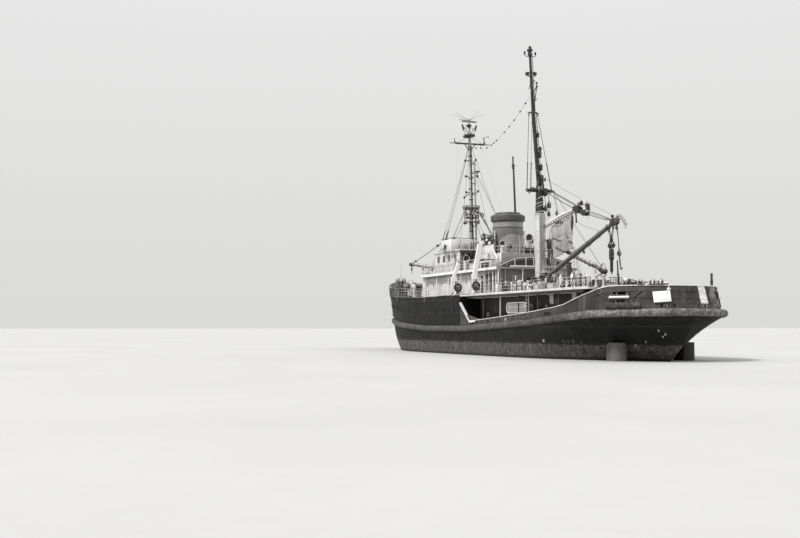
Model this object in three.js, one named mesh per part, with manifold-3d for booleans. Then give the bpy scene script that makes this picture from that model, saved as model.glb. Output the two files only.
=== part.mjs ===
// Twin-screw salvage ship with derrick booms, laid up and rusty, as a 1:2 scale model.
// +Y is the bow, +X is starboard, +Z is up. The origin is amidships, on the centreline, at the waterline.
// Every dimension below is in metres of the full-size ship, and U turns it into model millimetres.
import * as THREE from 'three';
import { mergeVertices } from 'three/addons/utils/BufferGeometryUtils.js';
import Module from 'manifold-3d';

const wasm = await Module();
wasm.setup();

// ---------------------------------------------------------------- driving dimensions
const U = 500;            // model millimetres for one full-size metre (scale 1:2)
const G = 0.0007;         // gap between pieces that touch
const C = 0.014;          // clearance round a moving piece

const DRAFT = 3.4;        // keel below the waterline
const BEAM = 6.55;        // half breadth amidships
const STERN_Y = -24;      // where the rounded stern begins
const STERN_L = 8.55;     // length of the rounded stern
const STERN_B = 6.45;     // half breadth where it begins
const STERN_E = 2.3;      // how full it is in plan: 2 is an ellipse
const BOW_Y = 8;          // where the bow begins to narrow
const BOW_L = 24.4;       // length of the bow's entrance
const STEM_Y = 32.3;      // stem at the forecastle deck
const RAKE = 0.27;        // slope of the stem
const STRAKE = 0.55;      // upright plating under the deck edge
const PLATE = 0.09;       // thickness of a bulwark
const WALL = 0.12;        // thickness of a deckhouse wall
const SLAB = 0.15;        // thickness of a deck over a house

const BREAK_Y = -3.0;     // where the hull rises to the upper deck
const WELL_Y = -27.6;     // after edge of the upper deck, and start of the open stern well
const UPPER_Z = 5.9;      // upper deck
const BRIDGE_Z = 8.55;    // bridge deck
const OPEN_Z = 11.05;     // open bridge
const OPEN_TOP = 12.1;    // top of the open bridge's bulwark

const MAST_Y = -7.65;     // mainmast
const FOREMAST_Y = 9.15;  // foremast on the open bridge
const KING_Y = 16.3;      // kingpost before the bridge
const FUNNEL_Y = -0.45;
const FUNNEL_R = 1.575;
const DAVIT_YS = { fore: 0.05, aft: -5.15 };
const HORN_X = 3.155;     // twin rudder horns, shafts and screws
const HORN_Y = -26.9;
const SCREW_Y = -25.1;
const SCREW_Z = -1.95;
const SCREW_R = 1.35;

// hull sections. y: station. keel: height of the bottom on the centreline. full: 1 is a plain V, 4 is boxy
const SECTIONS = [
  { y: -32.6, keel: 2.7, full: 0.95 }, { y: -31.6, keel: 1.25, full: 0.88 }, { y: -30.0, keel: 0.1, full: 0.84 },
  { y: -28.0, keel: -1.1, full: 0.86 }, { y: -25.5, keel: -2.1, full: 1.1 }, { y: -22.0, keel: -2.95, full: 1.5 },
  { y: -17.0, keel: -DRAFT, full: 2.2 }, { y: -10.0, keel: -DRAFT, full: 3.3 }, { y: 0.0, keel: -DRAFT, full: 4.0 },
  { y: 8.0, keel: -DRAFT, full: 3.7 }, { y: 15.0, keel: -DRAFT, full: 2.5 }, { y: 22.0, keel: -DRAFT, full: 1.7 },
  { y: 28.0, keel: -3.3, full: 1.25 }, { y: 32.3, keel: -3.0, full: 1.05 },
];
// sheer lines. y: station. z: height at the ship's side
const MAIN_SHEER = [
  { y: -32.6, z: 4.15 }, { y: -28, z: 4.05 }, { y: -18.3, z: 3.4 }, { y: -4.5, z: 2.85 }, { y: 6, z: 2.85 },
  { y: 16, z: 3.3 }, { y: 32.3, z: 4.6 },
];
const UPPER_SHEER = [{ y: -28, z: UPPER_Z }, { y: 8, z: UPPER_Z }, { y: 20, z: 6.3 }, { y: 32.3, z: 7.6 }];
const BULWARK_TOP = [
  { y: WELL_Y, z: 5.45 }, { y: -25.6, z: 4.95 }, { y: -24.0, z: 4.52 }, { y: -22.2, z: 4.3 }, { y: -18.2, z: 3.98 },
  { y: -12.6, z: 3.63 }, { y: -5.4, z: 3.25 }, { y: BREAK_Y, z: 5.1 },
];
const STERN_TOP = [{ y: -29.4, z: 5.9 }, { y: -28.6, z: 5.75 }, { y: WELL_Y, z: 5.45 }];
const STERN_ANGLES = [0, 18, 32, 44, 54, 63, 71, 78, 84];
const MID_STATIONS = [-22, -20, -16, -12, -8, -4.5, -3, 0, 4, 8, 12, 16, 19, 22, 25, 27.5, 29.5, 31, 32.3];

// ---------------------------------------------------------------- helpers
const rad = THREE.MathUtils.degToRad;
const lerpRow = (table, y, key) => {
  if (y <= table[0].y) return table[0][key];
  for (let i = 1; i < table.length; i++) {
    const a = table[i - 1], b = table[i];
    if (y <= b.y) return a[key] + (b[key] - a[key]) * (y - a.y) / (b.y - a.y);
  }
  return table[table.length - 1][key];
};
const mainZ = (y) => lerpRow(MAIN_SHEER, y, 'z');
const upperZ = (y) => lerpRow(UPPER_SHEER, y, 'z');
const forward = (y) => THREE.MathUtils.smoothstep(y, 12, STEM_Y);
const halfBeam = (y) => {
  if (y > BOW_Y) return Math.max(0.2, BEAM * (1 - ((y - BOW_Y) / BOW_L) ** 2.3));
  if (y > -16) return BEAM;
  if (y > STERN_Y) return STERN_B + (BEAM - STERN_B) * (y - STERN_Y) / 8;
  const t = Math.min(1, (STERN_Y - y) / STERN_L);
  return STERN_B * Math.max(0, 1 - t ** STERN_E) ** (1 / STERN_E);
};
const flaredBeam = (y) => halfBeam(y) * (1 + 0.16 * forward(y));
const raked = (y, z) => y - RAKE * (7.6 - z) * forward(y);
// point of the rounded stern at an angle from its widest place, pulled in by the given inset
const sternPoint = (a, inset = 0) => ({
  y: STERN_Y - (STERN_L - inset) * Math.sin(rad(a)) ** (2 / STERN_E), b: (STERN_B - inset) * Math.cos(rad(a)) ** (2 / STERN_E) });
const sternStations = STERN_ANGLES.map((a) => sternPoint(a)).reverse();
const stations = [...sternStations, ...MID_STATIONS.map((y) => ({ y, b: halfBeam(y) }))];

function clean(geometry) {
  const g = geometry.clone();
  for (const name of Object.keys(g.attributes)) if (name !== 'position') g.deleteAttribute(name);
  return mergeVertices(g, 1e-5);
}
function solid(geometry) {
  const g = clean(geometry.clone().scale(U, U, U));
  const index = new Uint32Array(g.index.array);
  return new wasm.Manifold(new wasm.Mesh({
    numProp: 3, vertProperties: new Float32Array(g.attributes.position.array), triVerts: index }));
}
const joined = (list) => list.map((g) => (g instanceof THREE.BufferGeometry ? solid(g) : g)).reduce((a, b) => a.add(b));
const cut = (body, list) => list.reduce((a, g) => a.subtract(g instanceof THREE.BufferGeometry ? solid(g) : g), body);

const root = new THREE.Group();
function piece(name, shape, color, roughness = 0.7, metalness = 0.2, parent = root) {
  const m = (shape instanceof THREE.BufferGeometry ? solid(shape) : shape).getMesh();
  const g = new THREE.BufferGeometry();
  const p = [];
  for (let i = 0; i < m.vertProperties.length; i += m.numProp) p.push(m.vertProperties[i], m.vertProperties[i + 1], m.vertProperties[i + 2]);
  g.setAttribute('position', new THREE.Float32BufferAttribute(p, 3));
  g.setIndex(Array.from(m.triVerts));
  g.computeVertexNormals();
  const mesh = new THREE.Mesh(g, new THREE.MeshStandardMaterial({ color, roughness, metalness }));
  mesh.name = name;
  parent.add(mesh);
  return mesh;
}
const frameAt = (x, y, z, parent = root, rx = 0, rz = 0) => {
  const g = new THREE.Group();
  g.position.set(x * U, y * U, z * U);
  g.rotation.set(rx, 0, rz, 'ZYX');
  parent.add(g);
  return g;
};
const box = (x0, x1, y0, y1, z0, z1) =>
  new THREE.BoxGeometry(x1 - x0, y1 - y0, z1 - z0).translate((x0 + x1) / 2, (y0 + y1) / 2, (z0 + z1) / 2);
// round bar between two points, with a radius at each end
function rod(a, b, r0, r1 = r0, sides = 8) {
  const p = new THREE.Vector3(...a), q = new THREE.Vector3(...b), d = q.clone().sub(p);
  const g = new THREE.CylinderGeometry(r1, r0, d.length(), sides);
  g.applyQuaternion(new THREE.Quaternion().setFromUnitVectors(new THREE.Vector3(0, 1, 0), d.clone().normalize()));
  return g.translate((p.x + q.x) / 2, (p.y + q.y) / 2, (p.z + q.z) / 2);
}
// square bar between two points; its width lies across the ship unless turned
function bar(a, b, w, t) {
  const p = new THREE.Vector3(...a), q = new THREE.Vector3(...b), d = q.clone().sub(p);
  const g = new THREE.BoxGeometry(w, t, d.length());
  g.applyQuaternion(new THREE.Quaternion().setFromUnitVectors(new THREE.Vector3(0, 0, 1), d.clone().normalize()));
  return g.translate((p.x + q.x) / 2, (p.y + q.y) / 2, (p.z + q.z) / 2);
}
// turned shape about an upright axis. profile: [radius, height] pairs that start and end on the axis or close on themselves
const turned = (profile, sides = 16) =>
  new THREE.LatheGeometry(profile.map(([r, h]) => new THREE.Vector2(r, h)), sides).rotateX(Math.PI / 2);
// plate with the given plan outline
function plate(points, z0, z1, holes = []) {
  const s = new THREE.Shape(points.map(([x, y]) => new THREE.Vector2(x, y)));
  for (const h of holes) s.holes.push(new THREE.Path(h.map(([x, y]) => new THREE.Vector2(x, y))));
  return new THREE.ExtrudeGeometry(s, { depth: z1 - z0, bevelEnabled: false }).translate(0, 0, z0);
}
// skin through a row of closed rings, with flat ends. flat: the two plan axes in which the end rings are filled
function loft(rings, flat) {
  const n = rings[0].length, pos = [], idx = [];
  for (const ring of rings) for (const p of ring) pos.push(...p);
  for (let i = 0; i + 1 < rings.length; i++) {
    for (let j = 0; j < n; j++) {
      const a = i * n + j, b = i * n + (j + 1) % n, c = a + n, d = b + n;
      idx.push(a, b, c, b, d, c);
    }
  }
  const fill = (ring, base, flip) => {
    const pts = ring.map((p) => new THREE.Vector2(p[flat[0]], p[flat[1]]));
    const ccw = THREE.ShapeUtils.area(pts) > 0;
    for (const [a, b, c] of THREE.ShapeUtils.triangulateShape(ccw ? pts : pts.slice().reverse(), [])) {
      const m = (k) => base + (ccw ? k : ring.length - 1 - k);
      if (ccw === flip) idx.push(m(a), m(b), m(c)); else idx.push(m(a), m(c), m(b));
    }
  };
  fill(rings[0], 0, false);
  fill(rings[rings.length - 1], (rings.length - 1) * n, true);
  const g = new THREE.BufferGeometry();
  g.setAttribute('position', new THREE.Float32BufferAttribute(pos, 3));
  g.setIndex(idx);
  return faceOut(g);
}
function faceOut(g) {
  const p = g.attributes.position, id = g.index.array;
  let v = 0;
  const a = new THREE.Vector3(), b = new THREE.Vector3(), c = new THREE.Vector3();
  for (let i = 0; i < id.length; i += 3) {
    a.fromBufferAttribute(p, id[i]); b.fromBufferAttribute(p, id[i + 1]); c.fromBufferAttribute(p, id[i + 2]);
    v += a.dot(b.cross(c));
  }
  if (v < 0) for (let i = 0; i < id.length; i += 3) [id[i + 1], id[i + 2]] = [id[i + 2], id[i + 1]];
  g.setIndex(Array.from(id));
  return g;
}
// a wall or rail that follows the ship's side. path: [x, y] points. section(y): [inset, z] corners at that station
function sideBand(path, section) {
  const rings = path.map(([x, y], i) => {
    const p = path[Math.max(0, i - 1)], q = path[Math.min(path.length - 1, i + 1)];
    let nx = -(q[1] - p[1]), ny = q[0] - p[0];
    const l = Math.hypot(nx, ny);
    nx /= l; ny /= l;
    if (i === 0 || i === path.length - 1) { nx = Math.sign(nx); ny = 0; }
    return section(y, x).map(([inset, z]) => [x + nx * inset, raked(y, z) + ny * inset, z]);
  });
  return loft(rings, Math.abs(rings[0][0][0] - rings[0][2][0]) > 0.01 ? [0, 2] : [1, 2]);
}
// ship's side from y0 to y1 as [x, y] points; side 1 is starboard, -1 is port
const sidePath = (y0, y1, side, beam = halfBeam) => {
  const ys = [y0, ...stations.map((s) => s.y).filter((y) => y > Math.min(y0, y1) + 0.3 && y < Math.max(y0, y1) - 0.3), y1];
  ys.sort((a, b) => (y0 < y1 ? a - b : b - a));
  return ys.map((y) => [side * beam(y), y]);
};
// ship's side round the stern, from y0 on the port side to y0 on the starboard side
const sternPath = (y0) => {
  const half = sternStations.filter((s) => s.y < y0 - 0.3).map((s) => [s.b, s.y]);
  return [[-halfBeam(y0), y0], ...half.slice().reverse().map(([x, y]) => [-x, y]), ...half, [halfBeam(y0), y0]];
};
// deckhouse walls that stand on a sheered deck, open above and below
function walls(outline, zb, zt, t, cuts = []) {
  const make = (pts, lift) => {
    const g = plate(pts, 0, 1);
    const p = g.attributes.position;
    for (let i = 0; i < p.count; i++) p.setZ(i, p.getZ(i) > 0.5 ? zt - G + lift : zb(p.getY(i)) + G - lift);
    return g;
  };
  const inner = outline.map(([x, y], i) => {
    const a = outline[(i + outline.length - 1) % outline.length], b = outline[(i + 1) % outline.length];
    const u = new THREE.Vector2(x - a[0], y - a[1]).normalize(), v = new THREE.Vector2(b[0] - x, b[1] - y).normalize();
    const n1 = [-u.y, u.x], n2 = [-v.y, v.x];
    const k = t / (1 + n1[0] * n2[0] + n1[1] * n2[1]);
    return [x + (n1[0] + n2[0]) * k, y + (n1[1] + n2[1]) * k];
  });
  return cut(solid(make(outline, 0)), [make(inner, 1), ...cuts]);
}

// ---------------------------------------------------------------- colours
const HULL = 0x23211f, BOOT = 0x8a8782, WHITE = 0xcfcdc6, GREY = 0x8c8b87, DARK = 0x2b2a29, DECK = 0x5b5651, RUST = 0x5d4a3c,
  BRONZE = 0x8d7a4b, RAIL = 0x9b9790;

// ---------------------------------------------------------------- hull
const HALF_POINTS = 9;
function hullRing({ y, b }) {
  const zk = lerpRow(SECTIONS, y, 'keel'), n = lerpRow(SECTIONS, y, 'full'), zd = mainZ(y), zr = zd - STRAKE;
  const half = [];
  for (let j = 0; j <= HALF_POINTS; j++) {
    const t = (Math.PI / 2) * (j / HALF_POINTS);
    half.push([b * Math.sin(t) ** (2 / n), zr - (zr - zk) * Math.max(0, Math.cos(t)) ** (2 / n)]);
  }
  half[0][0] = 0;
  half[HALF_POINTS] = [b, zr];
  half.push([b, zd]);
  const star = half.map(([x, z]) => [x, raked(y, z), z]);
  const port = half.slice(1).reverse().map(([x, z]) => [-x, raked(y, z), z]);
  return [...star, ...port];
}
piece('hull', loft(stations.map(hullRing), [0, 2]), HULL, 0.85, 0.1);

// davit feet: a pair of lugs on each side, part of the deck that carries them
const davitLugs = (y, zd) => [-1, 1].flatMap((s) => [-1, 1].map((k) =>
  box(s * 5.75 - 0.32, s * 5.75 + 0.32, y + k * 0.34 - 0.06, y + k * 0.34 + 0.06, zd - 0.02, zd + 0.62)));
// upper hull before the break, plated up to the upper deck and flared at the bow
piece('forward_hull', joined([loft(stations.filter((s) => s.y >= BREAK_Y).map(({ y, b }) => {
  const z0 = mainZ(y) + G, z1 = upperZ(y), bt = flaredBeam(y), zm = (z0 + z1) / 2, bm = b * 0.62 + bt * 0.38;
  return [[b, z0], [bm, zm], [bt, z1], [-bt, z1], [-bm, zm], [-b, z0]].map(([x, z]) => [x, raked(y, z), z]);
}), [0, 2]), ...davitLugs(DAVIT_YS.fore, UPPER_Z)]), HULL, 0.85, 0.1);

// ---------------------------------------------------------------- under water
const keelZ = (y) => lerpRow(SECTIONS, y, 'keel');
const skegTop = [-28.2, -27, -25.5, -24, -22, -20, -18, -17.05].map((y) => [y, keelZ(y) - 0.012]);
const skegSide = new THREE.Shape([[-17.0, -3.44], [-25.9, -3.44], [-27.4, -2.6], [-28.2, -1.5], ...skegTop].map(([y, z]) => new THREE.Vector2(y, z)));
piece('skeg', solid(new THREE.ExtrudeGeometry(skegSide, { depth: 0.28, bevelEnabled: false }).translate(0, 0, -0.14).rotateX(Math.PI / 2).rotateZ(Math.PI / 2))
  .subtract(solid(loft(stations.map(hullRing), [0, 2]).translate(0, 0, -0.003))), HULL, 0.9, 0.1);
const underHull = solid(loft(stations.map(hullRing), [0, 2]).translate(0, 0, -0.004));
for (const [tag, side] of [['port', -1], ['starboard', 1]]) {
  const x = side * HORN_X;
  // the horn rises into the counter and is trimmed to it
  const horn = plate([[-0.98, 0.3], [-0.86, 0.52], [-0.66, 0.58], [0.5, 0.58], [0.95, 0.3], [0.95, -0.3], [0.5, -0.58], [-0.66, -0.58], [-0.86, -0.52], [-0.98, -0.3]]
    .map(([a, b]) => [x + b, HORN_Y + a]), -0.15, 1.48);
  piece(`rudder_horn_${tag}`, solid(horn).subtract(underHull), BOOT, 0.85, 0.1);
  const rudder = frameAt(x, HORN_Y + 0.25, 0);
  piece(`rudder_${tag}`, plate([[0.62, 0], [0.55, 0.11], [0.1, 0.15], [-1.75, 0.03], [-1.75, -0.03], [0.1, -0.15], [0.55, -0.11]]
    .map(([a, b]) => [b, a]), -3.25, -0.15 - C), BOOT, 0.85, 0.1, rudder);
  // screw with four blades, turned about the shaft line
  const screw = frameAt(x, SCREW_Y, SCREW_Z);
  const hub = rod([0, -0.34, 0], [0, 0.34, 0], 0.16, 0.24, 12);
  const blades = [0, 1, 2, 3].map((k) => {
    const s = new THREE.Shape();
    s.moveTo(-0.13, 0.1); s.quadraticCurveTo(-0.46, 0.55, -0.34, 1.1); s.quadraticCurveTo(-0.1, SCREW_R + 0.12, 0.2, SCREW_R - 0.13);
    s.quadraticCurveTo(0.5, 0.85, 0.13, 0.1);
    return new THREE.ExtrudeGeometry(s, { depth: 0.07, bevelEnabled: false, curveSegments: 4 }).translate(0, 0, -0.035)
      .rotateY(rad(32) * side).rotateX(Math.PI / 2).rotateY(k * Math.PI / 2);
  });
  piece(`propeller_${tag}`, joined([hub, ...blades]), BRONZE, 0.5, 0.7, screw);
  // shaft, its tube and the V strut
  const shaft = joined([rod([x, SCREW_Y + 0.34 + C, SCREW_Z], [x, -19.6, -1.95], 0.17, 0.17, 12),
    rod([x, SCREW_Y + 0.4, SCREW_Z], [x, SCREW_Y + 1.1, SCREW_Z], 0.27, 0.27, 12),
    bar([x, SCREW_Y + 0.75, SCREW_Z], [x - side * 1.6, SCREW_Y + 0.95, 0.9], 0.12, 0.5),
    bar([x, SCREW_Y + 0.75, SCREW_Z], [x + side * 0.9, SCREW_Y + 0.95, 2.0], 0.12, 0.5)]).subtract(underHull);
  const parts = shaft.decompose();
  piece(`shaft_${tag}`, parts.reduce((a, b) => (a.volume() > b.volume() ? a : b)), GREY, 0.6, 0.5);
  // bilge keel
  const bilge = joined([plate([[-9, 0], [9, 0], [8, 0.5], [-8, 0.5]].map(([a, b]) => [b, a]), -0.05, 0.05)
    .rotateY(side > 0 ? rad(42) : rad(138)).translate(side * 5.72, 1, -2.62)]).subtract(underHull);
  piece(`bilge_keel_${tag}`, bilge.decompose().reduce((a, b) => (a.volume() > b.volume() ? a : b)), HULL, 0.85, 0.1);
}

// ---------------------------------------------------------------- rub rail and bulwarks
const RAIL_D = 0.6, RAIL_W = 0.3;
const railSection = (y) => {
  const z = mainZ(y), g = G + 0.03 * forward(y);
  return [[-g, z - RAIL_D], [-RAIL_W * 0.75, z - RAIL_D * 0.85], [-RAIL_W, z - RAIL_D * 0.5], [-RAIL_W * 0.75, z - RAIL_D * 0.12], [-g, z]];
};
const railStations = stations.filter((s) => s.y < 22.5).map((s) => [s.b, s.y]);
piece('rub_rail', sideBand([...railStations.slice().reverse().map(([x, y]) => [-x, y]), ...railStations], railSection), RAIL, 0.8, 0.1);

// the bulwark stands in from the deck's edge, further at the stern
const edgeInset = (y) => 0.03 + 0.22 * (1 - THREE.MathUtils.smoothstep(y, -27, -19));
for (const [tag, side] of [['port', -1], ['starboard', 1]]) {
  const path = side < 0 ? sidePath(BREAK_Y - G, WELL_Y + G, side) : sidePath(WELL_Y + G, BREAK_Y - G, side);
  const wall = solid(sideBand(path, (y) => {
    const z0 = mainZ(y) + G, z1 = lerpRow(BULWARK_TOP, y, 'z'), e = edgeInset(y);
    return [[e, z0], [e, z1], [e + PLATE, z1], [e + PLATE, z0]];
  }));
  // freeing ports along the deck edge
  const ports = [-21.5, -17.5, -13.5, -9.5, -6.0].map((y) => box(side * (BEAM + 0.4), side * (BEAM - 0.6), y - 0.6, y + 0.6, mainZ(y) + 0.1, mainZ(y) + 0.33));
  piece(`side_bulwark_${tag}`, cut(wall, ports.map((g) => faceOut(clean(g)))), HULL, 0.85, 0.1);
}
const tumble = (y) => 0.38 * (1 - THREE.MathUtils.smoothstep(y, -30.5, WELL_Y));
const sternWall = solid(sideBand(sternPath(WELL_Y - 0.03), (y) => {
  const z0 = mainZ(y) + G, z1 = lerpRow(STERN_TOP, y, 'z'), e = edgeInset(y), t = tumble(y) + e;
  return [[e, z0], [t, z1], [t + PLATE, z1], [e + PLATE, z0]];
}));
// mooring openings through the quarter. z: middle. h: half height
const SLOT_A = 43.5, SLOT_W = 0.62;
const slotCuts = [];
for (const side of [-1, 1]) {
  for (const { z, h } of [{ z: 4.62, h: 0.24 }, { z: 5.36, h: 0.15 }]) {
    const p = sternPoint(SLOT_A, 0.4);
    slotCuts.push(box(-SLOT_W, SLOT_W, -0.7, 0.7, -h, h).rotateZ(side * rad(47)).translate(side * p.b, p.y, z));
  }
}
const freeing = [-1, 1].map((s) => box(-0.6, 0.6, -1.2, 1.2, 0, 0.2).translate(s * 1.6, -32.1, mainZ(-32) + 0.12));
piece('stern_bulwark', cut(sternWall, [...slotCuts, ...freeing]), HULL, 0.85, 0.1);

// ---------------------------------------------------------------- upper deck and the house under it
const upperOutline = (() => {
  const right = sidePath(WELL_Y, BREAK_Y - G, 1).map(([x, y]) => [x - 0.02, y]);
  return [...right, ...right.slice().reverse().map(([x, y]) => [-x, y])];
})();
piece('upper_deck', joined([plate(upperOutline, UPPER_Z - SLAB, UPPER_Z), ...davitLugs(DAVIT_YS.aft, UPPER_Z)]), DECK, 0.85, 0.1);

const MAIN_HOUSE = { y0: -25.2, y1: BREAK_Y - 0.02, w: 4.35 };
const rect = (h) => [[h.w, h.y0], [h.w, h.y1], [-h.w, h.y1], [-h.w, h.y0]];
// doors. x: centre. y: outer face of the wall. w, h: the leaf. sill: height of the opening over the deck
const DOOR_W = 0.75, DOOR_H = 1.75, SILL = 0.22;
const doorway = (x, y, z, along = 'x') => (along === 'x'
  ? box(x - DOOR_W / 2 - C, x + DOOR_W / 2 + C, y - 0.4, y + 0.4, z + SILL - C, z + SILL + DOOR_H + C)
  : box(x - 0.4, x + 0.4, y - DOOR_W / 2 - C, y + DOOR_W / 2 + C, z + SILL - C, z + SILL + DOOR_H + C));
const mainDoorZ = mainZ(MAIN_HOUSE.y0) - 0.05;
const MAIN_DOOR_H = 1.4;
const lowDoor = (x) => box(x - DOOR_W / 2 - C, x + DOOR_W / 2 + C, MAIN_HOUSE.y0 - 0.4, MAIN_HOUSE.y0 + 0.4, mainDoorZ + 0.25 - C, mainDoorZ + 0.25 + MAIN_DOOR_H + C);
piece('main_deck_house', walls(rect(MAIN_HOUSE), mainZ, UPPER_Z - SLAB, WALL, [lowDoor(-2.6), lowDoor(2.6)]), DARK, 0.85, 0.1);

// a leaf that fills its doorway, built about its hinge line
function doorLeaf(name, x, y, z, h, handle, along) {
  const f = frameAt(x, y, z, root, 0, along);
  const leaf = joined([box(0.0, DOOR_W, 0.0, 0.07, 0, h), box(DOOR_W - 0.14, DOOR_W - 0.04, -0.05 * handle, 0.01, h * 0.48, h * 0.56)]);
  piece(name, leaf, GREY, 0.75, 0.2, f);
}
doorLeaf('stern_door_port', -2.6 - DOOR_W / 2, MAIN_HOUSE.y0 - 0.0, mainDoorZ + 0.25, MAIN_DOOR_H, 1, 0);
doorLeaf('stern_door_starboard', 2.6 - DOOR_W / 2, MAIN_HOUSE.y0 - 0.0, mainDoorZ + 0.25, MAIN_DOOR_H, 1, 0);

// stanchions under the deck's edge, carried by a beam along it
for (const [tag, side] of [['port', -1], ['starboard', 1]]) {
  const x = side * 5.85;
  const posts = [-26.2, -22.4, -18.6, -14.8, -11.0, -7.2].map((y) => rod([x, y, mainZ(y) + G + 0.03], [x, y, UPPER_Z - SLAB - 0.1], 0.07, 0.07, 8));
  piece(`stanchions_${tag}`, joined([box(x - 0.09, x + 0.09, -26.6, -3.4, UPPER_Z - SLAB - 0.2, UPPER_Z - SLAB - G), ...posts])
    , WHITE, 0.75, 0.2);
}

// ---------------------------------------------------------------- upper house, bridge deck, wheelhouse, open bridge
const UPPER_HOUSE = { y0: -6.6, y1: 14.6, w: 3.7 };
piece('upper_house', walls(rect(UPPER_HOUSE), (y) => upperZ(y) + 0.006, BRIDGE_Z - SLAB, WALL,
  [doorway(-2.0, UPPER_HOUSE.y0, UPPER_Z), doorway(2.0, UPPER_HOUSE.y0, UPPER_Z)]), WHITE, 0.75, 0.1);
doorLeaf('upper_door_port', -2.0 - DOOR_W / 2, UPPER_HOUSE.y0, UPPER_Z + SILL, DOOR_H, 1, 0);
doorLeaf('upper_door_starboard', 2.0 - DOOR_W / 2, UPPER_HOUSE.y0, UPPER_Z + SILL, DOOR_H, 1, 0);
piece('bridge_deck', plate([[4.4, -7.0], [4.4, 13.4], [3.2, 15.2], [-3.2, 15.2], [-4.4, 13.4], [-4.4, -7.0]], BRIDGE_Z - SLAB, BRIDGE_Z), DECK, 0.85, 0.1);

const WH = { y0: 4.4, y1: 12.9, w: 3.35 };
const WH_DOOR_Y = 5.6;
const whOutline = [[WH.w, WH.y0], [WH.w, WH.y1 - 1.3], [WH.w - 1.3, WH.y1], [-WH.w + 1.3, WH.y1], [-WH.w, WH.y1 - 1.3], [-WH.w, WH.y0]];
const winZ0 = BRIDGE_Z + 1.25, winZ1 = BRIDGE_Z + 2.05;
const whCuts = [];
for (const x of [-1.5, -0.5, 0.5, 1.5]) whCuts.push(box(x - 0.36, x + 0.36, WH.y1 - 0.5, WH.y1 + 0.5, winZ0, winZ1));
for (const s of [-1, 1]) {
  for (const y of [7.3, 8.9, 10.5]) whCuts.push(box(s * WH.w - 0.4, s * WH.w + 0.4, y - 0.4, y + 0.4, winZ0, winZ1));
  whCuts.push(box(-0.36, 0.36, -0.5, 0.5, winZ0, winZ1).rotateZ(-s * Math.PI / 4).translate(s * (WH.w - 0.65), WH.y1 - 0.65, 0));
  whCuts.push(box(s * 2.1 - 0.4, s * 2.1 + 0.4, WH.y0 - 0.4, WH.y0 + 0.4, winZ0, winZ1));
  whCuts.push(doorway(s * WH.w, WH_DOOR_Y, BRIDGE_Z, 'y'));
}
piece('wheelhouse', walls(whOutline, () => BRIDGE_Z, OPEN_Z - SLAB, WALL, whCuts), WHITE, 0.7, 0.1);
doorLeaf('wheelhouse_door_port', -WH.w, WH_DOOR_Y + DOOR_W / 2, BRIDGE_Z + SILL, DOOR_H, 1, -Math.PI / 2);
doorLeaf('wheelhouse_door_starboard', WH.w, WH_DOOR_Y - DOOR_W / 2, BRIDGE_Z + SILL, DOOR_H, 1, Math.PI / 2);

const OPEN = { y0: 5.3, y1: 11.3, w: 4.0 };
const openHalf = [[OPEN.w, OPEN.y0], [OPEN.w, 8.1], [2.9, 9.9], [1.5, OPEN.y1]];
const openOutline = [...openHalf, ...openHalf.slice().reverse().map(([x, y]) => [-x, y])];
// the wheelhouse's roof carries it, with a wing on each side
const roofHalf = [[3.55, 3.9], [3.55, OPEN.y0], [OPEN.w, OPEN.y0], [OPEN.w, 8.1], [3.5, 8.9], [3.5, 11.8], [2.1, 13.2]];
piece('open_bridge_deck', plate([...roofHalf, ...roofHalf.slice().reverse().map(([x, y]) => [-x, y])], OPEN_Z - SLAB, OPEN_Z), DECK, 0.85, 0.1);
piece('open_bridge_bulwark', walls(openOutline, () => OPEN_Z, OPEN_TOP, 0.08,
  [box(-1.4, 1.4, OPEN.y0 - 1, OPEN.y0 + 1, OPEN_Z - 0.5, OPEN_TOP + 1)]), WHITE, 0.7, 0.1);

// ---------------------------------------------------------------- funnel
// casing with a breast-high wall round its forward end
piece('funnel_casing', joined([box(-2.1, 2.1, -3.3, 2.1, BRIDGE_Z + G, 10.2), box(-2.1, -2.0, -1.5, 2.1, 10.1, 11.15),
  box(2.0, 2.1, -1.5, 2.1, 10.1, 11.15), box(-2.1, 2.1, 2.0, 2.1, 10.1, 11.15)]), WHITE, 0.75, 0.1);
piece('funnel', turned([[0, 10.2 + G], [FUNNEL_R, 10.2 + G], [FUNNEL_R, 13.6], [FUNNEL_R + 0.2, 13.68], [FUNNEL_R + 0.21, 14.2], [FUNNEL_R + 0.06, 14.32],
  [FUNNEL_R - 0.25, 14.34], [FUNNEL_R - 0.28, 14.55], [FUNNEL_R - 0.4, 14.55], [FUNNEL_R - 0.4, 12.6], [0, 12.6]], 28).translate(0, FUNNEL_Y, 0), GREY, 0.7, 0.2);

// ---------------------------------------------------------------- masts
const MAIN_HEEL = { x: 0, y: -8.85, z: 7.55 };
const SIDE_HEEL = { x: 1.5, y: -7.85, z: 10.64 };
const FORE_HEEL = { x: 0, y: KING_Y + 1.0, z: 9.6 };
const LUG = 0.42;
// a pair of lugs that hold a boom's swivel pin, reaching out from the post behind them
const lugs = (h, from) => [-1, 1].map((k) => {
  const z = h.z + k * (LUG + 0.06);
  return plate([[Math.min(h.x - 0.2, from[0]), Math.min(h.y - 0.2, from[1])], [Math.max(h.x + 0.2, from[0]), Math.min(h.y - 0.2, from[1])],
    [Math.max(h.x + 0.2, from[0]), Math.max(h.y + 0.2, from[1])], [Math.min(h.x - 0.2, from[0]), Math.max(h.y + 0.2, from[1])]], z - 0.06, z + 0.06);
});
const CROSS_Z = 16.06, KNEE_Z = 23.77, TOP_Z = 30.31;
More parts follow.
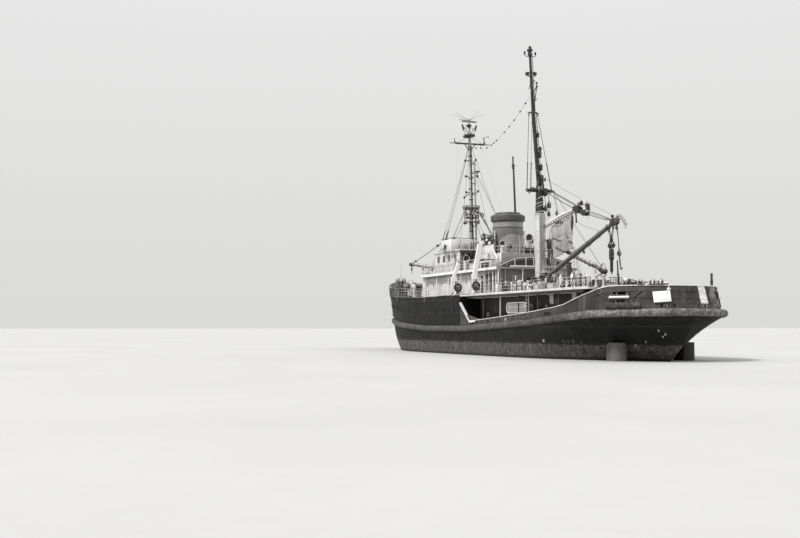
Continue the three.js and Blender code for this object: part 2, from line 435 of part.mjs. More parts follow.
// how far the mast leans to port at a height: more below its knee than above
const lean = (z) => -0.084 * (Math.min(z, KNEE_Z) - CROSS_Z) - 0.0527 * Math.max(0, z - KNEE_Z);
const M = (x, z, dy = 0) => [x + (z > CROSS_Z ? lean(z) : 0), MAST_Y + dy, z];
piece('mainmast', joined([
  rod(M(0, UPPER_Z + G), M(0, 13.8), 0.49, 0.49, 16), rod(M(0, 13.7), M(0, 16.6), 0.42, 0.3, 12),
  rod(M(0, 15.9), M(0, KNEE_Z), 0.23, 0.19, 10), rod(M(0, KNEE_Z - 0.1), M(0, TOP_Z - 0.2), 0.17, 0.11, 8),
  bar(M(-1.3, CROSS_Z), M(1.3, CROSS_Z), 0.2, 0.2), box(-0.12, 0.12, MAIN_HEEL.y - 0.12, MAST_Y, CROSS_Z - 0.1, CROSS_Z + 0.1),
  box(SIDE_HEEL.x - 0.1, SIDE_HEEL.x + 0.1, SIDE_HEEL.y - 0.1, MAST_Y + 0.1, CROSS_Z - 0.1, CROSS_Z + 0.1).translate(-0.3, 0, 0),
  ...lugs(MAIN_HEEL, [0, MAST_Y]), ...lugs(SIDE_HEEL, [0, MAST_Y]),
  bar(M(-0.38, KNEE_Z), M(0.38, KNEE_Z), 0.1, 0.1), rod(M(0, 26.73), [lean(26.73) + 0.1, MAST_Y - 0.5, 26.83], 0.06, 0.06, 6),
  bar(M(-0.55, 27.7), M(0.55, 27.7), 0.09, 0.09), bar(M(-0.2, 29.69), M(0.2, 29.69), 0.08, 0.08),
  turned([[0, 0], [0.16, 0.02], [0.17, 0.3], [0, 0.42]], 8).translate(lean(TOP_Z), MAST_Y, TOP_Z - 0.35),
]), GREY, 0.65, 0.3);

const F = (x, dy, z) => [0.13 + x - 0.02 * (z - 12), FOREMAST_Y + dy, z];
piece('foremast', joined([
  rod(F(0, 0, OPEN_Z + 0.01), F(0, 0, 24.3), 0.24, 0.15, 12), rod(F(0, 0, 24.2), F(0, 0, 26.1), 0.1, 0.08, 8),
  rod(F(-3.45, -1.1, OPEN_Z + 0.07), F(-0.6, 0, 16.15), 0.075, 0.075, 8), rod(F(3.2, -1.1, OPEN_Z + 0.07), F(0.6, 0, 16.15), 0.075, 0.075, 8),
  turned([[0, 0], [0.78, 0], [0.78, 0.08], [0, 0.08]], 12).translate(...F(0, 0, 14.5)),
  box(-0.9, 0.9, -0.45, 0.6, -0.05, 0.05).translate(...F(0, 0, 16.15)),
  bar(F(-2.35, 0, 23.3), F(2.35, 0, 23.3), 0.12, 0.12),
  turned([[0, 0], [0.5, 0], [0.5, 0.07], [0, 0.07]], 12).translate(...F(0, 0, 24.2)),
  bar(F(0, 0, 24.25), F(-0.75, 0, 25.3), 0.07, 0.07), bar(F(0, 0, 24.25), F(0.75, 0, 25.3), 0.07, 0.07),
  bar(F(-0.9, 0, 25.8), F(0.9, 0, 25.8), 0.12, 0.12),
]), WHITE, 0.65, 0.3);
piece('kingpost', joined([rod([0, KING_Y, upperZ(KING_Y) + 0.02], [0, KING_Y, 13.0], 0.3, 0.25, 14),
  box(-0.12, 0.12, KING_Y, FORE_HEEL.y + 0.12, 12.7, 12.9), ...lugs(FORE_HEEL, [0, KING_Y])]), GREY, 0.65, 0.3);
piece('aerial_pole', rod([3.34, 4.35, OPEN_Z + 0.01], [3.34 - 0.4, 4.35, 21.3], 0.12, 0.08, 8), DARK, 0.6, 0.4);

// ---------------------------------------------------------------- derrick booms
// heel: swivel line. turn: heading of the boom about it. up: elevation. len: luffing pin to head. r: radii at heel, middle and head
const LUFF = 0.3;
function derrick(tag, { heel, turn, up, len, r }, extras = () => []) {
  const slew = frameAt(heel.x, heel.y, heel.z, root, 0, turn);
  piece(`${tag}_swivel`, joined([rod([0, 0, -LUG + C], [0, 0, LUG - C], 0.13, 0.13, 12),
    box(-0.24, 0.24, 0.06, 0.14, -0.17, 0.17), box(-0.24, -0.18, 0.06, 0.44, -0.17, 0.17), box(0.18, 0.24, 0.06, 0.44, -0.17, 0.17)]), DARK, 0.6, 0.5, slew);
  const luff = frameAt(0, LUFF, 0, slew, up);
  piece(`${tag}`, joined([rod([-0.16, 0, 0], [0.16, 0, 0], 0.11, 0.11, 12), box(-0.09, 0.09, 0, 0.5, -0.1, 0.1),
    rod([0, 0.3, 0], [0, len * 0.5, 0], r[0], r[1], 12), rod([0, len * 0.5 - 0.001, 0], [0, len, 0], r[1], r[2], 12),
    ...extras(len)]), GREY, 0.65, 0.3, luff);
  return luff;
}
const MAIN_UP = rad(18.6), MAIN_LEN = 13.5;
const mainLuff = derrick('main_boom', { heel: MAIN_HEEL, turn: Math.PI, up: MAIN_UP, len: MAIN_LEN, r: [0.15, 0.245, 0.16] },
  (l) => [box(-0.24, 0.24, l - 0.45, l + 0.1, -0.22, 0.22), rod([-0.34, l - 0.2, 0], [0.34, l - 0.2, 0], 0.09, 0.09, 10)]);
// tackle that hangs under the boom and stays upright: link, spreader, long block and purchase
const HANG_AT = MAIN_LEN - 0.9;
const hang = frameAt(0, HANG_AT, 0, mainLuff, -MAIN_UP);
piece('main_hook', joined([box(-0.1, 0.1, -0.13, 0.13, -1.5, -1.2), rod([0, 0, -1.45], [0, 0, -1.7], 0.05, 0.05, 6),
  box(-0.14, 0.14, -0.4, 0.4, -1.95, -1.68), rod([0, 0, -1.9], [0, 0, -2.2], 0.05, 0.05, 6),
  box(-0.11, 0.11, -0.16, 0.16, -2.95, -2.15), rod([0, 0, -2.9], [0, 0, -4.05], 0.13, 0.12, 12)]), DARK, 0.7, 0.3, hang);
const SIDE_DOWN = Math.atan2(10.64 - 7.67, 9.35);
derrick('side_boom', { heel: SIDE_HEEL, turn: Math.PI, up: -SIDE_DOWN, len: 9.6, r: [0.13, 0.2, 0.13] },
  (l) => [box(-0.19, 0.19, l - 0.35, l + 0.08, -0.19, 0.19)]);
derrick('fore_boom', { heel: FORE_HEEL, turn: 0, up: rad(6), len: 10.6, r: [0.13, 0.2, 0.13] },
  (l) => [box(-0.19, 0.19, l - 0.35, l + 0.08, -0.19, 0.19)]);
// crutch under the stowed side boom: a saddle with a horn on its port side only
const CRUTCH_Y = -16.6, crutchZ = SIDE_HEEL.z - Math.tan(SIDE_DOWN) * (-(CRUTCH_Y) + SIDE_HEEL.y) - 0.3;
piece('boom_crutch', joined([rod([1.1, CRUTCH_Y, UPPER_Z + G], [1.1, CRUTCH_Y, crutchZ - 0.1], 0.11, 0.11, 10),
  rod([1.9, CRUTCH_Y, UPPER_Z + G], [1.9, CRUTCH_Y, crutchZ - 0.1], 0.11, 0.11, 10),
  box(0.9, 2.1, CRUTCH_Y - 0.12, CRUTCH_Y + 0.12, crutchZ - 0.2, crutchZ - 0.05), box(0.9, 1.06, CRUTCH_Y - 0.12, CRUTCH_Y + 0.12, crutchZ - 0.2, crutchZ + 0.45)]), WHITE, 0.7, 0.3);

// ---------------------------------------------------------------- davits, hinged on their feet
for (const [tag, y] of Object.entries(DAVIT_YS)) {
  for (const [name, side] of [['port', -1], ['starboard', 1]]) {
    const f = frameAt(side * 5.75, y, UPPER_Z + 0.36);
    const arm = tag === 'aft'
      ? [bar([0, 0, 0], [side * 0.12, 0, 1.65], 0.6, 0.24), bar([side * 0.12, 0, 1.5], [-side * 0.45, 0, 4.6], 0.44, 0.22),
        bar([-side * 0.42, 0, 4.45], [-side * 0.85, 0, 4.85], 0.3, 0.2)]
      : [bar([0, 0, 0], [side * 0.16, 0, 1.6], 0.56, 0.24), bar([side * 0.16, 0, 1.45], [-side * 0.38, 0, 3.05], 0.34, 0.22)];
    piece(`davit_${tag}_${name}`, joined([rod([0, -0.24, 0], [0, 0.24, 0], 0.17, 0.17, 12), ...arm]), WHITE, 0.7, 0.2, f);
  }
}

// ---------------------------------------------------------------- deck gear
const winch = (x, y, z) => [box(x - 1.0, x + 1.0, y - 0.7, y + 0.7, z + G, z + 0.14), box(x - 0.85, x - 0.72, y - 0.5, y + 0.5, z + 0.1, z + 1.0),
  box(x + 0.72, x + 0.85, y - 0.5, y + 0.5, z + 0.1, z + 1.0), rod([x - 1.15, y, z + 0.62], [x + 1.15, y, z + 0.62], 0.2, 0.2, 12),
  rod([x - 0.6, y, z + 0.62], [x - 0.5, y, z + 0.62], 0.46, 0.46, 14), rod([x + 0.5, y, z + 0.62], [x + 0.6, y, z + 0.62], 0.46, 0.46, 14),
  rod([x - 0.52, y, z + 0.62], [x + 0.52, y, z + 0.62], 0.3, 0.3, 14)];
piece('cargo_winch_port', joined(winch(-2.3, -11.4, UPPER_Z)), DARK, 0.7, 0.4);
piece('cargo_winch_starboard', joined(winch(2.3, -11.4, UPPER_Z)), DARK, 0.7, 0.4);
piece('windlass', joined([...winch(0, 26.0, upperZ(26.7) + 0.03)]), DARK, 0.7, 0.4);
const capZ = mainZ(-29.6) + 0.02;
piece('capstan', turned([[0, capZ], [0.62, capZ], [0.62, capZ + 0.12], [0.4, capZ + 0.2], [0.28, capZ + 0.55], [0.42, capZ + 0.85], [0.42, capZ + 0.98], [0, capZ + 1.02]], 16)
  .translate(0, -29.6, 0), DARK, 0.7, 0.4);
// hose reel in the port side passage
const reelY = -14.5, reelZ = mainZ(reelY) + 1.15;
piece('hose_reel', joined([rod([-5.7, reelY, reelZ], [-4.45, reelY, reelZ], 0.26, 0.26, 12), rod([-5.7, reelY, reelZ], [-5.63, reelY, reelZ], 0.46, 0.46, 16),
  rod([-4.52, reelY, reelZ], [-4.45, reelY, reelZ], 0.46, 0.46, 16), box(-5.58, -5.5, reelY - 0.1, reelY + 0.1, reelZ - 1.13, reelZ),
  box(-4.7, -4.62, reelY - 0.1, reelY + 0.1, reelZ - 1.13, reelZ)]), WHITE, 0.7, 0.2);
// fore hatch with a cover hinged along its starboard side
const HATCH = { y0: 19.3, y1: 22.3, w: 0.85 };
const hz = upperZ(HATCH.y1) + 0.02, hatchTop = hz + 0.62;
piece('hatch_coaming', walls(rect(HATCH), () => hz, hatchTop, 0.1), DARK, 0.8, 0.2);
const cover = frameAt(HATCH.w + 0.06, (HATCH.y0 + HATCH.y1) / 2, hatchTop + C);
piece('hatch_cover', joined([box(-2 * HATCH.w - 0.12, 0, -1.56, 1.56, 0, 0.12)]), GREY, 0.75, 0.2, cover);
// bow bulwark and anchors
const bowPath = [...sidePath(18.5, 32.3, -1, flaredBeam), ...sidePath(32.3, 18.5, 1, flaredBeam)].map(([x, y]) => [x, y]);
piece('bow_bulwark', sideBand(bowPath.map(([x, y]) => [x, y]).reverse(), (y) => {
  const z0 = upperZ(y) + G, z1 = upperZ(y) + 1.0;
  const k = Math.min(PLATE, 0.08);
  return [[0.03, z0], [0.03, z1], [0.03 + k, z1], [0.03 + k, z0]];
}), HULL, 0.85, 0.1);
// blank board hung on the port side of the stern bulwark
const boardAt = sternPoint(73.2, 0.36), boardA = sternPoint(66, 0.36), boardB = sternPoint(80, 0.36);
const boardTurn = Math.atan2(boardB.y - boardA.y, boardA.b - boardB.b);
const board = frameAt(-boardAt.b, boardAt.y - 0.02, 5.05, root, 0, boardTurn);
const boardTilt = new THREE.Group();
boardTilt.rotation.set(rad(-12), rad(-4), 0);
board.add(boardTilt);
piece('sign_board', box(-0.68, 0.68, -0.03, 0.03, -0.43, 0.43), WHITE, 0.7, 0, boardTilt);
piece('stern_pole', rod([3.34, -30.67, mainZ(-31) + 0.02], [3.34, -30.67, 6.95], 0.06, 0.04, 8), WHITE, 0.6, 0.2);

export default root;
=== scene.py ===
"""Looks of a laid-up salvage ship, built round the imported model.

Every size in this script is in metres of the full-size ship, and S turns it into the model's own metres.
+Y is the bow, +X is starboard, +Z is up, and the waterline is z = 0.
"""
import math
import random

import bmesh
import bpy
import numpy as np
from mathutils import Matrix, Quaternion, Vector


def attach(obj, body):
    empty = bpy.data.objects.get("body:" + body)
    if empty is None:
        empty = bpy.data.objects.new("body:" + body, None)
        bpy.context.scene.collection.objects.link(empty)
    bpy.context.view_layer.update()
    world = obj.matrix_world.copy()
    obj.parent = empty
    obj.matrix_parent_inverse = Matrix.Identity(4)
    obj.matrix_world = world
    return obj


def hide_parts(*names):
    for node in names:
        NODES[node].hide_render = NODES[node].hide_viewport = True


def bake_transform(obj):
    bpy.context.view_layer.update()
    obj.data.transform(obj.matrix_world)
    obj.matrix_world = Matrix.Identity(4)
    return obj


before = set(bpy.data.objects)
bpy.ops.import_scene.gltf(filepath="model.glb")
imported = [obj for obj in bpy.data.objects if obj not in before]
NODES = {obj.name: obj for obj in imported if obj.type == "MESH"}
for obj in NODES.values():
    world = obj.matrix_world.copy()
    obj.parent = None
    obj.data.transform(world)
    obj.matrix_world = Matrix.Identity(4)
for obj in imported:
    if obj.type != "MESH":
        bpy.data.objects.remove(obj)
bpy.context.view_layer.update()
S = 0.5
for stray in ("Cube", "Light", "Camera"):
    if stray in bpy.data.objects:
        bpy.data.objects.remove(bpy.data.objects[stray])


# ------------------------------------------------------------------ the ship's lines, as in the model
DRAFT, BEAM = 3.4, 6.55
STERN_Y, STERN_L, STERN_B, STERN_E = -24.0, 8.55, 6.45, 2.3
BOW_Y, BOW_L, STEM_Y, RAKE, STRAKE, PLATE = 8.0, 24.4, 32.3, 0.27, 0.55, 0.09
BREAK_Y, WELL_Y, UPPER_Z, BRIDGE_Z, OPEN_Z, OPEN_TOP, SLAB = -3.0, -27.6, 5.9, 8.55, 11.05, 12.1, 0.15
MAST_Y, FOREMAST_Y, KING_Y, FUNNEL_Y, FUNNEL_R = -7.65, 9.15, 16.3, -0.45, 1.575
CROSS_Z, KNEE_Z, TOP_Z = 16.06, 23.77, 30.31
# y station, height of the bottom, fullness
SECTIONS = [(-32.6, 2.7, 0.95), (-31.6, 1.25, 0.88), (-30.0, 0.1, 0.84), (-28.0, -1.1, 0.86), (-25.5, -2.1, 1.1), (-22.0, -2.95, 1.5),
            (-17.0, -3.4, 2.2), (-10.0, -3.4, 3.3), (0.0, -3.4, 4.0), (8.0, -3.4, 3.7), (15.0, -3.4, 2.5), (22.0, -3.4, 1.7),
            (28.0, -3.3, 1.25), (32.3, -3.0, 1.05)]
# y station, height
MAIN_SHEER = [(-32.6, 4.15), (-28, 4.05), (-18.3, 3.4), (-4.5, 2.85), (6, 2.85), (16, 3.3), (32.3, 4.6)]
UPPER_SHEER = [(-28, UPPER_Z), (8, UPPER_Z), (20, 6.3), (32.3, 7.6)]
BULWARK_TOP = [(WELL_Y, 5.45), (-25.6, 4.95), (-24.0, 4.52), (-22.2, 4.3), (-18.2, 3.98), (-12.6, 3.63), (-5.4, 3.25), (BREAK_Y, 5.1)]
STERN_TOP = [(-29.4, 5.9), (-28.6, 5.75), (WELL_Y, 5.45)]


def row(table, y, k=1):
    """Value of column k at station y."""
    return float(np.interp(y, [r[0] for r in table], [r[k] for r in table]))


def smooth(x, a, b):
    t = min(1.0, max(0.0, (x - a) / (b - a)))
    return t * t * (3 - 2 * t)


def main_z(y):
    return row(MAIN_SHEER, y)


def upper_z(y):
    return row(UPPER_SHEER, y)


def forward(y):
    return smooth(y, 12, STEM_Y)


def half_beam(y):
    if y > BOW_Y:
        return max(0.2, BEAM * (1 - ((y - BOW_Y) / BOW_L) ** 2.3))
    if y > -16:
        return BEAM
    if y > STERN_Y:
        return STERN_B + (BEAM - STERN_B) * (y - STERN_Y) / 8
    t = min(1.0, (STERN_Y - y) / STERN_L)
    return STERN_B * max(0.0, 1 - t ** STERN_E) ** (1 / STERN_E)


def flared_beam(y):
    return half_beam(y) * (1 + 0.16 * forward(y))


def raked(y, z):
    return y - RAKE * (7.6 - z) * forward(y)


def stern_point(a, inset=0.0):
    """(half breadth, y) of the rounded stern at an angle in degrees from its widest place."""
    a = math.radians(a)
    return ((STERN_B - inset) * max(0.0, math.cos(a)) ** (2 / STERN_E), STERN_Y - (STERN_L - inset) * max(0.0, math.sin(a)) ** (2 / STERN_E))


def edge_inset(y):
    return 0.03 + 0.22 * (1 - smooth(y, -27, -19))


def tumble(y):
    return 0.38 * (1 - smooth(y, -30.5, WELL_Y))


def side_path(y0, y1, side, beam=half_beam, step=0.5):
    """Plan points of the ship's side from y0 to y1."""
    n = max(2, int(abs(y1 - y0) / step) + 1)
    return [(side * beam(y), y) for y in np.linspace(y0, y1, n)]


def stern_path(y0, step=3.0):
    """Plan points round the stern, from y0 on the port side to y0 on the starboard side."""
    half = [stern_point(a) for a in np.arange(2.0, 84.01, step)]
    half = [(b, y) for b, y in half if y < y0 - 0.15]
    return [(-half_beam(y0), y0)] + [(-b, y) for b, y in half] + [(b, y) for b, y in half[::-1]] + [(half_beam(y0), y0)]


def lean(z):
    return -0.084 * (min(z, KNEE_Z) - CROSS_Z) - 0.0527 * max(0.0, z - KNEE_Z)


def on_mast(x, z, dy=0.0):
    return (x + (lean(z) if z > CROSS_Z else 0.0), MAST_Y + dy, z)


def on_foremast(x, dy, z):
    return (0.13 + x - 0.02 * (z - 12), FOREMAST_Y + dy, z)


# ------------------------------------------------------------------ mesh making
def unit(v):
    v = np.asarray(v, float)
    return v / max(1e-12, np.linalg.norm(v))


def basis(axis, up=(0, 0, 1)):
    """Three unit vectors: two across the axis, and the axis."""
    w = unit(axis)
    u = np.cross(up, w)
    if np.linalg.norm(u) < 1e-4:
        u = np.cross((0, 1, 0), w)
    u = unit(u)
    return u, np.cross(w, u), w


def _box_topology():
    corners = [(sx, sy, sz) for sx in (-1, 1) for sy in (-1, 1) for sz in (-1, 1)]
    index = {c: i for i, c in enumerate(corners)}
    faces = []
    for ax in range(3):
        a, b = [k for k in range(3) if k != ax]
        for s in (-1, 1):
            loop = []
            for p, q in ((-1, -1), (1, -1), (1, 1), (-1, 1)):
                c = [0, 0, 0]
                c[ax], c[a], c[b] = s, p, q
                loop.append(index[tuple(c)] * 3 + ax)
            faces.append(loop)
        for p in (-1, 1):
            for q in (-1, 1):
                c0, c1 = [0, 0, 0], [0, 0, 0]
                c0[a], c0[b], c0[ax] = p, q, -1
                c1[a], c1[b], c1[ax] = p, q, 1
                i0, i1 = index[tuple(c0)] * 3, index[tuple(c1)] * 3
                faces.append([i0 + a, i0 + b, i1 + b, i1 + a])
    for i in range(8):
        faces.append([i * 3, i * 3 + 1, i * 3 + 2])
    return corners, faces


BOX_CORNERS, BOX_FACES = _box_topology()


class Kit:
    """Collects the faces of one visible piece, in metres of the full-size ship."""

    def __init__(self):
        self.v, self.f, self.m, self.n = [], [], [], 0

    def add(self, verts, faces, mat):
        verts = np.asarray(verts, float).reshape(-1, 3)
        self.v.append(verts)
        n = self.n
        self.f.extend([[i + n for i in f] for f in faces])
        self.m.extend([mat] * len(faces))
        self.n += len(verts)
        return self

    def box(self, c, size, mat, turn=None, bevel=0.02):
        """Box with chamfered edges. turn: 3x3 rotation, or an angle in degrees about the upright axis."""
        h = np.asarray(size, float) / 2
        b = min(bevel, 0.45 * float(h.min()) * 2)
        b = min(b, float(h.min()) * 0.9)
        out = []
        for sx, sy, sz in BOX_CORNERS:
            s = np.array([sx, sy, sz], float)
            for ax in range(3):
                p = s * (h - b)
                p[ax] = s[ax] * h[ax]
                out.append(p)
        out = np.array(out)
        if turn is not None:
            out = out @ (rot_z(turn) if np.isscalar(turn) else np.asarray(turn, float)).T
        return self.add(out + np.asarray(c, float), BOX_FACES, mat)

    def bar(self, a, b, w, t, mat, up=(0, 0, 1), bevel=0.015):
        """Flat bar between two points. w: across, t: along up."""
        a, b = np.asarray(a, float), np.asarray(b, float)
        u, v, d = basis(b - a, up)
        return self.box((a + b) / 2, (w, t, float(np.linalg.norm(b - a))), mat, np.array([u, v, d]).T, bevel)

    def tube(self, path, r, mat, n=6, caps=True, closed=False):
        """Round bar along a path. r: one radius, or one for each point."""
        p = np.asarray(path, float)
        m = len(p)
        rr = np.full(m, float(r)) if np.isscalar(r) else np.asarray(r, float)
        t = np.zeros_like(p)
        if closed:
            t = np.roll(p, -1, 0) - np.roll(p, 1, 0)
        else:
            t[1:-1] = p[2:] - p[:-2]
            t[0], t[-1] = p[1] - p[0], p[-1] - p[-2]
        t /= np.maximum(1e-12, np.linalg.norm(t, axis=1))[:, None]
        u, v, _ = basis(t[0])
        us = [u]
        for i in range(1, m):
            u = us[-1] - np.dot(us[-1], t[i]) * t[i]
            us.append(unit(u))
        ang = np.arange(n) * 2 * math.pi / n
        out = []
        for i in range(m):
            u = us[i]
            v = np.cross(t[i], u)
            out.append(p[i] + rr[i] * (np.cos(ang)[:, None] * u + np.sin(ang)[:, None] * v))
        faces = []
        for i in range(m if closed else m - 1):
            k = (i + 1) % m
            for j in range(n):
                q = (j + 1) % n
                faces.append([i * n + j, i * n + q, k * n + q, k * n + j])
        if caps and not closed:
            faces.append(list(range(n))[::-1])
            faces.append([(m - 1) * n + j for j in range(n)])
        return self.add(np.concatenate(out), faces, mat)

    def rod(self, a, b, r, mat, n=8, r1=None):
        return self.tube([a, b], [r, r if r1 is None else r1], mat, n)

    def ring(self, c, axis, R, r, mat, n=16, k=6, arc=None):
        """Round ring, or an arc of it in degrees."""
        u, v, _ = basis(axis)
        a0, a1 = (0, 360) if arc is None else arc
        ang = np.radians(np.linspace(a0, a1, n + (arc is not None), endpoint=arc is not None))
        pts = [np.asarray(c, float) + R * (math.cos(a) * u + math.sin(a) * v) for a in ang]
        return self.tube(pts, r, mat, k, closed=arc is None)

    def lathe(self, c, axis, profile, mat, n=12, closed=False):
        """Turned shape. profile: (radius, height along the axis) pairs, on the axis at both ends unless closed."""
        u, v, w = basis(axis)
        c = np.asarray(c, float)
        ang = np.arange(n) * 2 * math.pi / n
        out, idx, faces = [], [], []
        k = 0
        for r, h in profile:
            if r < 1e-6:
                out.append((c + w * h)[None])
                idx.append([k] * n)
                k += 1
            else:
                out.append(c + w * h + r * (np.cos(ang)[:, None] * u + np.sin(ang)[:, None] * v))
                idx.append(list(range(k, k + n)))
                k += n
        rows = list(zip(idx[:-1], idx[1:])) + ([(idx[-1], idx[0])] if closed else [])
        for a, b in rows:
            for j in range(n):
                q = (j + 1) % n
                f = [a[j], a[q], b[q], b[j]]
                f = [x for i, x in enumerate(f) if x not in f[:i]]
                if len(f) > 2:
                    faces.append(f)
        return self.add(np.concatenate(out), faces, mat)

    def ball(self, c, r, mat, n=10, squash=1.0, axis=(0, 0, 1)):
        m = max(4, n // 2)
        prof = [(r * math.sin(math.pi * i / m), -r * squash * math.cos(math.pi * i / m)) for i in range(m + 1)]
        prof[0], prof[-1] = (0, prof[0][1]), (0, prof[-1][1])
        return self.lathe(c, axis, prof, mat, n)

    def prism(self, outline, z0, z1, mat, frame_=None):
        """Plate with a plan outline between two heights, or in a frame (origin, u, v, w)."""
        o = np.asarray(outline, float)
        n = len(o)
        if frame_ is None:
            lo = np.column_stack([o, np.full(n, z0)])
            hi = np.column_stack([o, np.full(n, z1)])
        else:
            org, u, v, w = [np.asarray(x, float) for x in frame_]
            lo = org + o[:, :1] * u + o[:, 1:] * v + z0 * w
            hi = org + o[:, :1] * u + o[:, 1:] * v + z1 * w
        faces = [[j, (j + 1) % n, n + (j + 1) % n, n + j] for j in range(n)]
        faces += [list(range(n))[::-1], [n + j for j in range(n)]]
        return self.add(np.concatenate([lo, hi]), faces, mat)

    def band(self, path, section, mat, closed=False):
        """A rail or wall that follows the ship's side. section(y, x): [inset, z] corners."""
        rings = []
        last = len(path) - 1
        for i, (x, y) in enumerate(path):
            p, q = path[max(0, i - 1)], path[min(last, i + 1)]
            nx, ny = -(q[1] - p[1]), q[0] - p[0]
            l = math.hypot(nx, ny)
            nx, ny = nx / l, ny / l
            rings.append([(x + nx * e, raked(y, z) + ny * e, z) for e, z in section(y, x)])
        n = len(rings[0])
        faces = []
        for i in range(last):
            for j in range(n):
                q = (j + 1) % n
                faces.append([i * n + j, i * n + q, (i + 1) * n + q, (i + 1) * n + j])
        faces.append(list(range(n))[::-1])
        faces.append([last * n + j for j in range(n)])
        return self.add(np.array(rings).reshape(-1, 3), faces, mat)

    def mirrored(self, other):
        k = self.n
        for v in other.v:
            self.v.append(v * np.array([-1, 1, 1.0]))
        self.n += other.n
        self.f.extend([[i + k for i in f][::-1] for f in other.f])
        self.m.extend(other.m)
        return self

    def both(self):
        """The same again on the other side."""
        twin = Kit()
        twin.v, twin.f, twin.m, twin.n = [v.copy() for v in self.v], list(self.f), list(self.m), self.n
        return self.mirrored(twin)

    def make(self, name, body="ship", sharp=38, replaces=(), fix=True):
        mesh = bpy.data.meshes.new(name)
        mesh.from_pydata((np.concatenate(self.v) * S).tolist(), [], self.f)
        names = list(dict.fromkeys(self.m))
        for m in names:
            mesh.materials.append(MATS[m])
        index = {m: i for i, m in enumerate(names)}
        mesh.polygons.foreach_set("material_index", [index[m] for m in self.m])
        mesh.polygons.foreach_set("use_smooth", [True] * len(mesh.polygons))
        if fix:
            bm = bmesh.new()
            bm.from_mesh(mesh)
            bmesh.ops.recalc_face_normals(bm, faces=bm.faces)
            bm.to_mesh(mesh)
            bm.free()
        mesh.update()
        mesh.set_sharp_from_angle(angle=math.radians(sharp))
        obj = bpy.data.objects.new(name, mesh)
        bpy.context.scene.collection.objects.link(obj)
        if body:
            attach(obj, body)
        if replaces:
            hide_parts(*replaces)
        COUNTS[name] = sum(len(f) - 2 for f in self.f)
        return obj


COUNTS = {}


def rot_z(deg):
    a = math.radians(deg)
    return np.array([[math.cos(a), -math.sin(a), 0], [math.sin(a), math.cos(a), 0], [0, 0, 1.0]])


def rot_x(deg):
    a = math.radians(deg)
    return np.array([[1, 0, 0], [0, math.cos(a), -math.sin(a)], [0, math.sin(a), math.cos(a)]])


def sag(a, b, drop, n=16):
    """Points of a line between a and b that hangs by drop in the middle."""
    a, b = np.asarray(a, float), np.asarray(b, float)
    t = np.linspace(0, 1, n)[:, None]
    p = a + (b - a) * t
    p[:, 2] -= (4 * drop * t * (1 - t))[:, 0]
    return p


def curve(points, n=6):
    """Smooth path through the points."""
    p = np.asarray(points, float)
    q = np.vstack([2 * p[0] - p[1], p, 2 * p[-1] - p[-2]])
    out = []
    for i in range(1, len(q) - 2):
        for t in np.linspace(0, 1, n, endpoint=False):
            a, b, c, d = q[i - 1], q[i], q[i + 1], q[i + 2]
            out.append(0.5 * (2 * b + (c - a) * t + (2 * a - 5 * b + 4 * c - d) * t * t + (3 * b - a - 3 * c + d) * t ** 3))
    out.append(p[-1])
    return np.array(out)


# ------------------------------------------------------------------ materials
MATS = {}


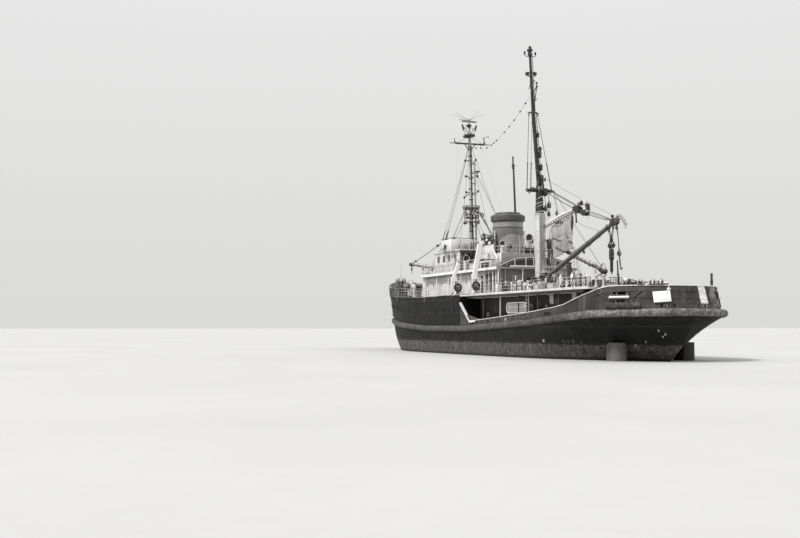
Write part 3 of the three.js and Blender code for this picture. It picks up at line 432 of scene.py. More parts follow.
class Finish:
    """A node material whose patterns are measured in metres of the full-size ship."""

    def __init__(self, name, rough=0.7, metal=0.0, spec=0.5):
        self.m = bpy.data.materials.new(name)
        self.m.use_nodes = True
        self.nt = self.m.node_tree
        self.b = next(n for n in self.nt.nodes if n.type == "BSDF_PRINCIPLED")
        self.b.inputs["Roughness"].default_value = rough
        self.b.inputs["Metallic"].default_value = metal
        self.b.inputs["Specular IOR Level"].default_value = spec
        self.tc = self.node("ShaderNodeTexCoord")
        self.geo = self.node("ShaderNodeNewGeometry")
        self.maps = {}
        MATS[name] = self.m

    def node(self, kind):
        return self.nt.nodes.new(kind)

    def link(self, a, b):
        self.nt.links.new(a, b)

    def put(self, socket, value):
        if hasattr(value, "is_output"):
            self.link(value, socket)
        elif value is not None:
            socket.default_value = value

    def at(self, sx=1.0, sy=1.0, sz=1.0, loc=(0, 0, 0), rot=(0, 0, 0)):
        key = (sx, sy, sz, tuple(loc), tuple(rot))
        if key not in self.maps:
            n = self.node("ShaderNodeMapping")
            n.inputs["Scale"].default_value = (sx / S, sy / S, sz / S)
            n.inputs["Location"].default_value = loc
            n.inputs["Rotation"].default_value = rot
            self.link(self.tc.outputs["Object"], n.inputs["Vector"])
            self.maps[key] = n.outputs[0]
        return self.maps[key]

    def noise(self, scale, detail=4.0, rough=0.55, dist=0.0, at=None):
        n = self.node("ShaderNodeTexNoise")
        n.inputs["Scale"].default_value = scale
        n.inputs["Detail"].default_value = detail
        n.inputs["Roughness"].default_value = rough
        n.inputs["Distortion"].default_value = dist
        self.link(at or self.at(), n.inputs["Vector"])
        return n.outputs["Fac"]

    def cells(self, scale, at=None, feature="F1", out="Distance"):
        n = self.node("ShaderNodeTexVoronoi")
        n.feature = feature
        n.inputs["Scale"].default_value = scale
        self.link(at or self.at(), n.inputs["Vector"])
        return n.outputs[out]

    def wave(self, scale, at=None, direction="Z", dist=0.0, detail=2.0):
        n = self.node("ShaderNodeTexWave")
        n.bands_direction = direction
        n.inputs["Scale"].default_value = scale
        n.inputs["Distortion"].default_value = dist
        n.inputs["Detail"].default_value = detail
        self.link(at or self.at(), n.inputs["Vector"])
        return n.outputs["Fac"]

    def math(self, op, a, b=None, c=None, clamp=False):
        n = self.node("ShaderNodeMath")
        n.operation = op
        n.use_clamp = clamp
        self.put(n.inputs[0], a)
        if b is not None:
            self.put(n.inputs[1], b)
        if c is not None:
            self.put(n.inputs[2], c)
        return n.outputs[0]

    def step(self, v, lo, hi, a=0.0, b=1.0):
        """Smooth change from a at lo to b at hi."""
        n = self.node("ShaderNodeMapRange")
        n.interpolation_type = "SMOOTHSTEP"
        self.put(n.inputs[0], v)
        for i, x in enumerate((lo, hi, a, b)):
            n.inputs[i + 1].default_value = x
        return n.outputs[0]

    def ramp(self, v, stops):
        n = self.node("ShaderNodeValToRGB")
        e = n.color_ramp.elements
        for i, (p, c) in enumerate(stops):
            if i > 1:
                e.new(p)
            e[i].position = p
            e[i].color = (*c, 1) if hasattr(c, "__len__") else (c, c, c, 1)
        self.put(n.inputs[0], v)
        return n.outputs[0]

    def mix(self, f, a, b, blend="MIX"):
        n = self.node("ShaderNodeMix")
        n.data_type = "RGBA"
        n.blend_type = blend
        self.put(n.inputs[0], f)
        self.put(n.inputs[6], rgb(a))
        self.put(n.inputs[7], rgb(b))
        return n.outputs[2]

    def xyz(self):
        if "xyz" not in self.maps:
            n = self.node("ShaderNodeSeparateXYZ")
            self.link(self.at(), n.inputs[0])
            self.maps["xyz"] = (n.outputs[0], n.outputs[1], n.outputs[2])
        return self.maps["xyz"]

    def normal(self):
        if "n" not in self.maps:
            n = self.node("ShaderNodeSeparateXYZ")
            self.link(self.tc.outputs["Normal"], n.inputs[0])
            self.maps["n"] = (n.outputs[0], n.outputs[1], n.outputs[2])
        return self.maps["n"]

    def line(self, v, pitch, width, shift=0.0):
        """Mask of thin lines every pitch along v."""
        f = self.math("FRACT", self.math("ADD", self.math("DIVIDE", v, pitch), shift))
        d = self.math("ABSOLUTE", self.math("SUBTRACT", f, 0.5))
        return self.step(d, 0.5 - width / pitch, 0.5 - 0.3 * width / pitch)

    def seams(self, plate, width=0.035, brick=True):
        """Mask of plate edges along y and z."""
        x, y, z = self.xyz()
        w, h = plate
        rows = self.line(z, h, width)
        if brick:
            k = self.math("FLOOR", self.math("DIVIDE", z, h))
            off = self.math("MULTIPLY", k, 0.37)
            f = self.math("FRACT", self.math("ADD", self.math("DIVIDE", y, w), off))
            d = self.math("ABSOLUTE", self.math("SUBTRACT", f, 0.5))
            cols = self.step(d, 0.5 - width / w, 0.5 - 0.3 * width / w)
        else:
            cols = self.line(y, w, width)
        return self.math("MAXIMUM", rows, cols)

    def bump(self, height, strength=0.4, dist=0.02, base=None):
        n = self.node("ShaderNodeBump")
        n.inputs["Strength"].default_value = strength
        n.inputs["Distance"].default_value = dist * S
        self.put(n.inputs["Height"], height)
        if base is not None:
            self.link(base, n.inputs["Normal"])
        return n.outputs[0]

    def end(self, color, rough=None, normal=None, metal=None):
        self.put(self.b.inputs["Base Color"], rgb(color))
        if rough is not None:
            self.put(self.b.inputs["Roughness"], rough)
        if metal is not None:
            self.put(self.b.inputs["Metallic"], metal)
        if normal is not None:
            self.link(normal, self.b.inputs["Normal"])
        return self.m


def rgb(c):
    if isinstance(c, (int, float)):
        return (c, c, c * 0.985, 1)
    if isinstance(c, (tuple, list)):
        return (*c[:3], 1)
    return c


def warm(v, k=0.04):
    """A nearly neutral tone, a little warm."""
    return (v * (1 + k), v, v * (1 - 1.3 * k))


RUST = (0.082, 0.066, 0.056)
DEEP_RUST = (0.032, 0.026, 0.023)


def paint(name, base, rust=0.35, streak=0.4, dirt=0.4, light=None, dark=None, rough=0.62, metal=0.0, plates=None, seed=0.0,
          scale=1.0, bump=0.5, top=None, colour=None, blister=0.0, late=None):
    """Weathered ship's paint: patches, runs down the plating, rust, a colour on what faces up (grime where darker, a
    painted highlight where lighter), and plate edges.
    """
    f = Finish(name, rough, metal)
    o = (seed * 3.1, seed * 1.7, seed * 2.3)
    x, y, z = f.xyz()
    nz = f.normal()[2]
    base = rgb(base)[:3]
    light = light or tuple(min(0.9, c * 1.9 + 0.02) for c in base)
    dark = dark or tuple(c * 0.45 for c in base)
    body = colour(f) if colour else base
    patch = f.noise(0.55 * scale, 5, 0.6, 0.4, f.at(1, 1, 1, o))
    grain = f.noise(11 * scale, 6, 0.62, 0.0, f.at(1, 1, 1, o))
    runs = f.noise(1.0, 5, 0.62, 0.3, f.at(3.2 * scale, 3.2 * scale, 0.22 * scale, o))
    fine = f.noise(1.0, 4, 0.6, 0.2, f.at(11 * scale, 11 * scale, 0.7 * scale, o))
    c = f.mix(f.step(patch, 0.36, 0.68, 0.0, 0.55), body, f.mix(0.5, body, dark) if not colour else f.mix(0.5, body, 0.02))
    c = f.mix(f.step(grain, 0.35, 0.75, 0.0, 0.35), c, light)
    # light runs and grime runs, on upright faces
    upright = f.step(f.math("ABSOLUTE", nz), 0.85, 0.5)
    lit = f.math("MULTIPLY", f.math("MULTIPLY", f.step(runs, 0.55, 0.72), f.step(fine, 0.35, 0.62)), upright)
    c = f.mix(f.math("MULTIPLY", lit, streak), c, light)
    down = f.math("MULTIPLY", f.math("MULTIPLY", f.step(runs, 0.5, 0.3), f.step(fine, 0.65, 0.4)), upright)
    c = f.mix(f.math("MULTIPLY", down, dirt), c, f.mix(0.35, dark, RUST))
    # colour on flat tops: grime where the top colour is darker, a painted highlight where it is lighter, as on the
    # booms
    flat = f.step(nz, 0.55, 0.9)
    if top is not None:
        c = f.mix(f.math("MULTIPLY", flat, f.step(patch, 0.25, 0.6, 0.75, 1.0)), c, top)
    else:
        c = f.mix(f.math("MULTIPLY", flat, f.step(grain, 0.3, 0.7, 0.25, 0.6)), c, f.mix(0.5, c, warm(0.14, 0.08)))
    # rust: spots, and runs under them
    spots = f.noise(2.1 * scale, 9, 0.68, 0.6, f.at(1, 1, 0.8, (o[0] + 7, o[1], o[2])))
    r = f.step(spots, 0.66 - 0.13 * rust, 0.72 - 0.1 * rust)
    under = f.math("MULTIPLY", f.math("MULTIPLY", f.step(fine, 0.5, 0.66), f.step(spots, 0.44, 0.6)), upright)
    c = f.mix(f.math("MULTIPLY", under, 0.75 * rust, clamp=True), c, f.mix(0.4, RUST, c))
    c = f.mix(f.math("MULTIPLY", r, min(1.0, 0.45 + rust)), c, f.mix(f.step(grain, 0.35, 0.65), DEEP_RUST, RUST))
    h = f.math("ADD", f.math("MULTIPLY", grain, 0.25), f.math("MULTIPLY", r, -0.5))
    h = f.math("ADD", h, f.math("MULTIPLY", patch, 0.4))
    if blister:
        h = f.math("ADD", h, f.math("MULTIPLY", f.noise(1.3, 2, 0.5, 0, f.at(1, 1.6, 1, o)), blister))
    if plates:
        sm = f.seams(plates)
        c = f.mix(f.math("MULTIPLY", sm, 0.55), c, f.mix(0.5, dark, RUST))
        h = f.math("SUBTRACT", h, f.math("MULTIPLY", sm, 0.7))
    if late is not None:
        c = late(f, c)
    rr = f.math("ADD", f.step(grain, 0.3, 0.7, rough - 0.14, rough + 0.16), f.math("MULTIPLY", r, 0.2), clamp=True)
    return f.end(c, rr, f.bump(h, bump, 0.03))


def hull_finish():
    f = Finish("hull_paint_worn", 0.62, 0.0, 0.16)
    x, y, z = f.xyz()
    nx, ny, nz = f.normal()
    patch = f.noise(0.5, 6, 0.62, 0.5)
    grain = f.noise(9, 7, 0.66)
    runs = f.noise(1.0, 5, 0.6, 0.25, f.at(2.6, 2.6, 0.2))
    fine = f.noise(1.0, 4, 0.6, 0.2, f.at(9, 9, 0.5))
    blot = f.noise(1.15, 9, 0.7, 0.9)
    edge = f.math("ADD", z, f.math("MULTIPLY", f.math("SUBTRACT", f.noise(0.8, 6, 0.65, 0.5), 0.5), 0.34))
    # black topsides, with salt runs, scrapes and rust
    top = f.mix(f.step(patch, 0.35, 0.7), (0.0065, 0.0063, 0.0062), (0.0125, 0.0118, 0.011))
    top = f.mix(f.math("MULTIPLY", f.step(runs, 0.54, 0.75), f.step(fine, 0.4, 0.7, 0.0, 0.5)), top, warm(0.036, 0.06))
    top = f.mix(f.step(grain, 0.58, 0.78, 0.0, 0.3), top, warm(0.045, 0.05))
    scrape = f.noise(1.0, 7, 0.7, 0.8, f.at(0.9, 0.9, 3.4))
    top = f.mix(f.step(scrape, 0.64, 0.70, 0.0, 0.7), top, f.mix(f.step(grain, 0.4, 0.6), RUST, warm(0.11, 0.05)))
    top = f.mix(f.math("MULTIPLY", f.step(blot, 0.60, 0.68), f.step(fine, 0.35, 0.6, 0.25, 0.85)), top, f.mix(0.55, DEEP_RUST, RUST))
    # light mottled boot-top
    boot = f.mix(f.step(grain, 0.3, 0.7), warm(0.040, 0.06), warm(0.11, 0.04))
    boot = f.mix(f.step(f.noise(2.6, 8, 0.72, 0.8), 0.50, 0.60), boot, (0.02, 0.019, 0.018))
    boot = f.mix(f.math("MULTIPLY", f.step(runs, 0.5, 0.7), 0.7), boot, warm(0.15, 0.03))
    boot = f.mix(f.step(blot, 0.54, 0.62, 0.0, 0.75), boot, f.mix(0.5, DEEP_RUST, RUST))
    c = f.mix(f.step(edge, 1.20, 1.34), boot, top)
    # wet, weedy line at the water
    wet = f.step(f.math("ADD", z, f.math("MULTIPLY", grain, 0.22)), 0.46, 0.16)
    c = f.mix(wet, c, f.mix(f.step(grain, 0.4, 0.6), (0.012, 0.012, 0.010), (0.026, 0.028, 0.02)))
    # bottom
    low = f.mix(f.step(grain, 0.35, 0.7), (0.075, 0.040, 0.034), (0.12, 0.075, 0.062))
    low = f.mix(f.step(f.noise(1.8, 8, 0.7, 0.6), 0.5, 0.62), low, (0.05, 0.052, 0.04))
    low = f.mix(f.step(f.cells(5.0), 0.22, 0.08, 0.0, 0.6), low, warm(0.26, 0.05))
    c = f.mix(f.step(f.math("ADD", z, f.math("MULTIPLY", grain, 0.15)), -0.02, -0.14), c, low)
    # decks
    flat = f.step(nz, 0.7, 0.93)
    dk = f.mix(f.step(patch, 0.4, 0.65), warm(0.075, 0.06), warm(0.125, 0.07))
    dk = f.mix(f.step(blot, 0.52, 0.63), dk, f.mix(f.step(grain, 0.4, 0.6), DEEP_RUST, RUST))
    c = f.mix(f.math("MULTIPLY", flat, f.step(z, 1.6, 2.0)), c, dk)
    sm = f.seams((7.2, 1.38), 0.03)
    c = f.mix(f.math("MULTIPLY", sm, 0.3), c, warm(0.09, 0.08))
    h = f.math("ADD", f.math("MULTIPLY", grain, 0.3), f.math("MULTIPLY", patch, 0.5))
    h = f.math("SUBTRACT", h, f.math("MULTIPLY", f.step(blot, 0.6, 0.68), 0.35))
    rr = f.step(grain, 0.3, 0.7, 0.5, 0.8)
    f.end(c, rr, f.bump(h, 0.45, 0.03))


def plating_finish():
    """Bulwark plating: dark outside with light runs, pale and stained inside."""
    f = Finish("bulwark_plating", 0.7, 0.0, 0.3)
    x, y, z = f.xyz()
    patch = f.noise(0.7, 6, 0.62, 0.5)
    grain = f.noise(10, 7, 0.66)
    runs = f.noise(1.0, 5, 0.62, 0.25, f.at(2.4, 2.4, 0.16))
    fine = f.noise(1.0, 4, 0.6, 0.2, f.at(10, 10, 0.4))
    blot = f.noise(1.3, 9, 0.7, 0.9)
    out = f.mix(f.step(patch, 0.35, 0.65), warm(0.026, 0.05), warm(0.052, 0.05))
    out = f.mix(f.math("MULTIPLY", f.step(runs, 0.50, 0.70), f.step(fine, 0.35, 0.65, 0.25, 0.9)), out, warm(0.135, 0.05))
    out = f.mix(f.step(grain, 0.55, 0.75, 0.0, 0.35), out, warm(0.14, 0.05))
    out = f.mix(f.math("MULTIPLY", f.step(blot, 0.56, 0.66), f.step(fine, 0.3, 0.6, 0.35, 0.9)), out, f.mix(f.step(grain, 0.4, 0.6), DEEP_RUST, RUST))
    # plain pale patch of paint on the starboard quarter
    wob = f.math("MULTIPLY", f.math("SUBTRACT", f.noise(2.2, 5, 0.6), 0.5), 0.22)
    xx = f.math("ADD", f.math("ADD", x, f.math("MULTIPLY", f.math("SUBTRACT", z, 5.0), 0.12)), wob)
    m = f.math("MULTIPLY", f.step(xx, PATCH[0] - 0.06, PATCH[0] + 0.06), f.step(xx, PATCH[1] + 0.06, PATCH[1] - 0.06))
    m = f.math("MULTIPLY", m, f.math("MULTIPLY", f.step(y, -26.0, -26.6), f.step(f.math("ADD", z, wob), 4.45, 4.62)))
    out = f.mix(f.math("MULTIPLY", m, f.step(grain, 0.28, 0.4, 0.35, 0.97)), out, f.mix(f.step(fine, 0.35, 0.7), warm(0.72, 0.03), warm(0.86, 0.02)))
    m2 = f.math("MULTIPLY", f.step(xx, PATCH[1] + 0.25, PATCH[1] + 0.6), f.math("MULTIPLY", f.step(y, -25.5, -26.0), f.step(patch, 0.44, 0.56)))
    out = f.mix(f.math("MULTIPLY", m2, 0.7), out, warm(0.27, 0.05))
    # which way a face looks, from the middle of the ship
    n = f.node("ShaderNodeVectorMath"); n.operation = "DOT_PRODUCT"
    sub = f.node("ShaderNodeVectorMath"); sub.operation = "ADD"
    f.link(f.at(), sub.inputs[0]); sub.inputs[1].default_value = (0, 20.0, -4.6)
    f.link(sub.outputs[0], n.inputs[0]); f.link(f.tc.outputs["Normal"], n.inputs[1])
    inner = f.step(n.outputs["Value"], 0.15, -0.15)
    ins = f.mix(f.step(patch, 0.4, 0.65), warm(0.36, 0.04), warm(0.24, 0.05))
    ins = f.mix(f.math("MULTIPLY", f.step(fine, 0.5, 0.68), f.step(blot, 0.42, 0.6)), ins, f.mix(0.5, RUST, warm(0.2, 0.1)))
    ins = f.mix(f.step(blot, 0.57, 0.64), ins, f.mix(f.step(grain, 0.4, 0.6), DEEP_RUST, RUST))
    c = f.mix(inner, out, ins)
    sm = f.seams((4.6, 9.0), 0.03, brick=False)
    c = f.mix(f.math("MULTIPLY", sm, 0.6), c, f.mix(0.5, DEEP_RUST, RUST))
    h = f.math("ADD", f.math("MULTIPLY", grain, 0.25), f.math("MULTIPLY", patch, 0.9))
    h = f.math("SUBTRACT", h, f.math("MULTIPLY", sm, 0.6))
    h = f.math("ADD", h, f.math("MULTIPLY", f.wave(0.45, direction="Y", dist=1.5), 0.35))
    f.end(c, f.step(grain, 0.3, 0.7, 0.55, 0.85), f.bump(h, 0.55, 0.04))


PATCH = (1.28, 2.08)
hull_finish()
plating_finish()


def rail_finish():
    f = Finish("rub_rail_worn", 0.7)
    x, y, z = f.xyz()
    grain = f.noise(7, 8, 0.7)
    patch = f.noise(0.9, 6, 0.65, 0.7)
    chafe = f.noise(1.0, 7, 0.72, 0.6, f.at(1.3, 1.3, 5.0))
    fine = f.noise(1.0, 5, 0.65, 0.3, f.at(7, 7, 1.0))
    c = f.mix(f.step(patch, 0.35, 0.62), warm(0.070, 0.04), warm(0.036, 0.05))
    c = f.mix(f.step(chafe, 0.52, 0.62, 0.0, 0.8), c, warm(0.14, 0.03))
    c = f.mix(f.math("MULTIPLY", f.step(fine, 0.5, 0.66), 0.6), c, f.mix(0.5, RUST, (0.06, 0.05, 0.045)))
    c = f.mix(f.step(f.noise(1.9, 9, 0.72, 1.0), 0.57, 0.64, 0.0, 0.85), c, f.mix(f.step(grain, 0.4, 0.6), DEEP_RUST, RUST))
    c = f.mix(f.step(grain, 0.62, 0.78, 0.0, 0.5), c, warm(0.26, 0.02))
    # chafed bare and pale round the stern
    aft = f.mix(f.step(patch, 0.42, 0.56), warm(0.19, 0.03), warm(0.085, 0.04))
    aft = f.mix(f.step(chafe, 0.50, 0.58, 0.0, 0.75), aft, warm(0.27, 0.02))
    aft = f.mix(f.step(f.noise(1.5, 9, 0.75, 1.2), 0.50, 0.58, 0.0, 0.85), aft, warm(0.045, 0.06))
    aft = f.mix(f.math("MULTIPLY", f.step(fine, 0.52, 0.64), 0.7), aft, warm(0.05, 0.06))
    c = f.mix(f.step(y, -24.4, -26.6), c, aft)
    jn = f.math("MULTIPLY", f.line(y, 5.4, 0.05), f.step(y, -27.0, -26.0))
    c = f.mix(jn, c, (0.02, 0.018, 0.016))
    h = f.math("ADD", f.math("MULTIPLY", grain, 0.5), f.math("SUBTRACT", chafe, jn))
    f.end(c, f.step(grain, 0.3, 0.7, 0.55, 0.85), f.bump(h, 0.6, 0.05))


rail_finish()


def deck_side(light):
    def go(f):
        return f.mix(f.step(f.normal()[2], 0.45, 0.8), light, warm(0.125, 0.05))
    return go


def aft_face_painted_shade(light, dark, starboard=None):
    """Light sides, and painted shade on the face that looks aft: a dark tone there, kept light to starboard when
    starboard is given.
    """
    def go(f):
        if starboard:
            return f.mix(f.step(f.normal()[1], -0.6, -0.85), light, f.mix(f.step(f.xyz()[0], 0.15, 0.45), dark, starboard))
        return f.mix(f.step(f.normal()[1], -0.6, -0.85), light, dark)
    return go


# the house's and the casing's faces that look aft take a dark tone as painted shade under the overhangs
paint("house_white", warm(0.66, 0.02), rust=0.25, streak=0.3, dirt=0.4, light=warm(0.80, 0.01), dark=warm(0.25, 0.05), rough=0.55, plates=(2.4, 2.6), seed=21, top=warm(0.16, 0.05),
      colour=aft_face_painted_shade(warm(0.64, 0.02), warm(0.075, 0.04), warm(0.60, 0.02)))
paint("white_worn", warm(0.66, 0.02), rust=0.22, streak=0.25, dirt=0.34, light=warm(0.80, 0.01), dark=warm(0.30, 0.05), rough=0.55, plates=(2.4, 2.6), seed=1, top=warm(0.16, 0.05))
paint("white_trim", warm(0.74, 0.015), rust=0.10, streak=0.3, dirt=0.22, light=warm(0.86, 0.01), dark=warm(0.42, 0.04), rough=0.5, seed=2, scale=1.6)
paint("white_board", warm(0.80, 0.01), rust=0.0, streak=0.3, dirt=0.12, light=warm(0.88, 0.01), dark=warm(0.6, 0.03), rough=0.5, seed=3, scale=1.5)
paint("casing_paint", warm(0.64, 0.02), rust=0.25, streak=0.3, dirt=0.4, light=warm(0.78, 0.01), dark=warm(0.22, 0.05), rough=0.55, plates=(2.4, 2.6), seed=23, top=warm(0.16, 0.05),
      colour=aft_face_painted_shade(warm(0.64, 0.02), warm(0.15, 0.04)))


def one_white_post(f):
    x, y, z = f.xyz()
    d = f.math("ABSOLUTE", f.math("ADD", y, 11.0))
    m = f.math("MULTIPLY", f.step(d, 0.26, 0.22), f.step(z, 5.56, 5.50))
    return f.mix(m, warm(0.045, 0.04), warm(0.70, 0.02))


paint("post_paint", warm(0.30, 0.02), rust=0.2, streak=0.15, dirt=0.25, light=warm(0.20, 0.03), dark=warm(0.02, 0.05), rough=0.55, seed=24, scale=1.6, colour=one_white_post)
paint("deck_worn", warm(0.115, 0.06), rust=0.45, streak=0.0, dirt=0.2, light=warm(0.19, 0.05), dark=warm(0.05, 0.06), rough=0.75, seed=4, plates=None, colour=deck_side(warm(0.66, 0.02)))
paint("grey_gear", warm(0.25, 0.03), rust=0.35, streak=0.4, dirt=0.4, light=warm(0.42, 0.02), dark=warm(0.09, 0.05), rough=0.55, seed=5, scale=1.8)
paint("pale_gear", warm(0.50, 0.03), rust=0.3, streak=0.4, dirt=0.5, light=warm(0.68, 0.02), dark=warm(0.18, 0.06), rough=0.55, seed=6, scale=1.8)
paint("dark_gear", warm(0.040, 0.05), rust=0.45, streak=0.4, dirt=0.2, light=warm(0.12, 0.05), dark=warm(0.015, 0.05), rough=0.6, metal=0.15, seed=7, scale=1.8)
paint("black_paint", warm(0.016, 0.03), rust=0.3, streak=0.45, dirt=0.1, light=warm(0.07, 0.05), dark=warm(0.008, 0.0), rough=0.5, seed=8, scale=1.4)
# dark paint; the same material also stands as painted shade on the starboard rudder horn and under the wheelhouse
# roof's after edge
paint("house_dark_and_painted_shade", warm(0.030, 0.05), rust=0.5, streak=0.45, dirt=0.3, light=warm(0.075, 0.05), dark=warm(0.012, 0.05), rough=0.7, seed=9, plates=(2.4, 2.7))
# near-black walls, doors and frames of the side passage: painted shade of the deep passage under the deck's overhang
paint("passage_painted_shade", warm(0.038, 0.04), rust=0.5, streak=0.4, dirt=0.5, light=warm(0.085, 0.05), dark=warm(0.013, 0.05), rough=0.7, seed=10, plates=(2.4, 2.7))
# the booms' top colours are lighter than their sides: a painted highlight on the faces that look up
paint("boom_dark", warm(0.095, 0.03), rust=0.3, streak=0.3, dirt=0.2, light=warm(0.22, 0.03), dark=warm(0.022, 0.04), rough=0.5, seed=11, scale=1.6, top=warm(0.24, 0.02))
paint("boom_pale", warm(0.14, 0.03), rust=0.35, streak=0.3, dirt=0.35, light=warm(0.30, 0.02), dark=warm(0.07, 0.05), rough=0.5, seed=12, scale=1.6, top=warm(0.44, 0.02))
paint("bilge_paint", (0.085, 0.047, 0.04), rust=0.5, streak=0.2, dirt=0.2, light=(0.15, 0.11, 0.09), dark=(0.03, 0.025, 0.02), rough=0.8, seed=13)
paint("horn_paint", warm(0.105, 0.05), rust=0.6, streak=0.6, dirt=0.7, light=warm(0.27, 0.04), dark=warm(0.02, 0.06), rough=0.75, seed=14, scale=2.4)


def banded(stops, soft=0.06):
    """Bands of paint by height. stops: (height, tone) from the bottom up."""
    def go(f):
        z = f.xyz()[2]
        wob = f.math("ADD", z, f.math("MULTIPLY", f.math("SUBTRACT", f.noise(6, 4), 0.5), 0.08))
        c = rgb(stops[0][1])
        for h, tone in stops[1:]:
            c = f.mix(f.step(wob, h - soft, h + soft), c, tone)
        return c
    return go


paint("mast_bands", warm(0.40, 0.02), rust=0.25, streak=0.5, dirt=0.35, light=warm(0.58, 0.02), dark=warm(0.10, 0.05), rough=0.5, seed=15,
      colour=banded([(0, warm(0.52, 0.02)), (13.72, warm(0.018, 0.02))]), scale=1.2,
      late=lambda f, c: f.mix(f.step(f.xyz()[2], 13.68, 13.76), c, f.mix(1.0, c, warm(0.22, 0.0), "MULTIPLY")))
paint("foremast_paint", warm(0.34, 0.02), rust=0.3, streak=0.4, dirt=0.5, light=warm(0.52, 0.02), dark=warm(0.10, 0.04), rough=0.55, seed=16,
      colour=banded([(0, warm(0.42, 0.02)), (22.6, warm(0.30, 0.02)), (23.9, warm(0.08, 0.03))]), scale=1.6)


def funnel_colour(f):
    x, y, z = f.xyz()
    wob = f.math("ADD", z, f.math("MULTIPLY", f.math("SUBTRACT", f.noise(5, 5), 0.5), 0.10))
    c = f.mix(f.step(wob, 12.93, 12.99), warm(0.165, 0.02), warm(0.30, 0.02))
    c = f.mix(f.step(wob, 13.50, 13.58), c, warm(0.022, 0.02))
    # plain faded patch on the after side: no mark, only weathered lighter paint
    ang = math.radians(FADE[0])
    u = f.math("ADD", f.math("MULTIPLY", x, math.cos(ang)), f.math("MULTIPLY", f.math("SUBTRACT", y, FUNNEL_Y), math.sin(ang)))
    d = f.math("SQRT", f.math("ADD", f.math("POWER", f.math("DIVIDE", u, FADE[2]), 2.0), f.math("POWER", f.math("DIVIDE", f.math("SUBTRACT", z, FADE[1]), FADE[3]), 2.0)))
    side = f.math("SUBTRACT", f.math("MULTIPLY", f.math("SUBTRACT", y, FUNNEL_Y), math.cos(ang)), f.math("MULTIPLY", x, math.sin(ang)))
    d = f.math("ADD", d, f.math("MULTIPLY", f.math("SUBTRACT", f.noise(2.4, 6, 0.65), 0.5), 0.22))
    m = f.math("MULTIPLY", f.step(d, 1.03, 0.93), f.step(side, 0.0, -0.3))
    return f.mix(m, c, f.mix(f.step(f.noise(3.5, 7, 0.68), 0.4, 0.65), warm(0.40, 0.03), warm(0.52, 0.02)))


FADE = (-10.0, 11.05, 1.28, 1.2)
paint("funnel_paint_worn", warm(0.17, 0.02), rust=0.12, streak=0.3, dirt=0.25, light=warm(0.34, 0.02), dark=warm(0.08, 0.02), rough=0.55, seed=17, colour=funnel_colour)


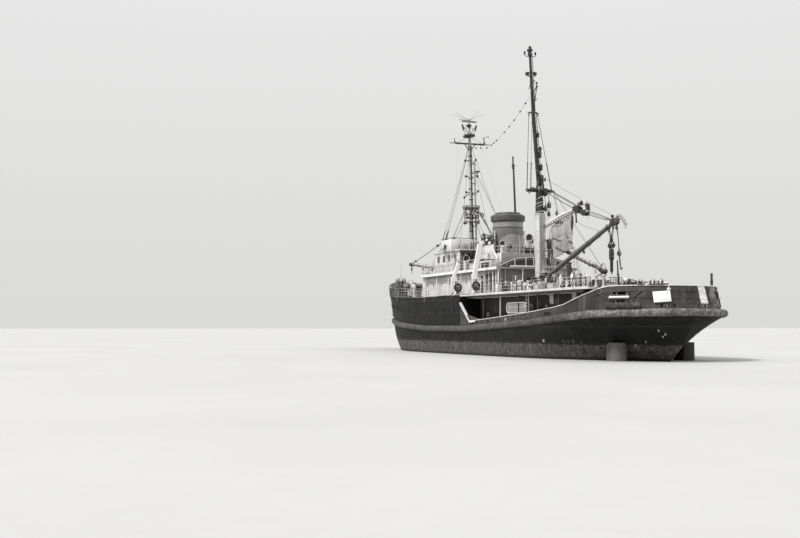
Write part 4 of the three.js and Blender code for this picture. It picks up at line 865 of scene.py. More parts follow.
def simple_finishes():
    f = Finish("wire_rope", 0.55, 0.5)
    g = f.noise(30, 3)
    tw = f.wave(14, f.at(1, 1, 1, rot=(0.6, 0.5, 0.3)), "DIAGONAL")
    c = f.mix(f.step(g, 0.4, 0.7), warm(0.03, 0.05), warm(0.085, 0.08))
    f.end(f.mix(f.step(f.noise(3, 6), 0.55, 0.65, 0, 0.7), c, RUST), f.step(g, 0.3, 0.7, 0.45, 0.7), f.bump(tw, 0.5, 0.01))

    f = Finish("fibre_rope", 0.9)
    g = f.noise(26, 4)
    tw = f.wave(9, f.at(1, 1, 1, rot=(0.5, 0.7, 0.2)), "DIAGONAL", 0.4)
    c = f.mix(f.step(tw, 0.2, 0.8), warm(0.20, 0.07), warm(0.36, 0.06))
    f.end(f.mix(f.step(g, 0.4, 0.7, 0, 0.6), c, warm(0.14, 0.08)), 0.92, f.bump(tw, 0.8, 0.02))

    f = Finish("pale_rope", 0.9)
    g = f.noise(26, 4)
    tw = f.wave(9, f.at(1, 1, 1, rot=(0.5, 0.7, 0.2)), "DIAGONAL", 0.4)
    c = f.mix(f.step(tw, 0.2, 0.8), warm(0.42, 0.05), warm(0.66, 0.03))
    f.end(f.mix(f.step(g, 0.4, 0.7, 0, 0.6), c, warm(0.30, 0.06)), 0.92, f.bump(tw, 0.8, 0.02))

    f = Finish("window_glass", 0.12, 0.0, 0.6)
    g = f.noise(2.0, 5, 0.6)
    x, y, z = f.xyz()
    grime = f.noise(1.0, 5, 0.6, 0.2, f.at(6, 6, 1.2))
    c = f.mix(f.step(g, 0.35, 0.7), (0.010, 0.012, 0.013), (0.035, 0.038, 0.040))
    c = f.mix(f.step(grime, 0.56, 0.75, 0, 0.5), c, warm(0.16, 0.04))
    f.end(c, f.math("ADD", f.step(grime, 0.45, 0.75, 0.08, 0.55), 0.0), f.bump(g, 0.12, 0.02))

    f = Finish("lamp_glass", 0.18, 0.0, 0.6)
    g = f.noise(9, 4)
    f.end(f.mix(f.step(g, 0.35, 0.7), warm(0.36, 0.02), warm(0.62, 0.02)), f.step(g, 0.3, 0.7, 0.12, 0.35), f.bump(f.wave(7, direction="Z"), 0.4, 0.01))

    f = Finish("port_lamp", 0.2)
    g = f.noise(9, 4)
    f.end(f.mix(f.step(g, 0.35, 0.7), (0.16, 0.02, 0.015), (0.26, 0.05, 0.035)), f.step(g, 0.3, 0.7, 0.15, 0.4), f.bump(g, 0.2, 0.01))
    f = Finish("starboard_lamp", 0.2)
    g = f.noise(9, 4)
    f.end(f.mix(f.step(g, 0.35, 0.7), (0.02, 0.12, 0.06), (0.05, 0.22, 0.12)), f.step(g, 0.3, 0.7, 0.15, 0.4), f.bump(g, 0.2, 0.01))

    f = Finish("screw_bronze_worn", 0.4, 0.85)
    g = f.noise(6, 7, 0.65)
    c = f.mix(f.step(g, 0.35, 0.65), (0.30, 0.22, 0.11), (0.42, 0.33, 0.18))
    c = f.mix(f.step(f.noise(2.5, 8, 0.7), 0.5, 0.62, 0, 0.85), c, (0.10, 0.16, 0.12))
    f.end(c, f.step(g, 0.3, 0.7, 0.3, 0.65), f.bump(g, 0.3, 0.02))

    f = Finish("rubber_worn", 0.85)
    g = f.noise(12, 6, 0.65)
    c = f.mix(f.step(g, 0.35, 0.7), warm(0.018, 0.02), warm(0.055, 0.04))
    f.end(f.mix(f.step(f.noise(1.6, 6), 0.52, 0.68, 0, 0.6), c, warm(0.13, 0.05)), 0.85, f.bump(g, 0.5, 0.02))

    f = Finish("canvas_worn", 0.95)
    g = f.noise(3, 6, 0.6, 0.4)
    wv = f.math("MULTIPLY", f.wave(22, direction="X"), f.wave(22, direction="Z"))
    c = f.mix(f.step(g, 0.35, 0.7), warm(0.24, 0.05), warm(0.42, 0.04))
    c = f.mix(f.step(wv, 0.2, 0.8, 0, 0.25), c, warm(0.13, 0.06))
    c = f.mix(f.step(f.noise(1.0, 5, 0.6, 0.2, f.at(4, 4, 0.6)), 0.55, 0.7, 0, 0.6), c, warm(0.11, 0.08))
    f.end(c, 0.95, f.bump(f.math("ADD", wv, f.math("MULTIPLY", g, 3.0)), 0.7, 0.03))

    f = Finish("plank_wood", 0.85)
    g = f.noise(1.0, 6, 0.62, 0.6, f.at(14, 1.2, 14))
    pl = f.line(f.xyz()[0], 0.22, 0.018)
    c = f.mix(f.step(g, 0.3, 0.7), (0.115, 0.092, 0.07), (0.24, 0.205, 0.165))
    c = f.mix(f.step(f.noise(0.8, 6), 0.5, 0.68, 0, 0.5), c, warm(0.085, 0.08))
    f.end(f.mix(pl, c, (0.02, 0.018, 0.016)), 0.85, f.bump(f.math("SUBTRACT", g, pl), 0.5, 0.02))

    f = Finish("life_ring", 0.6)
    g = f.noise(14, 5)
    c = f.mix(f.step(g, 0.35, 0.7), (0.22, 0.055, 0.03), (0.34, 0.11, 0.06))
    f.end(c, f.step(g, 0.3, 0.7, 0.5, 0.75), f.bump(g, 0.4, 0.01))

    f = Finish("zinc_grey", 0.45, 0.5)
    g = f.cells(16, out="Distance")
    h = f.noise(4, 6)
    c = f.mix(f.step(g, 0.1, 0.6), warm(0.26, 0.0), warm(0.40, 0.01))
    c = f.mix(f.step(h, 0.55, 0.68, 0, 0.7), c, RUST)
    f.end(c, f.step(h, 0.3, 0.7, 0.35, 0.65), f.bump(h, 0.3, 0.01))

    f = Finish("heavy_rust", 0.9, 0.1)
    g = f.noise(8, 9, 0.72)
    h = f.noise(1.6, 6, 0.65, 0.7)
    c = f.mix(f.step(g, 0.3, 0.7), DEEP_RUST, RUST)
    c = f.mix(f.step(h, 0.5, 0.7, 0, 0.5), c, warm(0.17, 0.16))
    f.end(c, f.step(g, 0.3, 0.7, 0.8, 0.97), f.bump(f.math("ADD", g, h), 0.8, 0.03))

    f = Finish("pale_floor", 0.75)
    g = f.noise(0.05, 5, 0.55)
    h = f.noise(1.5, 4, 0.5)
    c = f.mix(f.step(g, 0.3, 0.7), warm(0.47, 0.008), warm(0.51, 0.008))
    f.end(f.mix(f.step(h, 0.3, 0.7, 0, 0.15), c, warm(0.44, 0.01)), 0.8)


simple_finishes()


def fold_painted_shade(light, dark):
    """Weathered cloth, with painted shade along its deepest folds."""
    def go(f):
        x, y, z = f.xyz()
        c = f.mix(f.step(f.noise(0.9, 5, 0.6, 0.4), 0.38, 0.62), light, warm(0.40, 0.03))
        # dark lines along each fold: painted shade in the creases
        for (y0, z0), (y1, z1), w in (((-8.75, 11.35), (-10.5, 10.9), 0.15), ((-9.5, 10.38), (-11.6, 9.66), 0.17), ((-11.2, 11.55), (-12.2, 10.6), 0.14), ((-10.06, 12.35), (-10.34, 11.35), 0.06), ((-9.6, 12.78), (-10.7, 12.66), 0.15), ((-8.8, 12.2), (-9.0, 9.9), 0.1)):
            dy, dz = y1 - y0, z1 - z0
            n = dy * dy + dz * dz
            a = f.math("SUBTRACT", y, y0)
            b = f.math("SUBTRACT", z, z0)
            t = f.math("ADD", f.math("MULTIPLY", a, dy / n), f.math("MULTIPLY", b, dz / n))
            t = f.math("MINIMUM", f.math("MAXIMUM", t, 0.0), 1.0)
            u = f.math("SUBTRACT", a, f.math("MULTIPLY", t, dy))
            v = f.math("SUBTRACT", b, f.math("MULTIPLY", t, dz))
            d = f.math("SQRT", f.math("ADD", f.math("MULTIPLY", u, u), f.math("MULTIPLY", v, v)))
            c = f.mix(f.step(d, w, w * 0.25), c, dark)
        return c
    return go


paint("cloth_pale", warm(0.34, 0.03), rust=0.0, streak=0.25, dirt=0.2, light=warm(0.44, 0.03), dark=warm(0.14, 0.04), rough=0.95, seed=31, plates=None, colour=fold_painted_shade(warm(0.30, 0.03), warm(0.045, 0.05)))


# ------------------------------------------------------------------ small fittings, used in several places
def rail(k, path, h=1.0, rails=(0.36, 0.68, 1.0), every=1.3, r=0.022, mat="pale_gear", post=0.028, ends=True):
    """Guard rail along deck points: stanchions with ball joints, and round rails."""
    p = np.asarray(path, float)
    seg = np.linalg.norm(np.diff(p, axis=0), axis=1)
    cum = np.concatenate([[0], np.cumsum(seg)])
    n = max(1, int(round(cum[-1] / every)))
    for i in range(n + 1):
        d = cum[-1] * i / n
        q = np.array([np.interp(d, cum, p[:, j]) for j in range(3)])
        if not ends and i in (0, n):
            continue
        bend = RNG.uniform(-0.02, 0.02)
        k.rod(q, q + (bend, bend, h * rails[-1]), post, mat, 6, post * 0.85)
        k.lathe(q, (0, 0, 1), [(0, 0), (0.075, 0), (0.075, 0.03), (0.035, 0.06), (0, 0.07)], mat, 8)
        for z in rails:
            k.ball(q + (0, 0, h * z), post * 1.55, mat, 6)
    for z in rails:
        pts = [p[0] + (0, 0, h * z)]
        for a, b in zip(p[:-1], p[1:]):
            m = max(1, int(np.linalg.norm(b - a) / 1.3))
            for j in range(1, m + 1):
                pts.append(a + (b - a) * j / m + (0, 0, h * z + (RNG.uniform(-0.012, 0.012) if j < m else 0)))
        k.tube(pts, r if z < rails[-1] else r * 1.2, mat, 6)


def ladder(k, a, b, w=0.4, across=(1, 0, 0), step=0.3, r=0.022, mat="pale_gear", rung=0.014):
    """Two stiles with round rungs."""
    a, b, c = np.asarray(a, float), np.asarray(b, float), unit(across) * w / 2
    k.rod(a - c, b - c, r, mat, 6)
    k.rod(a + c, b + c, r, mat, 6)
    n = int(np.linalg.norm(b - a) / step)
    for i in range(1, n + 1):
        q = a + (b - a) * (i / (n + 0.5))
        k.rod(q - c, q + c, rung, mat, 5)


def steps(k, a, b, w=0.62, across=(1, 0, 0), mat="grey_gear"):
    """Sloping ship's ladder with flat treads and hand rails."""
    a, b, c = np.asarray(a, float), np.asarray(b, float), unit(across) * w / 2
    for s in (-1, 1):
        k.bar(a + s * c, b + s * c, 0.035, 0.16, mat)
        o = s * unit(across) * 0.02 + np.array([0, 0, 0.85])
        k.tube([a + s * c, a + s * c + o, b + s * c + o, b + s * c], 0.02, "pale_gear", 6)
        m = (a + b) / 2
        k.rod(m + s * c, m + s * c + o, 0.016, "pale_gear", 6)
    n = max(3, int(abs(b[2] - a[2]) / 0.24))
    flat = unit((b - a) * (1, 1, 0))
    for i in range(1, n):
        q = a + (b - a) * i / n
        k.box(q, (w - 0.03, 0.2, 0.025), mat, np.array([unit(across), flat, (0, 0, 1)]).T, 0.006)


def port(k, c, n, r=0.17, glass="window_glass", rim="white_trim", ledge=True, out=0.0):
    """Round porthole: a turned rim with bolts, a domed glass and an eyebrow over it."""
    c, n = np.asarray(c, float), unit(n)
    c = c + n * out
    k.lathe(c, n, [(0, 0.004), (r * 0.98, 0.004), (r * 1.0, 0.02), (r * 0.6, 0.03), (0, 0.034)], glass, 14)
    k.lathe(c, n, [(r * 0.98, -0.01), (r * 0.98, 0.045), (r * 1.08, 0.058), (r * 1.3, 0.05), (r * 1.36, 0.0), (r * 1.36, -0.01)], rim, 16, closed=True)
    u, v, w = basis(n)
    for i in range(6):
        a = math.pi / 6 + i * math.pi / 3
        k.lathe(c + (math.cos(a) * u + math.sin(a) * v) * r * 1.19, n, [(0, 0.02), (0.016, 0.02), (0.016, 0.064), (0, 0.07)], rim, 6)
    if ledge:
        k.ring(c + n * 0.03 + np.array([0, 0, 0.0]), n, r * 1.55, 0.02, rim, 8, 5, (35, 145) if abs(np.dot(v, (0, 0, 1))) > 0.5 else (35, 145))


def pane(k, c, n, w, h, frame_="white_trim", glass="window_glass", depth=0.05, bars=0):
    """Rectangular window: frame with bars, glass and a drip ledge."""
    c, n = np.asarray(c, float), unit(n)
    up = np.array([0, 0, 1.0])
    u = unit(np.cross(up, n))
    R = np.array([u, n, up]).T
    k.box(c - n * 0.01, (w - 0.02, 0.02, h - 0.02), glass, R, 0.005)
    t = 0.055
    for s in (-1, 1):
        k.box(c + u * s * (w / 2), (t, depth, h + t), frame_, R, 0.012)
        k.box(c + up * s * (h / 2), (w - t, depth, t), frame_, R, 0.012)
    k.box(c + up * (h / 2 + 0.07) + n * 0.03, (w + 0.12, 0.07, 0.02), frame_, R, 0.005)
    for i in range(bars):
        k.box(c + u * (w * ((i + 1) / (bars + 1) - 0.5)), (0.03, depth * 0.8, h - t), frame_, R, 0.006)


def cowl(k, c, h, r, heading, mat="pale_gear", inner="dark_gear"):
    """Cowl ventilator: pipe with bands, and a flared mouth that faces heading in degrees from the bow."""
    c = np.asarray(c, float)
    a = math.radians(heading)
    d = np.array([math.sin(a), math.cos(a), 0])
    k.lathe(c, (0, 0, 1), [(0, 0), (r * 1.5, 0), (r * 1.5, 0.03), (r * 1.05, 0.06), (r, 0.1), (r, h * 0.5), (r * 1.08, h * 0.5 + 0.01), (r * 1.08, h * 0.5 + 0.05), (r, h * 0.5 + 0.06), (r, h), (0, h)], mat, 14)
    path, rad = [], []
    for i in range(7):
        t = i / 6
        ang = t * math.pi / 2
        path.append(c + (0, 0, h) + d * (r * 1.35 * (1 - math.cos(ang))) + np.array([0, 0, r * 1.35 * math.sin(ang)]))
        rad.append(r * (1 + 0.75 * t ** 2))
    path.append(path[-1] + d * r * 0.35)
    rad.append(r * 1.95)
    k.tube(path, rad, mat, 14, caps=False)
    k.ring(path[-1], d, r * 1.95, r * 0.09, mat, 18)
    k.lathe(path[-1] - d * 0.03, d, [(0, -r * 0.7), (r * 1.1, -r * 0.5), (r * 1.6, -r * 0.15), (r * 1.9, 0.0), (r * 1.85, -0.02), (0, -r * 0.9)], inner, 14)
    for s in (-1, 1):
        k.rod(path[3] + np.cross(d, (0, 0, 1)) * s * r * 1.2, path[3] + np.cross(d, (0, 0, 1)) * s * r * 1.55, 0.015, mat, 5)


def mushroom(k, c, h, r, mat="pale_gear"):
    k.lathe(c, (0, 0, 1), [(0, 0), (r * 1.3, 0), (r * 1.3, 0.03), (r, 0.05), (r, h * 0.7), (r * 0.98, h * 0.72), (r * 1.7, h * 0.74), (r * 1.75, h * 0.82), (r * 1.3, h * 0.95), (r * 0.4, h), (0.03, h + 0.01), (0.03, h + 0.06), (0, h + 0.07)], mat, 16)


def bitts(k, c, turn=0.0, r=0.14, h=0.62, gap=0.62, mat="dark_gear"):
    """Pair of mooring posts on a base plate."""
    c = np.asarray(c, float)
    R = rot_z(turn)
    k.box(c + (0, 0, 0.05), (r * 3, gap + r * 3.6, 0.1), mat, R, 0.03)
    for s in (-1, 1):
        q = c + R @ np.array([0, s * gap / 2, 0])
        k.lathe(q, (0, 0, 1), [(0, 0.05), (r * 1.25, 0.09), (r, 0.16), (r * 0.97, h * 0.45), (r, h - 0.12), (r * 1.22, h - 0.08), (r * 1.22, h - 0.02), (r * 0.9, h), (0, h + 0.01)], mat, 14)
    k.rod(c + R @ np.array([-r * 1.7, 0, h * 0.55]), c + R @ np.array([r * 1.7, 0, h * 0.55]), 0.035, mat, 6)


def fairlead(k, c, turn=0.0, w=0.5, h=0.42, mat="pale_gear", roll="dark_gear"):
    """Roller fairlead: cheeks, two upright rollers and an arched top."""
    c = np.asarray(c, float)
    R = rot_z(turn)
    k.box(c + (0, 0, 0.04), (w * 1.35, 0.34, 0.08), roll, R, 0.02)
    for s in (-1, 1):
        q = c + R @ np.array([s * w * 0.36, 0, 0])
        k.lathe(q, (0, 0, 1), [(0, 0.06), (0.12, 0.07), (0.09, 0.14), (0.085, h * 0.75), (0.12, h * 0.9), (0, h * 0.92)], roll, 12)
    u, v = R @ np.array([1.0, 0, 0]), np.array([0, 0, 1.0])
    pts = [c + u * (-w * 0.58) + v * 0.05]
    for a in np.radians(np.linspace(180, 0, 9)):
        pts.append(c + u * (w * 0.58 * math.cos(a)) + v * (h * 0.72 + 0.22 * math.sin(a)))
    pts.append(c + u * (w * 0.58) + v * 0.05)
    for s in (-0.1, 0.1):
        k.tube([p + R @ np.array([0, s, 0]) for p in pts], 0.035, mat, 6)


def block(k, c, axis, r=0.2, t=0.16, mat="black_paint", hang=(0, 0, 1), becket=True):
    """Wire block: two cheeks with a rounded outline, a sheave between them, straps, a pin and a shackle."""
    c, w, hg = np.asarray(c, float), unit(axis), unit(hang)
    side = unit(np.cross(hg, w))
    for s in (-1, 1):
        out = [(math.cos(a) * r * 0.92, math.sin(a) * r * 1.12) for a in np.radians(np.linspace(0, 360, 14, endpoint=False))]
        k.prism(out, s * t / 2 - 0.016, s * t / 2 + 0.016, mat, (c, side, hg, w))
        k.bar(c + w * s * (t / 2 + 0.02) - hg * r * 1.05, c + w * s * (t / 2 + 0.02) + hg * r * 1.3, 0.06, 0.02, mat, up=w)
    k.lathe(c, w, [(r * 0.25, -t * 0.32), (r * 0.9, -t * 0.32), (r * 0.74, 0), (r * 0.9, t * 0.32), (r * 0.25, t * 0.32)], "grey_gear", 16, closed=True)
    k.rod(c - w * (t / 2 + 0.05), c + w * (t / 2 + 0.05), 0.035, mat, 8)
    k.ring(c + hg * (r * 1.3 + 0.06), w, 0.085, 0.024, mat, 12)
    if becket:
        k.ring(c - hg * (r * 1.2 + 0.02), w, 0.06, 0.018, mat, 10)


def shackle(k, c, along, r=0.06, t=0.018, mat="dark_gear"):
    c, a = np.asarray(c, float), unit(along)
    u, v, _ = basis(a)
    pts = [c - a * r * 1.4 + u * r]
    for x in np.radians(np.linspace(0, 180, 7)):
        pts.append(c + u * r * math.cos(x) + a * r * math.sin(x))
    pts.append(c - a * r * 1.4 - u * r)
    k.tube(pts, t, mat, 5)
    k.rod(c - a * r * 1.2 - u * r * 1.35, c - a * r * 1.2 + u * r * 1.35, t, mat, 6)


def screw_link(k, a, b, mat="dark_gear"):
    """Rigging screw between two points: a long frame with threaded ends."""
    a, b = np.asarray(a, float), np.asarray(b, float)
    d = unit(b - a)
    u, v, _ = basis(d)
    l = np.linalg.norm(b - a)
    p, q = a + d * l * 0.22, b - d * l * 0.22
    for s in (-1, 1):
        k.rod(p + u * s * 0.04, q + u * s * 0.04, 0.018, mat, 6)
    for m in (p, q):
        k.box(m, (0.13, 0.06, 0.06), mat, np.array([u, v, d]).T, 0.012)
    k.rod(a, p, 0.022, mat, 6)
    k.rod(q, b, 0.022, mat, 6)
    shackle(k, a, -d, 0.045, 0.015, mat)


def lamp(k, c, r=0.12, h=0.26, glass="lamp_glass", mat="dark_gear", guard=True):
    c = np.asarray(c, float)
    k.lathe(c, (0, 0, 1), [(0, 0), (r * 1.1, 0), (r * 1.15, h * 0.16), (r * 0.9, h * 0.2), (0, h * 0.2)], mat, 12)
    k.lathe(c, (0, 0, 1), [(0, h * 0.2), (r * 0.8, h * 0.22), (r * 0.86, h * 0.45), (r * 0.8, h * 0.72), (0, h * 0.74)], glass, 12)
    k.lathe(c, (0, 0, 1), [(0, h * 0.74), (r * 1.0, h * 0.75), (r * 0.75, h * 0.92), (0.025, h), (0, h)], mat, 12)
    if guard:
        for i in range(4):
            a = i * math.pi / 2 + 0.4
            d = np.array([math.cos(a), math.sin(a), 0]) * r * 1.02
            # Gear of the open side decks: ladders, pipes under the deck head, valves, bitts, lockers and lamps.
            k.rod(c + d + (0, 0, h * 0.1), c + d + (0, 0, h * 0.8), 0.008, mat, 4)


def locker(k, c, size, mat="white_worn", turn=0.0, lid=True, trim="grey_gear"):
    """Deck locker: body on feet, an overhanging lid, hinges, hasps and a plinth."""
    c = np.asarray(c, float)
    w, d, h = size
    R = rot_z(turn)
    k.box(c + (0, 0, h * 0.5 + 0.03), (w, d, h - 0.1), mat, R, 0.02)
    k.box(c + (0, 0, 0.04), (w * 0.92, d * 0.88, 0.08), trim, R, 0.01)
    if lid:
        k.box(c + (0, 0, h + 0.0), (w + 0.08, d + 0.08, 0.07), mat, R, 0.025)
    for s in (-1, 1):
        for t in (-1, 1):
            k.box(c + R @ np.array([s * w * 0.3, t * (d / 2 + 0.02), h * 0.88]), (0.07, 0.03, 0.16), trim, R, 0.006)
        k.box(c + R @ np.array([s * (w / 2 + 0.012), 0, h * 0.5]), (0.02, d * 0.7, h * 0.55), mat, R, 0.008)


def drum(k, c, r=0.29, h=0.88, mat="grey_gear", axis=(0, 0, 1)):
    k.lathe(c, axis, [(0, 0.01), (r * 0.93, 0.01), (r * 0.96, 0), (r, 0.01), (r * 0.985, 0.04), (r * 0.985, h * 0.31), (r * 1.03, h * 0.33), (r * 0.985, h * 0.35), (r * 0.985, h * 0.65),
                      (r * 1.03, h * 0.67), (r * 0.985, h * 0.69), (r * 0.985, h - 0.04), (r, h - 0.01), (r * 0.96, h), (r * 0.93, h - 0.02), (0, h - 0.02)], mat, 18)
    u, v, w = basis(axis)
    k.lathe(np.asarray(c, float) + u * r * 0.6 + w * (h - 0.02), axis, [(0, 0), (0.04, 0), (0.04, 0.02), (0, 0.025)], "dark_gear", 8)


def bottle(k, c, r=0.12, h=1.5, mat="grey_gear"):
    """Upright gas bottle with a neck and a cap."""
    k.lathe(c, (0, 0, 1), [(0, 0), (r * 0.9, 0.01), (r, 0.05), (r, h * 0.82), (r * 0.85, h * 0.88), (r * 0.35, h * 0.93), (r * 0.35, h * 0.95), (r * 0.45, h * 0.955), (r * 0.42, h), (0, h + 0.01)], mat, 12)


def wheel(k, c, axis, R=0.2, mat="grey_gear", spokes=5, r=0.016):
    k.ring(c, axis, R, r, mat, 18)
    u, v, w = basis(axis)
    c = np.asarray(c, float)
    k.lathe(c - w * 0.03, axis, [(0, 0), (R * 0.18, 0), (R * 0.18, 0.06), (0, 0.06)], mat, 8)
    for i in range(spokes):
        a = i * 2 * math.pi / spokes + 0.2
        k.rod(c, c + (u * math.cos(a) + v * math.sin(a)) * R, r * 0.75, mat, 5)


def on_stern(a, inset, z):
    """Point on the rounded stern, its outward normal and the direction along it. a < 0: port side."""
    s = -1 if a < 0 else 1
    b, y = stern_point(abs(a))
    b1, y1 = stern_point(abs(a) + 0.5)
    b0, y0 = stern_point(abs(a) - 0.5)
    t = unit((s * (b1 - b0), y1 - y0, 0))
    n = np.array([t[1], -t[0], 0]) if s > 0 else np.array([-t[1], t[0], 0])
    if np.dot(n, (s * b, y - STERN_Y, 0)) < 0:
        n = -n
    return np.array([s * b, y, z]) - n * inset, n, t


RNG = random.Random(7652)


# ------------------------------------------------------------------ camera, light and floor
def stage():
    cam = bpy.data.cameras.new("camera")
    cam.lens, cam.sensor_width, cam.sensor_fit = CAM["lens"], 36.0, "HORIZONTAL"
    cam.clip_start, cam.clip_end = 0.5, 3000
    eye = bpy.data.objects.new("camera", cam)
    bpy.context.scene.collection.objects.link(eye)
    h, p = math.radians(CAM["heading"]), math.radians(CAM["pitch"])
    look = Vector((math.sin(h) * math.cos(p), math.cos(h) * math.cos(p), math.sin(p)))
    eye.location = Vector(CAM["at"]) * S
    eye.rotation_euler = look.to_track_quat("-Z", "Y").to_euler()
    bpy.context.scene.camera = eye

    bpy.ops.mesh.primitive_grid_add(x_subdivisions=24, y_subdivisions=24, size=1600, location=(0, 0, 0))
    floor = bpy.context.object
    floor.name = "floor"
    floor.data.materials.append(MATS["pale_floor"])

    world = bpy.data.worlds.new("studio")
    bpy.context.scene.world = world
    world.use_nodes = True
    bg = world.node_tree.nodes["Background"]
    tc = world.node_tree.nodes.new("ShaderNodeTexCoord")
    sep = world.node_tree.nodes.new("ShaderNodeSeparateXYZ")
    ramp = world.node_tree.nodes.new("ShaderNodeValToRGB")
    world.node_tree.links.new(tc.outputs["Generated"], sep.inputs[0])
    world.node_tree.links.new(sep.outputs[2], ramp.inputs[0])
    world.node_tree.links.new(ramp.outputs[0], bg.inputs[0])
    e = ramp.color_ramp.elements
    e[0].position, e[0].color = 0.0, (0.70, 0.70, 0.69, 1)
    e[1].position, e[1].color = 0.55, (0.90, 0.90, 0.905, 1)
    bg.inputs[1].default_value = LIGHT["sky"]

    for name, energy, angle, az, el in (("key", LIGHT["key"], 9, LIGHT["az"], LIGHT["el"]), ("fill", LIGHT["fill"], 50, LIGHT["az"] + 130, 38)):
        lamp = bpy.data.lights.new(name, "SUN")
        lamp.energy, lamp.angle = energy, math.radians(angle)
        o = bpy.data.objects.new(name, lamp)
        a, el = math.radians(az), math.radians(el)
        back = Vector((math.sin(a) * math.cos(el), -math.cos(a) * math.cos(el), math.sin(el)))
        o.rotation_euler = back.to_track_quat("Z", "Y").to_euler()
        bpy.context.scene.collection.objects.link(o)


CAM = {"lens": 50.0, "heading": 20.0, "pitch": 2.97, "at": (-49.96, -104.9, 2.75)}
LIGHT = {"sky": 1.0, "key": 3.1, "fill": 0.3, "az": -75.0, "el": 48.0}
bpy.context.scene.view_settings.view_transform = "Standard"
stage()


# ------------------------------------------------------------------ finishes of the model's own pieces
def smoothing_group():
    """Joins the split corners of a faceted piece and shades it by angle."""
    g = bpy.data.node_groups.new("weld_and_shade", "GeometryNodeTree")
    g.interface.new_socket("Geometry", in_out="INPUT", socket_type="NodeSocketGeometry")
    g.interface.new_socket("Geometry", in_out="OUTPUT", socket_type="NodeSocketGeometry")
    n = g.nodes
    i, o = n.new("NodeGroupInput"), n.new("NodeGroupOutput")
    rem = n.new("GeometryNodeRemoveAttribute"); rem.inputs["Name"].default_value = "custom_normal"
    weld = n.new("GeometryNodeMergeByDistance"); weld.inputs["Distance"].default_value = 0.00008
    s1 = n.new("GeometryNodeSetShadeSmooth"); s1.domain = "FACE"
    s1.inputs["Shade Smooth"].default_value = True
    s2 = n.new("GeometryNodeSetShadeSmooth"); s2.domain = "EDGE"
    s2.inputs["Shade Smooth"].default_value = False
    ang = n.new("GeometryNodeInputMeshEdgeAngle")
    cmp = n.new("FunctionNodeCompare"); cmp.data_type = "FLOAT"; cmp.operation = "GREATER_THAN"
    cmp.inputs["B"].default_value = math.radians(36)
    s3 = n.new("GeometryNodeSetShadeSmooth"); s3.domain = "EDGE"
    s3.inputs["Shade Smooth"].default_value = True
    L = g.links.new
    L(i.outputs[0], rem.inputs["Geometry"]); L(rem.outputs[0], weld.inputs["Geometry"]); L(weld.outputs[0], s1.inputs["Geometry"])
    L(s1.outputs[0], s3.inputs["Geometry"]); L(s3.outputs[0], s2.inputs["Geometry"])
    L(ang.outputs["Unsigned Angle"], cmp.inputs["A"]); L(cmp.outputs[0], s2.inputs["Selection"]); L(s2.outputs[0], o.inputs[0])
    return g


SHADE = smoothing_group()
# node: (finish, width of the rounded edges in model metres)
NODE_FINISH = {
    "hull": ("hull_paint_worn", 0), "forward_hull": ("hull_paint_worn", 0), "skeg": ("bilge_paint", 0.01),
    # the starboard rudder horn takes the dark material as painted shade, darker than the port horn
    "rudder_horn_port": ("horn_paint", 0.02), "rudder_horn_starboard": ("house_dark_and_painted_shade", 0.02),
    "rudder_port": ("bilge_paint", 0.006), "rudder_starboard": ("bilge_paint", 0.006),
    "propeller_port": ("screw_bronze_worn", 0.004), "propeller_starboard": ("screw_bronze_worn", 0.004),
    "shaft_port": ("bilge_paint", 0.006), "shaft_starboard": ("bilge_paint", 0.006),
    "bilge_keel_port": ("bilge_paint", 0.006), "bilge_keel_starboard": ("bilge_paint", 0.006),
    "rub_rail": ("rub_rail_worn", 0), "side_bulwark_port": ("bulwark_plating", 0), "side_bulwark_starboard": ("bulwark_plating", 0),
    "stern_bulwark": ("bulwark_plating", 0), "bow_bulwark": ("bulwark_plating", 0), "upper_deck": ("deck_worn", 0),
    "main_deck_house": ("passage_painted_shade", 0), "stern_door_port": ("passage_painted_shade", 0.006), "stern_door_starboard": ("passage_painted_shade", 0.006),
    "stanchions_port": ("post_paint", 0.006), "stanchions_starboard": ("post_paint", 0.006),
    "upper_house": ("house_white", 0), "upper_door_port": ("grey_gear", 0.006), "upper_door_starboard": ("grey_gear", 0.006),
    "bridge_deck": ("deck_worn", 0.008), "wheelhouse": ("house_white", 0.008), "wheelhouse_door_port": ("grey_gear", 0.006),
    "wheelhouse_door_starboard": ("grey_gear", 0.006), "open_bridge_deck": ("deck_worn", 0.008), "open_bridge_bulwark": ("white_worn", 0.006),
    "funnel_casing": ("casing_paint", 0.02), "funnel": ("funnel_paint_worn", 0.008), "mainmast": ("mast_bands", 0.01),
    "foremast": ("foremast_paint", 0.008), "kingpost": ("grey_gear", 0.008), "aerial_pole": ("black_paint", 0),
    "main_boom_swivel": ("dark_gear", 0.008), "main_boom": ("boom_dark", 0.01), "main_hook": ("black_paint", 0.01),
    "side_boom_swivel": ("dark_gear", 0.008), "side_boom": ("boom_pale", 0.01), "fore_boom_swivel": ("dark_gear", 0.008),
    "fore_boom": ("boom_pale", 0.01), "boom_crutch": ("pale_gear", 0.01),
    "davit_fore_port": ("white_trim", 0.02), "davit_fore_starboard": ("white_trim", 0.02),
    "davit_aft_port": ("white_trim", 0.02), "davit_aft_starboard": ("white_trim", 0.02),
    "cargo_winch_port": ("dark_gear", 0.008), "cargo_winch_starboard": ("dark_gear", 0.008), "windlass": ("dark_gear", 0.008),
    "capstan": ("dark_gear", 0.012), "hose_reel": ("pale_gear", 0.006), "hatch_coaming": ("dark_gear", 0.008),
    "hatch_cover": ("grey_gear", 0.01), "sign_board": ("white_board", 0.006), "stern_pole": ("grey_gear", 0),
}
missing = sorted(set(NODES) - set(NODE_FINISH))
if missing:
    print("nodes with no finish:", missing)
